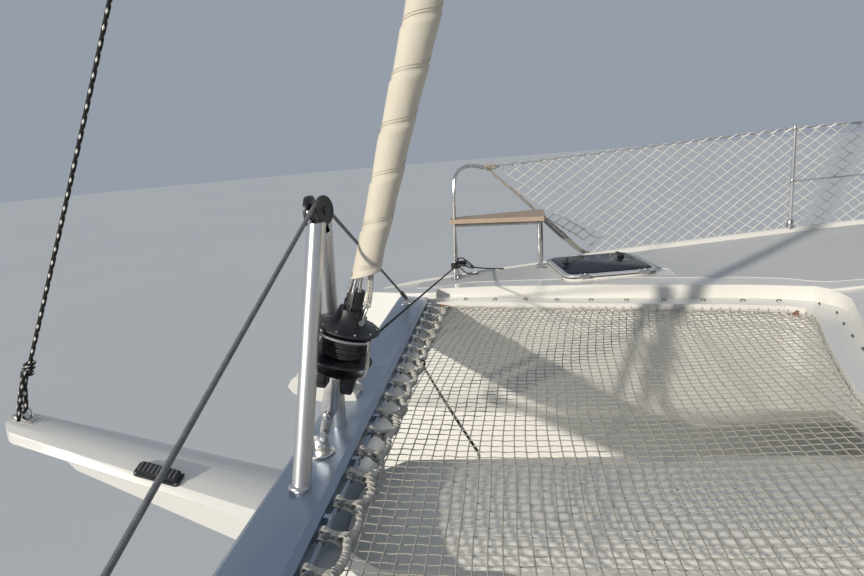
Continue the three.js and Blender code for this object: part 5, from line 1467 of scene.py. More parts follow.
# A tail of flecked line made fast to the hem and knotted into the net further aft
def make_net_line():
    line = Shape()
    ahead, astern = np.array([5.152, -0.925, NET_Z - 0.008]), np.array([4.862, -0.13, NET_Z - 0.018])
    route = resampled([ahead, astern], 0.03)
    route[:, 2] -= 0.006 * np.sin(np.linspace(0, math.pi, len(route)))
    line.sweep(route, 0.0052, 7)
    for k in range(3):
        ring = [ahead + (0.01 * math.cos(t), 0.006 * k, 0.01 + 0.014 * math.sin(t))
                for t in np.linspace(0, 6.1, 11)]
        line.sweep(ring, 0.0046, 6)
    line.sweep(smooth_line([astern, astern + (-0.003, 0.006, -0.006), astern + (-0.002, 0.004, -0.022)], 4),
               0.005, 7)
    piece("net_line", line, "flecked_rope", sharp=180)


# A ribbed rope clutch on the sprit's port slope
SPRIT_RISE = (0.654, 0, 0.199)


def make_sprit_clutch():
    clutch = Shape()
    slope = unit((0, 0.38, 1.0))
    along = unit(SPRIT_RISE)
    across = unit(np.cross(slope, along))
    up = np.cross(along, across)
    middle = np.array([5.851, 0.088, 1.4])
    surface = drop("bowsprit", middle[0], middle[1], 2.0)
    middle[2] = surface + 0.004
    frame_at = frame_of(along, across, up, middle)
    clutch.plate(rectangle(-0.075, 0.075, -0.026, 0.026, 0.012), 0.012,
                 frame_at @ Matrix.Translation((0, 0, -0.004)), 0.003)
    clutch.plate(rounded([(-0.068, -0.02), (0.06, -0.02), (0.068, 0.0), (0.06, 0.02), (-0.068, 0.02)], 0.01),
                 0.016, frame_at @ Matrix.Translation((0, 0, 0.007)), 0.005)
    for k in range(9):
        rib = frame_at @ Matrix.Translation((-0.056 + 0.014 * k, 0, 0.022))
        clutch.plate(rectangle(-0.0035, 0.0035, -0.016, 0.016, 0.002), 0.003,
                     rib, 0.001, part=1)
    for a, b in ((-0.066, -0.021), (0.066, -0.021), (-0.066, 0.021), (0.066, 0.021)):
        spot = frame_at @ Vector((a, b, 0.007))
        clutch.lathe([(0.0045, 0), (0.0045, 0.0015), (0.0025, 0.0025)], spot, up, 8, part=2)
    piece("sprit_clutch", clutch, ["black_plastic", "grey_rope", "stainless"],
          replaces=["sprit_block"])


for deck_side in BOTH:
    make_bow_hatch(deck_side)
    make_pulpit_gear(deck_side)
make_furling_line()
make_net_line()
make_sprit_clutch()


# The mainsail flaked in its bag on the boom: side panels that bulge over the folds, shut by a zip
BOOM_Z, BOOM_FOOT = 3.72, 3.8155
SLEEVE = 0.66  # how far round the bag's section its sleeve lies
BAG_ROWS = np.array([
    (0.648, 0.105, 0.62), (0.138, 0.172, 0.59), (-0.9, 0.167, 0.48), (-2.6, 0.137, 0.37),
    (-3.7, 0.088, 0.23),
])
BAG_SECTION = np.array([
    (0.0, 0.012), (0.3, 0.004), (0.62, 0.06), (0.93, 0.2), (0.99, 0.34), (0.93, 0.52), (0.8, 0.7),
    (0.66, 0.8), (0.4, 0.9), (0.16, 0.975), (0.0, 0.99),
])


def bag_size(x):
    """Half width and height of the bag at x."""
    return tuple(np.interp(x, BAG_ROWS[::-1, 0], BAG_ROWS[::-1, k]) for k in (1, 2))


def bag_point(x, share):
    """A point on the bag's port side, by how far round its section it is: 0 at the boom, 1 at the zip."""
    half, high = bag_size(x)
    t = share * (len(BAG_SECTION) - 1)
    across = np.interp(t, range(len(BAG_SECTION)), BAG_SECTION[:, 0])
    rise = np.interp(t, range(len(BAG_SECTION)), BAG_SECTION[:, 1])
    return np.array([x, half * across, BOOM_FOOT + high * rise])


def bag_folds(x, share, way):
    """How far the bag's cloth stands in or out of its even shape."""
    folds = 0.01 * math.sin(share * 21 + 1.3 * math.sin(x * 1.9 + way)) * math.sin(math.pi * share) ** 0.5
    hang = math.sin(7.3 * x + 5 * share + way) + 0.6 * math.sin(17.1 * x - 4 * share + 2 * way)
    return folds + 0.0055 * hang * math.sin(math.pi * min(1, share * 1.15))


def make_sail_bag():
    xs = np.arange(0.648, -3.701, -0.028)
    shares = np.linspace(0, 1, 30)
    rings = []
    for x in xs:
        high = bag_size(x)[1]
        ring = []
        for way in (1, -1):
            side = []
            for share in shares[1:-1] if way < 0 else shares:
                at = bag_point(x, share)
                middle = np.array([x, 0, BOOM_FOOT + high * 0.45])
                out = unit(at - middle + (0, 1e-6, 0))
                ends = min(1.0, (xs[0] - x) / 0.15 + 0.2, (x - xs[-1]) / 0.15 + 0.2)
                at = at + out * bag_folds(x, share, way) * ends - out * 0.006
                at[2] = max(at[2], BOOM_FOOT + 0.001)
                side.append((at[0], at[1] * way, at[2]))
            ring += side if way > 0 else side[::-1]
        rings.append(ring)
    tips = []
    for ring, push in ((rings[0], 0.028), (rings[-1], -0.03)):
        middle = np.mean(ring, 0)
        tips.append([middle + (np.array(p) - middle) * 0.6 + (push * 0.8, 0, 0) for p in ring])
    bag = Shape().loft([tips[0], *rings, tips[1]])
    made = piece("sail_bag", bag, "bag_cloth", body="boom_and_bag",
                 replaces=["mainsail_bag"], sharp=60)

    trim = Shape()
    for way in (1, -1):
        sleeve = [bag_point(x, SLEEVE) * (1, way, 1) + (0, way * 0.004, 0.004)
                  for x in np.arange(0.6, -3.66, -0.05)]
        trim.sweep(sleeve, 0.013, 10)
        hem = [bag_point(x, 0.13) * (1, way, 1) + (0, way * 0.003, 0) for x in np.arange(0.62, -3.68, -0.05)]
        trim.sweep(hem, 0.006, 8)
        for x in np.arange(0.35, -3.5, -0.62):
            for lift in (-0.018, 0.018):
                shares = np.linspace(0.14, 0.64, 14)
                panel = [bag_point(x + lift * 0.05, share) * (1, way, 1) for share in shares]
                panel = [p + unit(p - (p[0], 0, BOOM_FOOT + 0.2)) * (bag_folds(x, share, way) - 0.0035)
                         for p, share in zip(panel, shares)]
                trim.sweep(np.array(panel) + (lift * 0.12, 0, 0), 0.0018, 4)
    piece("bag_seams", trim, "bag_cloth", body="boom_and_bag", sharp=60)

    zip_line = Shape()
    ridge = [(x, 0.002 * math.sin(9 * x), bag_point(x, 1.0)[2] + 0.006 + bag_folds(x, 0.999, 1)) for x in
             np.arange(0.62, -3.68, -0.03)]
    zip_line.sweep(ridge, 0.017, 8, flat=0.32, up=UP)
    teeth = np.array(ridge) + (0, 0, 0.0055)
    for at in resampled(teeth, 0.012):
        zip_line.block(at + (-0.0024, -0.0042, -0.0016), at + (0.0024, 0.0042, 0.0016), 0.0008, part=1,
                       segments=1)
    for x in np.arange(0.1, -3.6, -0.72):
        under = [(x, 0.069 * math.sin(t), BOOM_Z - 0.103 * math.cos(t))
                 for t in np.linspace(-2.25, 2.25, 22)]
        zip_line.sweep(under, 0.002, 6, flat=8.0, up=(1, 0, 0), part=2)
        for way in (1, -1):
            patch = [bag_point(x, share) * (1, way, 1) for share in np.linspace(0.02, 0.3, 8)]
            patch = [p + unit(p - (p[0], 0, BOOM_FOOT + 0.2)) * 0.002 for p in patch]
            zip_line.sweep(patch, 0.0022, 6, flat=7.0, up=(1, 0, 0), part=2)
            zip_line.block((x - 0.018, way * 0.064 - 0.006, BOOM_Z + 0.035),
                           (x + 0.018, way * 0.064 + 0.006, BOOM_Z + 0.06), 0.002, part=1)
    piece("bag_zip_and_straps", zip_line, ["webbing", "black_plastic", "webbing"], body="boom_and_bag",
          sharp=50)


# Over the boom: lazy jacks and a topping lift; round it: reefing lines, sheaves, bails and collars
LAZY_TOP, LAZY_FORK = np.array([0.742, 0.085, 9.38]), np.array([-0.95, 0.165, 6.35])
LAZY_FEET = (0.05, -1.35, -2.75)


def make_boom_gear():
    lines, upper = Shape(), Shape()
    for way in (1, -1):
        mirrored = np.array([1, way, 1])
        fork = LAZY_FORK * mirrored
        upper.sweep(resampled([LAZY_TOP * mirrored, fork], 0.12), 0.0035, 6)
        front, middle, aft = (bag_point(x, SLEEVE) * mirrored for x in LAZY_FEET)
        lower = (fork + middle) / 2 + (-0.25, 0, -0.3)
        for a, b in ((fork, front), (fork, lower), (lower, middle), (lower, aft)):
            b = b + (0, way * 0.004, 0.008 if b is not lower else 0)
            lines.sweep(resampled([a, b], 0.3), 0.003, 6)
            for turn in range(3):
                ring = [b + (0.009 * math.cos(t), 0.004 * math.cos(t),
                             0.012 + 0.008 * turn + 0.008 * math.sin(t)) for t in np.linspace(0, 6, 9)]
                lines.sweep(ring, 0.0026, 5)
        for at in (fork, lower):
            for dy in (-0.009, 0.009):
                lines.sweep([at + (0, dy, -0.02), at + (0, dy * 1.5, 0), at + (0, dy, 0.02)], 0.0045, 6,
                            part=1)
            lines.lathe([(0.011, -0.005), (0.013, -0.004), (0.009, 0), (0.013, 0.004), (0.011, 0.005)], at,
                        (0, 1, 0), 14, part=1)
    piece("lazy_jacks", lines, ["white_rope", "black_plastic"], body="boom_and_bag",
          sharp=60)
    made = piece("lazy_jack_legs", upper, "white_rope", body=None, sharp=60)
    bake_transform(made)

    lift = Shape()
    lift.sweep(resampled([(0.7, 0, 16.93), (-3.93, 0, 3.83)], 0.5), 0.0038, 6)
    lift.sweep([(-3.93, 0, 3.8), (-3.93, 0, 3.83), (-3.925, 0, 3.85)], 0.007, 8, part=1)
    for way in (1, -1):
        reef = [(-3.985, way * 0.018, 3.69), (-3.99, way * 0.02, 3.74), (-3.95, way * 0.03, 3.8),
                (-3.84, way * 0.045, 3.88), (-3.7, way * 0.055, 3.965)]
        lift.sweep(smooth_line(reef, 5), 0.0052, 7, part=2)
        run = [(-3.9, way * 0.024, 3.622), (-2.4, way * 0.03, 3.621), (-0.8, way * 0.03, 3.62),
               (0.3, way * 0.034, 3.62), (0.6, way * 0.045, 3.6), (0.67, way * 0.052, 3.48),
               (0.72, way * 0.052, 3.2), (0.735, way * 0.05, 2.945)]
        lift.sweep(smooth_line(run, 8), 0.0045, 7, part=2)
    for x in (-3.95, -3.99):
        lift.lathe([(0.024, -0.03), (0.03, -0.028), (0.03, -0.02), (0.022, -0.013), (0.03, -0.005),
                    (0.03, 0.005), (0.022, 0.013), (0.03, 0.02), (0.03, 0.028), (0.024, 0.03)], (x, 0, 3.7),
                   (0, 1, 0), 20, part=3)
    lift.sweep([(-3.97, -0.036, 3.7), (-3.97, 0.036, 3.7)], 0.006, 10, part=1)
    for x in (-3.22, -3.36):
        bail = [(x, 0.062, 3.715), (x, 0.063, 3.66), (x, 0.045, 3.612), (x, 0.0, 3.596), (x, -0.045, 3.612),
                (x, -0.063, 3.66), (x, -0.062, 3.715)]
        lift.sweep(smooth_line(bail, 5), 0.0045, 8, part=1)
        for way in (1, -1):
            lift.lathe([(0.013, -0.002), (0.013, 0.004), (0.007, 0.007)], (x, way * 0.058, 3.715),
                       (0, way, 0), 14, part=1)
    for x in (0.55, -3.86):
        collar = [(x, 0.0615 * math.sin(t), BOOM_Z - 0.0965 * math.cos(t)) for t in spins(32)]
        lift.sweep(collar, 0.003, 6, closed=True, flat=4.5, up=(1, 0, 0), part=3)
    for x in (0.4, 0.3):
        lift.block((x - 0.03, -0.02, 3.606), (x + 0.03, 0.02, 3.628), 0.004, part=3)
    piece("boom_fittings", lift, ["white_rope", "stainless", "flecked_rope", "black_plastic"],
          body="boom_and_bag", sharp=50)


# The mainsheet: a tackle between the boom's bails and a car on the hardtop's traveller
HARD_TOP = 2.8402
SHEET_X, TRAVELLER_Z = -3.29, 2.842


def make_mainsheet():
    rope = Shape()
    low, top = np.array([SHEET_X, 0, TRAVELLER_Z + 0.105]), np.array([SHEET_X, 0, 3.552])
    for k in range(4):
        spin = k * QUARTER_TURN + 0.4
        shift = np.array([0.022 * math.cos(spin), 0.022 * math.sin(spin), 0])
        rope.sweep(resampled([low + shift, top + shift * 0.9], 0.03), 0.0052, 8)
    made = piece("mainsheet", rope, "flecked_rope", body=None, sharp=180)
    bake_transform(made)

    upper = Shape()
    for dx in (-0.02, 0.02):
        block_at(upper, top + (dx, 0, 0.005), UP)
    upper.sweep([(-3.36, 0, 3.59), (-3.3, 0, 3.592), (-3.22, 0, 3.59)], 0.006, 8, part=1)
    piece("mainsheet_upper_blocks", upper, ["black_plastic", "stainless"], body="boom_and_bag")

    rail = Shape()
    track = [(-0.016, 0.0), (0.016, 0.0), (0.016, 0.007), (0.006, 0.011), (0.014, 0.019), (0.012, 0.026),
             (-0.012, 0.026), (-0.014, 0.019), (-0.006, 0.011), (-0.016, 0.007)]
    rail.loft([[(SHEET_X + a, y, TRAVELLER_Z - 0.003 + b) for a, b in track] for y in (-1.55, 1.55)])
    for y in (-1.56, 1.56):
        rail.block((SHEET_X - 0.026, y - 0.02, TRAVELLER_Z - 0.004),
                   (SHEET_X + 0.026, y + 0.02, TRAVELLER_Z + 0.038), 0.006, part=1)
        block_at(rail, np.array([SHEET_X + 0.03, y * 0.965, TRAVELLER_Z + 0.036]), (0, y, 0.2), 0.022,
                 part=1)
    for y in np.arange(-1.5, 1.51, 0.15):
        rail.lathe([(0.0045, 0), (0.0045, 0.002), (0.0025, 0.003)], (SHEET_X, y, TRAVELLER_Z + 0.022), UP,
                   8, part=2)
    rail.block((SHEET_X - 0.034, -0.075, TRAVELLER_Z + 0.012),
               (SHEET_X + 0.034, 0.075, TRAVELLER_Z + 0.046), 0.008, part=1)
    rail.sweep([(SHEET_X, -0.03, TRAVELLER_Z + 0.045), (SHEET_X, -0.02, TRAVELLER_Z + 0.066),
                (SHEET_X, 0.02, TRAVELLER_Z + 0.066), (SHEET_X, 0.03, TRAVELLER_Z + 0.045)], 0.005, 8,
               part=2)
    for dx in (-0.02, 0.02):
        block_at(rail, low + (dx, 0, -0.005), DOWN, part=1)
    for way in (1, -1):
        x = SHEET_X + 0.03
        pull = [(x, way * 0.06, TRAVELLER_Z + 0.038), (x, way * 1.49, TRAVELLER_Z + 0.052),
                (x, way * 1.51, TRAVELLER_Z + 0.022), (SHEET_X + 0.04, way * 0.3, TRAVELLER_Z + 0.012)]
        rail.sweep(resampled(pull, 0.12), 0.0042, 6, part=3)
    piece("traveller", rail, ["anodised_beam", "black_plastic", "stainless", "white_rope"])


# What is fitted to the mast: sail track, halyards, winch, lights and head gear
MAST_X, MAST_LONG, MAST_WIDE = 0.895, 0.105, 0.065


def make_mast_gear():
    mast = Shape()
    track = [(0.0, -0.014), (0.0, 0.014), (-0.006, 0.016), (-0.01, 0.012), (-0.01, -0.012), (-0.006, -0.016)]
    mast.loft([[(0.7915 + a, b, z) for a, b in track] for z in (3.88, 16.9)])
    for z in np.arange(3.93, 4.4, 0.052):
        mast.block((0.752, -0.016, z), (0.783, 0.016, z + 0.034), 0.005, part=1)
    for way in (1, -1):
        for x, z in ((0.93, 4.75), (0.88, 4.35), (0.98, 4.05)):
            y = way * MAST_WIDE * math.sqrt(max(0, 1 - ((x - MAST_X) / MAST_LONG) ** 2))
            mast.block((x - 0.014, y - 0.004, z - 0.055), (x + 0.014, y + 0.004, z + 0.055), 0.003, part=1)
            foot = np.array([x + 0.05, way * 0.15, 2.93])
            line = [(x, y + way * 0.002, z + 0.02), (x, y + way * 0.01, z - 0.05),
                    (x + 0.03, way * 0.12, 3.3), tuple(foot)]
            mast.sweep(resampled(smooth_line(line, 6), 0.08), 0.0045, 6, part=2)
            block_at(mast, foot + (0, 0, -0.022), DOWN, 0.026, part=1)
            mast.sweep([foot + (0, 0, -0.05), foot + (0, 0, -0.085)], 0.006, 8, part=3)
        mast.sweep([(0.82, way * 0.055, 9.36), (0.75, way * 0.082, 9.375), (0.745, way * 0.084, 9.37)],
                   0.004, 6, part=3)
        mast.lathe([(0.028, 0), (0.03, 0.006), (0.03, 0.04), (0.022, 0.05), (0.02, 0.075), (0.029, 0.085),
                    (0.029, 0.095), (0.012, 0.1)], (MAST_X, way * 0.066, 3.45), (0, way, 0), 24, part=3)
        mast.block((0.865, way * 0.062 - 0.008, 3.4), (0.925, way * 0.062 + 0.008, 3.5), 0.004, part=3)
    for z, grow in ((2.889, 0.033), (14.6, 0.002), (9.33, 0.002)):
        band = [(MAST_X + (MAST_LONG + grow) * math.cos(t), (MAST_WIDE + grow) * math.sin(t), z)
                for t in spins(40)]
        mast.sweep(band, 0.0035, 6, closed=True, flat=4.0, up=UP, part=3)
    mast.lathe([(0.02, 0), (0.024, 0.004), (0.024, 0.02), (0.018, 0.022)], (1.028, 0, 9.62), UP, 20, part=1)
    mast.lathe([(0.021, 0), (0.022, 0.01), (0.021, 0.045), (0.012, 0.052)], (1.028, 0, 9.642), UP, 20,
               part=4)
    mast.block((0.995, -0.01, 9.618), (1.03, 0.01, 9.632), 0.003, part=3)
    mast.block((1.0, -0.03, 9.52), (1.045, 0.03, 9.585), 0.01, part=1)
    mast.lathe([(0.03, 0), (0.031, 0.004), (0.0, 0.006)], (1.045, 0, 9.552), (1, 0, -0.2), 20, part=4)
    piece("mast_fittings", mast, ["satin_tube", "black_plastic", "white_rope", "stainless", "lamp_lens"],
          sharp=50)

    head = Shape()
    for x in (0.662, 1.058):
        head.lathe([(0.022, -0.018), (0.03, -0.016), (0.03, -0.008), (0.02, 0), (0.03, 0.008), (0.03, 0.016),
                    (0.022, 0.018)], (x, 0, 16.945), (0, 1, 0), 20)
        head.sweep([(x, -0.03, 16.945), (x, 0.03, 16.945)], 0.006, 10, part=1)
    head.lathe([(0.024, 0), (0.026, 0.003), (0.026, 0.012), (0.022, 0.014), (0.022, 0.036), (0.014, 0.042)],
               (0.96, 0.06, 16.955), UP, 20, part=2)
    head.block((0.93, 0.02, 16.95), (0.99, 0.085, 16.957), 0.002, part=1)
    head.sweep([(1.05, -0.018, 16.985), (1.3, -0.018, 16.985), (1.33, -0.018, 16.978)], 0.0045, 8, part=1)
    x, y = 1.18, -0.018
    head.sweep([(x, y, 16.985), (x, y, 16.955), (x, y, 16.93)], 0.003, 6, part=1)
    for k in range(3):
        ahead, left = math.cos(k * THIRD_TURN), math.sin(k * THIRD_TURN)
        cup = np.array([x + 0.045 * ahead, y + 0.045 * left, 16.925])
        head.sweep([(x, y, 16.925), tuple(cup)], 0.002, 5, part=0)
        head.lathe([(0.002, -0.016), (0.01, -0.01), (0.014, 0.0), (0.0125, 0.0), (0.008, -0.008)], cup,
                   (-left, ahead, 0), 14)
    vane = [(0, -0.006), (0.11, -0.002), (0.15, -0.026), (0.15, 0.026), (0.11, 0.004), (0, 0.008)]
    head.loft([[(1.24 + x, y, 16.958 + z) for x, z in rounded(vane, 0.004)] for y in (-0.017, -0.0185)])
    piece("masthead_gear", head, ["black_plastic", "stainless", "lamp_lens"])


# Turnbuckles and pins at the shrouds' feet, and flanges under every stanchion
def make_rig_feet(side):
    gear = Shape()
    plate = sided(side, [(0.295, 3.11, 1.61)])[0]
    for start, way, upper in (((0, 0, 0), (0.265, -1.96, 7.68), 0.44),
                              ((0.03, 0, 0), (0.57, -3.025, 7.4), 0.4)):
        way = unit(sided(side, [way])[0])
        foot = plate + np.array(start)
        gear.lathe([(0.0125, 0.03), (0.015, 0.035), (0.015, 0.05), (0.0165, 0.06), (0.0165, upper - 0.12),
                    (0.0145, upper - 0.11), (0.0095, upper - 0.1), (0.0095, upper - 0.02),
                    (0.0115, upper - 0.015), (0.0115, upper + 0.06), (0.0085, upper + 0.075)], foot, way, 20)
        across = unit(np.cross(way, (1, 0, 0)))
        for shift in (-0.011, 0.011):
            cheek_at = frame_of((1, 0, 0), way, across, foot + across * shift - (0, 0.0025, 0))
            gear.plate(rectangle(-0.013, 0.013, -0.018, 0.045, 0.01), 0.005, cheek_at, 0.001)
        gear.sweep([foot - across * 0.02, foot + across * 0.02], 0.0065, 12)
        ring = [foot + across * 0.018 + (0.008 * math.cos(t), 0, 0.008 * math.sin(t))
                for t in np.linspace(0, 5.5, 12)]
        gear.sweep(ring, 0.0012, 5)
    gear.block(plate + (-0.055, -0.022, -0.062), plate + (0.055, 0.022, -0.054), 0.003)
    for dx in (-0.042, 0.0, 0.042):
        gear.lathe([(0.006, 0), (0.006, 0.003), (0.003, 0.004)], plate + (dx, -0.015 * WAY[side], -0.054),
                   UP, 8)
    for x in POSTS:
        y = deck_edge(x) - POST_INSET
        foot = sided(side, [(x, y, deck_z(x, y) + 0.03)])[0]
        gear.lathe([(0.026, -0.022), (0.0265, 0.004), (0.026, 0.006), (0.036, 0.008), (0.0215, 0.01),
                    (0.0208, 0.058), (0.0175, 0.062), (0.0135, 0.064)], foot, UP, 24)
        for rise in (POST_HEIGHT / 2, POST_HEIGHT):
            gear.lathe([(0.0135, -0.012), (0.0148, -0.01), (0.0148, 0.01), (0.0135, 0.012)],
                       foot + (0, 0, rise - 0.03), UP, 16)
        gear.lathe([(0.0135, 0), (0.014, 0.006), (0.011, 0.012), (0.002, 0.014)],
                   foot + (0, 0, POST_HEIGHT - 0.022), UP, 16)
    piece(f"rig_and_rail_feet_{side}", gear, "stainless", sharp=45)


make_sail_bag()
make_boom_gear()
make_mainsheet()
make_mast_gear()
for deck_side in BOTH:
    make_rig_feet(deck_side)


# Lines from the mast's foot aft over the roof to clutches and winches beside the helm
ROOF_Z = 2.855


def winch(shape, foot, size=1.0, part=0):
    """A sheet winch standing on its foot."""
    pairs = [(0.068, 0), (0.07, 0.006), (0.064, 0.022), (0.05, 0.03), (0.046, 0.06), (0.047, 0.09),
             (0.058, 0.104), (0.06, 0.112), (0.05, 0.118), (0.053, 0.132), (0.05, 0.14), (0.018, 0.143),
             (0.016, 0.138)]
    shape.lathe([(r * size, h * size) for r, h in pairs], foot, UP, 40, part)
    for k in range(12):
        turn = k * math.pi / 6
        a = foot + np.array([0.047 * size * math.cos(turn), 0.047 * size * math.sin(turn), 0.036 * size])
        shape.sweep([a, a + np.array([0, 0, 0.058 * size])], 0.0022, 6, part=part)


def make_roof_lines():
    lines = Shape()
    ends = [(-1.86, -1.2 - 0.055 * k) for k in range(6)]
    starts = [(0.98, -0.15, 2.888), (0.93, -0.15, 2.888), (1.03, -0.15, 2.888), (0.735, -0.05, 2.9),
              (0.98, 0.15, 2.888), (0.93, 0.15, 2.888)]
    for k, ((x, y), start) in enumerate(zip(ends, starts)):
        turn = (0.45 - 0.02 * k, -0.62 - 0.05 * k, ROOF_Z + 0.016)
        aft_of_mast = (0.62, start[1] * 0.6 - 0.16, ROOF_Z + 0.014)
        route = [start, (start[0] - 0.1, start[1] * 0.9 - 0.03, ROOF_Z + 0.014), aft_of_mast, turn,
                 (x + 0.6, y + 0.01, ROOF_Z + 0.016), (x, y, ROOF_Z + 0.022)]
        lines.sweep(smooth_line(route, 10), 0.0048, 7, part=k % 2)
    for k in range(6):
        spot = np.array([0.45 - 0.02 * k, -0.62 - 0.05 * k, ROOF_Z])
        lines.lathe([(0.018, 0.006), (0.021, 0.007), (0.015, 0.016), (0.021, 0.025), (0.018, 0.027)], spot,
                    UP, 16, part=2)
    cover = placed((0.4, -0.745, ROOF_Z), math.radians(-68))
    for low in (0.0, 0.028):
        lines.plate(rectangle(-0.2, 0.2, -0.032, 0.032, 0.018), 0.006,
                    cover @ Matrix.Translation((0, 0, low)), 0.002, part=3)
    for k in range(6):
        y = ends[k][1]
        lines.block((-1.99, y - 0.022, ROOF_Z - 0.002), (-1.86, y + 0.022, ROOF_Z + 0.045), 0.006, part=2)
        lever = placed((-1.94, y, ROOF_Z + 0.045), 0.16, "Y")
        lines.plate(rectangle(-0.055, 0.062, -0.014, 0.014, 0.008), 0.009, lever, 0.003,
                    part=2 if k % 2 else 3)
        tail = [(-1.99, y, ROOF_Z + 0.022), (-2.05, y - 0.01, ROOF_Z + 0.012),
                (-2.13, y + 0.012, ROOF_Z + 0.007), (-2.2, y - 0.006 * k, ROOF_Z + 0.006)]
        lines.sweep(smooth_line(tail, 6), 0.0048, 7, part=k % 2)
    for x, y, size in ((-2.1, -1.64, 1.0), (-1.72, -1.66, 0.85)):
        winch(lines, np.array([x, y, ROOF_Z - 0.004]), size, part=3)
    for k in range(3):
        t = spins(24)
        ring = [(-2.1 + 0.054 * math.cos(a), -1.64 + 0.054 * math.sin(a),
                 ROOF_Z + 0.048 + 0.0105 * k + 0.002 * math.sin(a)) for a in t]
        lines.sweep(ring, 0.0052, 7, closed=True, part=1)
    lines.sweep(smooth_line([(-1.99, ends[5][1], ROOF_Z + 0.022), (-2.03, ends[5][1] - 0.02, ROOF_Z + 0.034),
                             (-2.065, -1.594, ROOF_Z + 0.046)], 6), 0.0052, 7, part=1)
    piece("roof_lines_and_winches", lines, ["white_rope", "flecked_rope", "black_plastic", "stainless"],
          sharp=45)

    base = Shape()
    for way in (1, -1):
        block_at(base, np.array([0.735, way * 0.05, 2.912]), DOWN, 0.024)
        for x, y in ((0.98, 0.15), (0.93, 0.15), (1.03, 0.15), (0.735, 0.05)):
            foot = np.array([x, way * y, drop("saloon_roof", x, y, 4.0) or ROOF_Z])
            base.sweep([foot + (0, 0, -0.003), foot + (0, 0, 0.022)], 0.008, 10, part=1)
    piece("mast_foot_blocks", base, ["black_plastic", "stainless"])


# The roof's anti-slip areas, hatches, grab rails and the panels on the hardtop
def make_roof_gear():
    grip = Shape()
    for way in (1, -1):
        corners = [(-2.25, 0.25), (0.4, 0.25), (0.4, 0.95), (-0.2, 1.52), (-2.25, 1.88)]
        if way < 0:
            corners = [(-1.55, -0.25), (0.4, -0.25), (0.4, -0.6), (0.3, -0.95), (-0.2, -1.52),
                       (-1.55, -1.74)]
        outline = rounded(corners, 0.1)
        hatch = rectangle(-0.98, -0.3, *sorted((way * 0.42, way * 1.02)), 0.07)
        draped(grip, outline, [hatch], lambda x, y: drop("saloon_roof", x, y, 4.0) or ROOF_Z, 0.0025, 0.3)
    piece("roof_nonskid", grip, "nonskid")

    roof = Shape()
    for way in (1, -1):
        low, high = (-0.92, min(way * 0.47, way * 0.97)), (-0.36, max(way * 0.47, way * 0.97))
        layers = ((0.022, -0.002, 0.02, 0.07, 0.006, 0), (0.0, 0.018, 0.034, 0.055, 0.006, 1),
                  (-0.03, 0.03, 0.038, 0.04, 0.003, 2))
        for grow, z0, z1, radius, bevel, part in layers:
            roof.plate(rectangle(low[0] - grow, high[0] + grow, low[1] - grow, high[1] + grow, radius),
                       z1 - z0, Matrix.Translation((0, 0, ROOF_Z + z0)), bevel, part)
        for x in (-0.8, -0.48):
            roof.sweep([(x - 0.035, way * 0.455, ROOF_Z + 0.026), (x + 0.035, way * 0.455, ROOF_Z + 0.026)],
                       0.01, 12, part=1)
            roof.lathe([(0.018, 0), (0.019, 0.004), (0.012, 0.01), (0.009, 0.02)],
                       (x, way * 0.91, ROOF_Z + 0.037), UP, 18, part=3)
            roof.block((x - 0.035, way * 0.91 - 0.008, ROOF_Z + 0.048),
                       (x + 0.01, way * 0.91 + 0.008, ROOF_Z + 0.057), 0.004, part=3)
        rail = [(0.3, way * 1.16), (-0.35, way * 1.7), (-1.2, way * 1.93), (-2.15, way * 1.985)]
        path = [(rail[0][0] + 0.05, rail[0][1] - way * 0.03, ROOF_Z - 0.02),
                *[(x, y, ROOF_Z + 0.062) for x, y in rail], (rail[-1][0] - 0.07, rail[-1][1], ROOF_Z - 0.02)]
        roof.sweep(smooth_line(path, 10), 0.0125, 12, part=4)
        for x, y in rail[1:3]:
            foot = drop("saloon_roof", x, y, 4.0) or ROOF_Z
            roof.sweep([(x, y, foot - 0.004), (x, y, ROOF_Z + 0.06)], 0.011, 12, part=4)
        for x, y in (*rail[1:3], path[0][:2], path[-1][:2]):
            foot = drop("saloon_roof", x, y, 4.0) or ROOF_Z
            roof.lathe([(0.03, -0.003), (0.031, 0.003), (0.024, 0.007), (0.013, 0.011)], (x, y, foot), UP,
                       20, part=4)
    piece("roof_hatches_and_rails", roof, ["gelcoat", "hatch_frame", "dark_acrylic", "black_plastic",
                                           "stainless"], sharp=45)

    sun = Shape()
    top = HARD_TOP
    for y0 in (-1.66, -0.82, 0.03, 0.87):
        for x0, x1 in ((-4.36, -3.42), (-3.16, -2.62)):
            y1 = y0 + 0.79
            sun.plate(rectangle(x0, x1, y0, y1, 0.03), 0.004, Matrix.Translation((0, 0, top)), 0.001)
            sun.plate(rectangle(x0 + 0.012, x1 - 0.012, y0 + 0.012, y1 - 0.012, 0.02), 0.002,
                      Matrix.Translation((0, 0, top + 0.0035)), 0.0008, part=1)
            sun.block((x0 + 0.05, (y0 + y1) / 2 - 0.045, top + 0.004),
                      (x0 + 0.12, (y0 + y1) / 2 + 0.045, top + 0.02), 0.005, part=2)
    for way in (1, -1):
        sun.sweep(smooth_line([(-4.47, way * 1.2, 2.768), (-4.475, way * 1.2, 2.735),
                               (-4.475, way * 0.6, 2.735), (-4.47, way * 0.6, 2.768)], 6), 0.01, 10, part=3)
        sun.lathe([(0.045, 0), (0.047, 0.004), (0.045, 0.012), (0.035, 0.014)], (-3.6, way * 0.9, 2.7716),
                  DOWN, 24, part=4)
    sun.lathe([(0.028, 0), (0.03, 0.006), (0.028, 0.03), (0.02, 0.034)], (-4.552, 0, 2.806), (-1, 0, 0), 20,
              part=4)
    piece("hardtop_panels", sun, ["black_plastic", "solar_cells", "black_plastic", "stainless", "lamp_lens"],
          sharp=45)


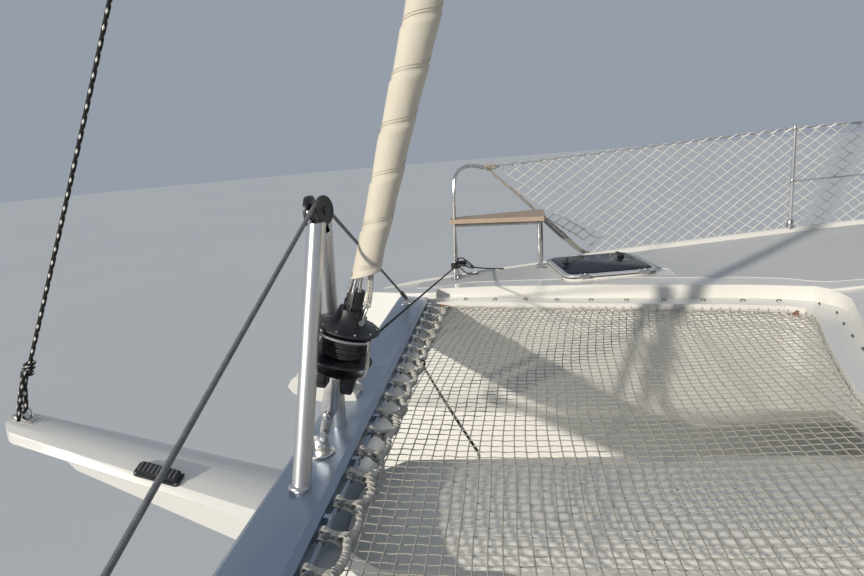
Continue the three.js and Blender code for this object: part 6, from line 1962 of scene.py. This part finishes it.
# On each hull: long windows, a rubbing strake, the toe rail, cleats and the engine hatch's latches
ENGINE_LID_TOP = 1.5785
LIGHT_LOW, LIGHT_HIGH, LIGHT_SLANT = 0.93, 1.17, 0.05


def hull_side(x, z):
    """The port hull's outer side at (x, z)."""
    hit = cast("hull_port", (x, 4.0, z), TO_STARBOARD)
    return hit.y if hit else 3.0


def make_hull_gear(side):
    way = WAY[side]
    lights = Shape()
    for x0, x1 in ((-2.75, -1.55), (0.15, 1.55), (2.45, 3.15)):
        for grow, thick, part in ((0.022, 0.003, 0), (0.0, 0.0055, 1)):
            low, high = LIGHT_LOW - grow, LIGHT_HIGH + grow
            outline = rounded([(x0 - grow, low), (x1 + grow, low), (x1 + LIGHT_SLANT + grow, high),
                               (x0 + LIGHT_SLANT - grow, high)], 0.07)
            outline = [tuple(p) for p in resampled([*outline, outline[0]], 0.05)[:-1]]
            sheet = Shape()
            draped(sheet, outline, [], hull_side, thick, 0.07)
            flat = sheet.points[0]
            lights.add(np.stack([flat[:, 0], flat[:, 2] * way, flat[:, 1]], 1), sheet.faces, None, part)
        for k in range(2):
            x = x0 + (x1 - x0) * (0.32 + 0.36 * k)
            bar = [(x, way * (hull_side(x, z) + 0.0065), z) for z in (0.935, 1.05, 1.165)]
            lights.sweep(bar, 0.005, 6, part=0)
    strake = []
    for x in np.arange(5.62, -4.18, -0.1):
        z = deck_z(x, deck_edge(x) - 0.02) - 0.115
        strake.append((x, way * min(hull_side(x, z) + 0.004, WIDEST - 0.0175), z))
    thick = np.interp([p[0] for p in strake], (-4.2, -4.0, 5.42, 5.62), (0.006, 0.017, 0.017, 0.006))
    lights.sweep(strake, thick, 10, part=0)
    bead, widths = [], []
    for x in np.arange(5.6, -4.25, -0.08):
        ahead = float(np.interp(x, (4.15, 4.5), (0.0, 1.0)))
        inset = POST_INSET * (1 - ahead) + 0.022 * ahead
        bead.append((x, way * (deck_edge(x) - inset), deck_z(x, deck_edge(x) - inset)))
        taper = float(np.interp(x, (-4.25, -4.0, 5.38, 5.6), (0.25, 1.0, 1.0, 0.25)))
        widths.append((0.034 * (1 - ahead) + 0.02 * ahead) * taper)
    rail = Shape().sweep(bead, np.array(widths), 16, up=UP)
    piece(f"toe_rail_{side}", rail, "gelcoat", sharp=60)
    piece(f"hull_lights_{side}", lights, ["rubber_seal", "dark_acrylic"], sharp=45)

    fittings = Shape()
    for x in (1.35, -2.0, -4.05):
        y = way * (deck_edge(x) - 0.1)
        foot = np.array([x, y, deck_z(x, abs(y)) + 0.001])
        for dx in (-0.035, 0.035):
            fittings.lathe([(0.024, 0), (0.025, 0.005), (0.015, 0.01), (0.011, 0.02), (0.012, 0.042)],
                           foot + (dx, 0, 0), UP, 18)
        rises = ((-0.125, 0.052), (-0.08, 0.046), (0, 0.043), (0.08, 0.046), (0.125, 0.052))
        horn = [foot + (dx, 0, rise) for dx, rise in rises]
        fittings.sweep(horn, [0.005, 0.011, 0.0125, 0.011, 0.005], 12)
    piece(f"cleats_{side}", fittings, "stainless", sharp=45)
    handles = Shape()
    for x in (-4.1, -3.73):
        at = np.array([x, way * 2.12, ENGINE_LID_TOP])
        handles.lathe([(0.036, -0.001), (0.037, 0.0015), (0.03, 0.003), (0.028, 0.0012)], at, UP, 24)
        handles.sweep([at + (-0.022, 0, 0.003), at + (0.022, 0, 0.003)], 0.0035, 8)
    piece(f"engine_hatch_latches_{side}", handles, "stainless", body=f"engine_lid_{LID[side]}")


make_roof_lines()
make_roof_gear()
for deck_side in BOTH:
    make_hull_gear(deck_side)


# Cushions: crowned pads whose sides pull in between their corners, piped along both seams
def cushion(name, low, high, face=2, way=1, channels=0, lean=0.0):
    """A pad in the box from low to high, crowned along one axis (face) towards one way, and leaned aft."""
    low, high = np.array(low, float), np.array(high, float)
    size = high - low
    wide = [k for k in range(3) if k != face]
    half = size[wide] / 2
    middle = (low + high) / 2
    depth = size[face]
    count = 64

    def outline(inset, pull):
        corner = max(0.012, min(0.05, min(half) * 0.4) - inset * 0.3)
        hx, hy = max(half[0] - inset, 0.006), max(half[1] - inset, 0.006)
        ring = resampled(np.array([*rectangle(-hx, hx, -hy, hy, corner), (-hx + 1e-5, -hy + corner)]), 0.001)
        ring = ring[np.linspace(0, len(ring) - 1, count + 1).astype(int)[:-1]]
        bow = np.stack([1 - (ring[:, 1] / hy) ** 2, 1 - (ring[:, 0] / hx) ** 2], 1).clip(0, 1)
        edge = np.stack([(np.abs(ring[:, 0]) / hx) ** 6, (np.abs(ring[:, 1]) / hy) ** 6], 1)
        return ring - np.sign(ring) * bow * edge * pull

    steps = [(0.9, -0.5, 0), (0.35, -0.5, 0), (0.016, -0.5, 0.3), (0.004, -0.43, 0.8), (0.0, -0.3, 1),
             (0.002, 0, 1.1), (0.0, 0.26, 1), (0.004, 0.36, 0.8), (0.016, 0.42, 0.3), (0.05, 0.445, 0),
             (0.12, 0.47, 0), (0.3, 0.49, 0), (0.6, 0.5, 0), (0.9, 0.5, 0)]
    rings, seams = [], []
    for inset, level, pull in steps:
        reach = inset if inset < 0.02 else inset * min(half)
        flat = outline(reach, 0.01 * pull)
        rise = np.full(count, level * depth)
        if level > 0.44:
            for k in range(channels):
                line = -half[0] + size[wide][0] * (k + 1) / (channels + 1)
                rise -= 0.012 * np.exp(-((flat[:, 0] - line) / 0.016) ** 2)
            rise -= 0.003 * np.abs(np.sin(9 * flat[:, 0] + 1)) * np.abs(np.sin(8 * flat[:, 1]))
        ring = np.zeros((count, 3))
        ring[:, wide] = flat + middle[wide]
        ring[:, face] = middle[face] + rise * way
        rings.append(ring)
        if abs(level) in (0.43, 0.36):
            seams.append(ring)
    for ring in rings:
        rise = ring[:, 2] - low[2]
        ring[:, 0] -= rise * math.sin(lean)
        ring[:, 2] = low[2] + rise * math.cos(lean)
    pad = Shape().loft(rings)
    for ring in seams:
        pad.sweep(ring, 0.0038, 6, closed=True, part=1)
    made = piece(name, pad, ["cushion_cloth", "webbing"], sharp=60)


def make_cushions():
    for k, (x0, x1) in enumerate(((-3.7, -3.34), (-3.33, -2.97))):
        cushion(f"cockpit_seat_cushion_{k}", (x0, 0.875, 1.2305), (x1, 1.395, 1.315))
    cushion("cockpit_corner_cushion", (-4.175, 0.875, 1.2305), (-3.715, 1.395, 1.315))
    for k, (y0, y1) in enumerate(((-0.885, -0.31), (-0.3, 0.28), (0.29, 0.865))):
        cushion(f"cockpit_aft_cushion_{k}", (-4.175, y0, 1.2305), (-3.735, y1, 1.315))
    for k, (x0, x1) in enumerate(((-4.17, -3.79), (-3.78, -3.38), (-3.37, -2.97))):
        cushion(f"cockpit_back_cushion_{k}", (x0, 1.325, 1.318), (x1, 1.399, 1.62), face=1, way=-1)


# The helm seat: a moulded pod, a tube frame behind, a seat pad and a leaning back pad
def make_helm_seat():
    pod = Shape()
    pod.block((-3.385, -2.15, 1.552), (-3.01, -1.55, 1.935), 0.03, part=0, segments=4)
    pod.block((-3.36, -2.16, 1.925), (-3.005, -1.54, 1.94), 0.006, part=0)
    pod.block((-3.013, -2.06, 1.62), (-3.004, -1.64, 1.86), 0.004, part=0)
    pod.lathe([(0.012, 0), (0.012, 0.004), (0.007, 0.007)], (-3.004, -1.85, 1.82), (1, 0, 0), 16, part=1)
    hoop = [(-3.3, -2.09, 1.93), (-3.385, -2.09, 1.975), (-3.415, -2.09, 2.05), (-3.455, -2.09, 2.33),
            (-3.458, -2.05, 2.37), (-3.458, -1.65, 2.37), (-3.455, -1.61, 2.33), (-3.415, -1.61, 2.05),
            (-3.385, -1.61, 1.975), (-3.3, -1.61, 1.93)]
    pod.sweep(smooth_line(hoop, 6), 0.0125, 12, part=1)
    piece("helm_seat_pod", pod, ["gelcoat", "stainless"], replaces=["helm_seat"], sharp=45)
    cushion("helm_seat_cushion", (-3.34, -2.155, 1.9405), (-3.0, -1.545, 2.01), channels=2)
    cushion("helm_back_cushion", (-3.405, -2.165, 2.03), (-3.335, -1.535, 2.42), face=0, channels=2,
            lean=0.14)


# The saloon's settee: a boxed base with a wooden lip, and loose pads
def make_settee():
    base = Shape()
    top = 1.165
    for low, high in (((-0.6, 0.9), (1.9, 1.5)), ((1.4, -0.5), (1.9, 0.91)), ((-0.6, 0.4), (-0.2, 0.91))):
        base.block((*low, 0.802), (*high, top), 0.008, part=0)
    lip = [(-0.606, 0.4, top), (-0.194, 0.4, top), (-0.194, 0.894, top), (1.394, 0.894, top),
           (1.394, -0.506, top), (1.905, -0.506, top)]
    base.sweep(lip, 0.014, 4, part=1)
    piece("settee_base", base, ["gelcoat", "table_wood"], replaces=["saloon_settee"],
          sharp=30)
    low, high = top + 0.0005, 1.25
    for k, (x0, x1) in enumerate(((-0.19, 0.59), (0.6, 1.395))):
        cushion(f"settee_side_cushion_{k}", (x0, 0.91, low), (x1, 1.49, high))
    cushion("settee_corner_cushion", (1.405, 0.91, low), (1.89, 1.49, high))
    for k, (y0, y1) in enumerate(((-0.49, 0.2), (0.21, 0.9))):
        cushion(f"settee_front_cushion_{k}", (1.41, y0, low), (1.89, y1, high))
    cushion("settee_aft_cushion", (-0.59, 0.41, low), (-0.205, 1.49, high))


# The helm: a stitched wheel, dials, compass, throttles and a grab rail
HELM_Y, WHEEL_RADIUS = -1.85, 0.36


def make_helm():
    wheel = Shape()
    hub = np.array([-2.76, HELM_Y, 2.18])
    turn = spins(96)
    rim = np.stack([np.full(96, hub[0]), hub[1] + WHEEL_RADIUS * np.sin(turn),
                    hub[2] + WHEEL_RADIUS * np.cos(turn)], 1)
    wheel.sweep(rim, 0.015, 14, closed=True, part=1)
    for k in range(5):
        a = 2 * math.pi * k / 5
        out = np.array([0, math.sin(a), math.cos(a)])
        wheel.sweep([hub + out * 0.03, hub + out * 0.1 + (-0.006, 0, 0), hub + out * 0.26 + (-0.006, 0, 0),
                     hub + out * 0.35], [0.0105, 0.009, 0.0075, 0.009], 12)
        for shift in (-0.055, 0.055):
            at = a + shift
            spoke = np.array([0, math.sin(at), math.cos(at)])
            cuff = [hub + (0.0165 * math.cos(t), 0, 0) + spoke * (WHEEL_RADIUS + 0.0165 * math.sin(t))
                    for t in spins(12)]
            wheel.sweep(cuff, 0.002, 5, closed=True)
    stitch = []
    for k, a in enumerate(spins(360)):
        r = 0.3439
        shift = 0.0022 if k % 2 else -0.0022
        stitch.append(hub + (shift, r * math.sin(a), r * math.cos(a)))
    wheel.sweep(stitch, 0.0007, 4, closed=True, part=2)
    wheel.lathe([(0.042, -0.07), (0.044, -0.066), (0.044, -0.012), (0.052, 0.0), (0.052, 0.012),
                 (0.04, 0.02), (0.018, 0.026), (0.0, 0.027)], hub, (-1, 0, 0), 36)
    for k in range(5):
        a = 2 * math.pi * (k + 0.5) / 5
        wheel.lathe([(0.0055, 0), (0.0055, 0.003), (0.003, 0.0045)],
                    hub + (-0.0195, 0.036 * math.sin(a), 0.036 * math.cos(a)), (-1, 0, 0), 6)
    wheel.sweep([hub + (0.06, 0, 0), hub + (0.22, 0, 0)], 0.0138, 20)
    piece("steering_wheel", wheel, ["stainless", "wheel_leather", "white_rope"], body="wheel",
          replaces=["helm_wheel"], sharp=50)

    helm = Shape()
    lean = math.atan2(0.05, 0.21) - math.radians(90)
    plate_at = placed((-2.668, HELM_Y, 2.186), lean, "Y")
    slope = unit((-0.21, 0, 0.05))
    helm.plate(rectangle(-0.085, 0.085, -0.235, 0.235, 0.02), 0.006, plate_at, 0.002, part=0)
    for y in (-0.15, 0.15):
        face = np.array([-2.672, HELM_Y + y, 2.188])
        helm.lathe([(0.05, 0.0), (0.052, 0.006), (0.052, 0.014), (0.047, 0.018), (0.045, 0.013),
                    (0.0, 0.013)], face, slope, 36, part=0)
        helm.lathe([(0.044, 0.0132), (0.044, 0.0138)], face, slope, 36, part=1)
        up = unit(np.cross(slope, (0, 1, 0)))
        for k in range(11):
            a = math.radians(-130 + 26 * k)
            way = up * math.cos(a) * -1 + np.array([0, 1, 0]) * math.sin(a)
            helm.sweep([face + slope * 0.0142 + way * 0.034, face + slope * 0.0142 + way * 0.041], 0.0011,
                       5, part=3)
        needle = unit(up * -0.7 + np.array([0, 0.6, 0]))
        helm.sweep([face + slope * 0.0148 - needle * 0.01, face + slope * 0.0148 + needle * 0.034], 0.0013,
                   5, part=4)
        helm.lathe([(0.006, 0), (0.006, 0.003)], face + slope * 0.0135, slope, 14, part=0)
    for k in range(5):
        at = np.array([-2.672, HELM_Y - 0.055 + 0.0275 * k, 2.135])
        helm.lathe([(0.008, 0), (0.0085, 0.004), (0.005, 0.01), (0.004, 0.016)], at + slope * 0.004, slope,
                   14, part=2)
    helm.lathe([(0.075, 0), (0.078, 0.006), (0.07, 0.02), (0.062, 0.03), (0.058, 0.032)],
               (-2.5, HELM_Y, 2.38), UP, 40, part=0)
    dome = [(0.057 * math.cos(a), 0.03 + 0.045 * math.sin(a)) for a in np.linspace(0, math.pi / 2, 9)]
    helm.lathe(dome, (-2.5, HELM_Y, 2.38), UP, 40, part=1)
    for y in (-2.04, -1.99):
        foot = np.array([-2.665, y, 2.21])
        helm.sweep(smooth_line([foot + slope * 0.0, foot + slope * 0.05 + (0, 0, 0.015),
                                foot + slope * 0.085 + (0, 0, 0.055)], 4), 0.0065, 10, part=2)
        knob = foot + slope * 0.087 + (0, 0, 0.06)
        helm.lathe([(0.004, -0.022), (0.012, -0.018), (0.0135, 0.0), (0.01, 0.014), (0.003, 0.018)], knob,
                   (-0.4, 0, 1), 16, part=0)
    helm.plate(rectangle(-0.05, 0.05, -0.055, 0.055, 0.02), 0.01, placed((-2.664, -2.015, 2.205), lean, "Y"),
               0.004, part=0)
    grab = [(-2.44, -2.07, 2.376), (-2.445, -2.07, 2.44), (-2.45, -1.95, 2.462), (-2.45, -1.75, 2.462),
            (-2.445, -1.63, 2.44), (-2.44, -1.63, 2.376)]
    helm.sweep(smooth_line(grab, 6), 0.0125, 12, part=2)
    piece("helm_instruments", helm, ["black_plastic", "dark_acrylic", "stainless", "rail_net_cord",
                                     "orange_lashing"], sharp=45)


# Door frame and grips, anti-slip pads, a folded ladder, the anchor's chain, what is bolted on the engines
def make_cockpit_details():
    grip = Shape()
    bar = [(-2.311, -0.4, 1.5), (-2.281, -0.4, 1.515), (-2.277, -0.4, 1.65), (-2.281, -0.4, 1.785),
           (-2.311, -0.4, 1.8)]
    grip.sweep(smooth_line(bar, 5), 0.008, 10)
    # Outside the pull lies flush, since the door slides behind the wall there
    ring = [(-2.3368, y, z) for y, z in rectangle(-0.43, -0.37, 1.5, 1.8, 0.028)]
    grip.sweep(ring, 0.0018, 8, closed=True, flat=4.0, up=(0, 1, 0))
    for z0, z1, y0, y1 in ((0.812, 0.842, -0.482, 0.482), (2.452, 2.482, -0.482, 0.482),
                           (0.812, 2.482, -0.482, -0.447), (0.812, 2.482, 0.447, 0.482)):
        for x0, x1 in ((-2.3385, -2.3345), (-2.3135, -2.3095)):
            grip.block((x0, y0, z0), (x1, y1, z1), 0.001, part=1)
    piece("door_frame_and_grips", grip, ["stainless", "hatch_frame"], body="door")

    for side in BOTH:
        way = WAY[side]
        pads = Shape()
        for x0, x1 in ((-4.74, -4.45), (-5.08, -4.8), (-5.43, -5.14), (-5.7, -5.49)):
            level = drop("hull_port", (x0 + x1) / 2, 2.35, 1.53)
            edges = []
            for x in (x0, x1):
                on = [y for y in np.arange(1.6, 3.2, 0.01)
                      if abs((drop("hull_port", x, y, 1.53) or 0) - level) < 0.004]
                edges.append((min(on) + 0.05, max(on) - 0.05))
            corners = [(x0, edges[0][0] * way), (x1, edges[1][0] * way), (x1, edges[1][1] * way),
                       (x0, edges[0][1] * way)]
            draped(pads, rounded(corners, 0.04), [], lambda x, y, z=level: z, 0.003, 0.3)
        piece(f"step_nonskid_{side}", pads, "nonskid")

    floor = Shape()
    draped(floor, rectangle(-4.15, -2.45, -1.44, -0.95, 0.06), [], lambda x, y: 0.8, 0.003, 0.4)
    draped(floor, rectangle(-2.9, -2.45, -0.9, 1.44, 0.06), [], lambda x, y: 0.8, 0.003, 0.4)
    piece("cockpit_floor_nonskid", floor, "nonskid")

    ladder = Shape()
    for y in (-2.1, -2.44):
        ladder.sweep([(-5.7, y, 0.44), (-5.735, y, 0.46), (-5.738, y, 0.52), (-5.73, y, 0.95),
                      (-5.7, y, 0.99)], 0.0125, 12)
        ladder.lathe([(0.028, -0.002), (0.028, 0.004), (0.014, 0.008)], (-5.66, y, 0.402), UP, 18)
        ladder.sweep([(-5.66, y, 0.402), (-5.665, y, 0.43), (-5.7, y, 0.44)], 0.01, 10)
    for z in (0.55, 0.68, 0.81, 0.94):
        ladder.sweep([(-5.735, -2.1, z), (-5.735, -2.44, z)], 0.011, 12)
        ladder.block((-5.749, -2.42, z - 0.006), (-5.722, -2.12, z + 0.014), 0.004, part=1)
    piece("swim_ladder", ladder, ["stainless", "black_plastic"])

    chain = Shape()
    x = 4.3
    for k in range(26):
        at = np.array([x - 0.026 * k, 0.0, 0.962 + 0.006 * math.sin(k * 0.5)])
        tilt = (0.0095, 0.0) if k % 2 else (0.0, 0.0095)
        link = [at + (0.017 * math.cos(t), tilt[0] * math.sin(t), tilt[1] * math.sin(t)) for t in spins(12)]
        chain.sweep(link, 0.0042, 6, closed=True)
    piece("anchor_chain", chain, "galvanised")

    for side in BOTH:
        way = WAY[side]
        engine = Shape()
        middle = np.array([-3.92, way * 2.35, 0.0])
        engine.block(middle + (-0.19, -0.13, 0.64), middle + (0.17, 0.13, 0.7), 0.02)
        for k in range(3):
            engine.lathe([(0.022, 0), (0.022, 0.025), (0.016, 0.032)],
                         middle + (-0.12 + 0.11 * k, 0.04, 0.7), UP, 16, part=1)
        engine.lathe([(0.055, 0), (0.058, 0.01), (0.058, 0.12), (0.04, 0.135)],
                     middle + (0.02, way * -0.235, 0.4), (0, way, 0), 28, part=1)
        engine.lathe([(0.07, 0), (0.08, 0.006), (0.07, 0.012), (0.08, 0.018), (0.03, 0.024)],
                     middle + (0.205, 0.02, 0.36), (1, 0, 0), 32, part=1)
        engine.lathe([(0.04, 0), (0.046, 0.006), (0.04, 0.012), (0.02, 0.02)], middle + (0.205, 0.13, 0.52),
                     (1, 0, 0), 24, part=1)
        belt = [(0.214, 0.02 + 0.082 * math.cos(a), 0.36 + 0.082 * math.sin(a))
                for a in np.linspace(2.4, 5.6, 14)]
        belt += [(0.214, 0.13 + 0.048 * math.cos(a), 0.52 + 0.048 * math.sin(a))
                 for a in np.linspace(-0.6, 2.4, 12)]
        engine.sweep([middle + b for b in belt], 0.005, 6, closed=True, part=1)
        for rise, reach in ((0.55, 0.2), (0.48, 0.23)):
            hose = [(-0.17, -0.2, rise), (-0.05, -reach - 0.01, rise + 0.03), (0.1, -reach, rise - 0.04),
                    (0.16, -0.14, rise - 0.12)]
            engine.sweep(smooth_line([middle + h for h in hose], 6), 0.014, 10, part=1)
        piece(f"engine_details_{side}", engine, ["engine_paint", "black_plastic"],
              sharp=45)


# Hinges of the engine hatches, and the black joints of the wrap-round window
HINGE_X, HINGE_Z, ENGINE_LEAF_TOP = -3.6, 1.5503, 1.5812


def make_hinges_and_joints():
    for side, way in WAY.items():
        leaves, posts = Shape(), Shape()
        for y in (2.13, 2.57):
            near, far = sorted((way * (y - 0.03), way * (y + 0.03)))
            leaves.block((-3.66, near, 1.5782), (-3.601, far, ENGINE_LEAF_TOP), 0.001)
            leaves.sweep([(HINGE_X, near + 0.004, HINGE_Z), (HINGE_X, far - 0.004, HINGE_Z)], 0.0045, 12)
            posts.block((-3.5945, near + 0.006, 1.546), (-3.566, far - 0.006, 1.55015), 0.0005)
            posts.block((-3.568, near, 1.549), (-3.53, far, 1.5528), 0.001)
            for dy in (-0.016, 0.016):
                screw = [(0.0048, 0), (0.0048, 0.001), (0.002, 0.0018)]
                leaves.lathe(screw, (-3.632, way * y + dy, ENGINE_LEAF_TOP), UP, 10)
                posts.lathe(screw, (-3.548, way * y + dy, 1.5528), UP, 10)
        piece(f"engine_hatch_leaves_{side}", leaves, "stainless", body=f"engine_lid_{LID[side]}")
        piece(f"engine_hatch_hinges_{side}", posts, "stainless")

    joints = Shape()
    levels = np.linspace(1.84, 2.5, 12)
    for y in (-0.62, 0.62):
        hits = [cast("saloon_glazing", (3.5, y, z), (-1, 0, 0)) for z in levels]
        joints.sweep([h + Vector((0.0005, 0, 0)) for h in hits if h], 0.0045, 6)
    for x in (1.15, 0.1, -0.85):
        for way in (1, -1):
            hits = [cast("saloon_glazing", (x, way * 3.4, z), (0, -way, 0)) for z in levels]
            joints.sweep([h + Vector((0, way * 0.0005, 0)) for h in hits if h], 0.0045, 6)
    piece("glazing_joints", joints, "rubber_seal")


make_cushions()
make_helm_seat()
make_settee()
make_helm()
make_cockpit_details()
make_hinges_and_joints()


# Stage
SUN_WAY = Vector((-1.85, -2.38, -1.0))
SUN_STRENGTH, SKY_STRENGTH = 3.0, 0.42
FLOOR_RADIUS = 70


def add_stage():
    bpy.context.scene.view_settings.view_transform = "Standard"
    bm = bmesh.new()
    bmesh.ops.create_circle(bm, cap_ends=True, segments=96, radius=FLOOR_RADIUS)
    mesh = bpy.data.meshes.new("floor")
    bm.to_mesh(mesh)
    bm.free()
    finish = Finish("floor", (0.62, 0.64, 0.66), 0.7)
    finish.cloud((0.15, 2), 0.4, 0.6, (0.6, 0.62, 0.645), 0.5)
    mesh.materials.append(finish.material)
    floor = bpy.data.objects.new("floor", mesh)
    bpy.context.scene.collection.objects.link(floor)
    sun = bpy.data.lights.new("sun", "SUN")
    sun.energy = SUN_STRENGTH
    sun.angle = math.radians(1.6)
    sun.color = (1.0, 0.93, 0.82)
    lamp = bpy.data.objects.new("sun", sun)
    lamp.rotation_euler = SUN_WAY.to_track_quat("-Z", "Y").to_euler()
    bpy.context.scene.collection.objects.link(lamp)
    world = bpy.data.worlds.new("studio")
    world.use_nodes = True
    back = world.node_tree.nodes["Background"]
    back.inputs["Color"].default_value = (0.72, 0.81, 0.94, 1)
    back.inputs["Strength"].default_value = SKY_STRENGTH
    bpy.context.scene.world = world


add_stage()
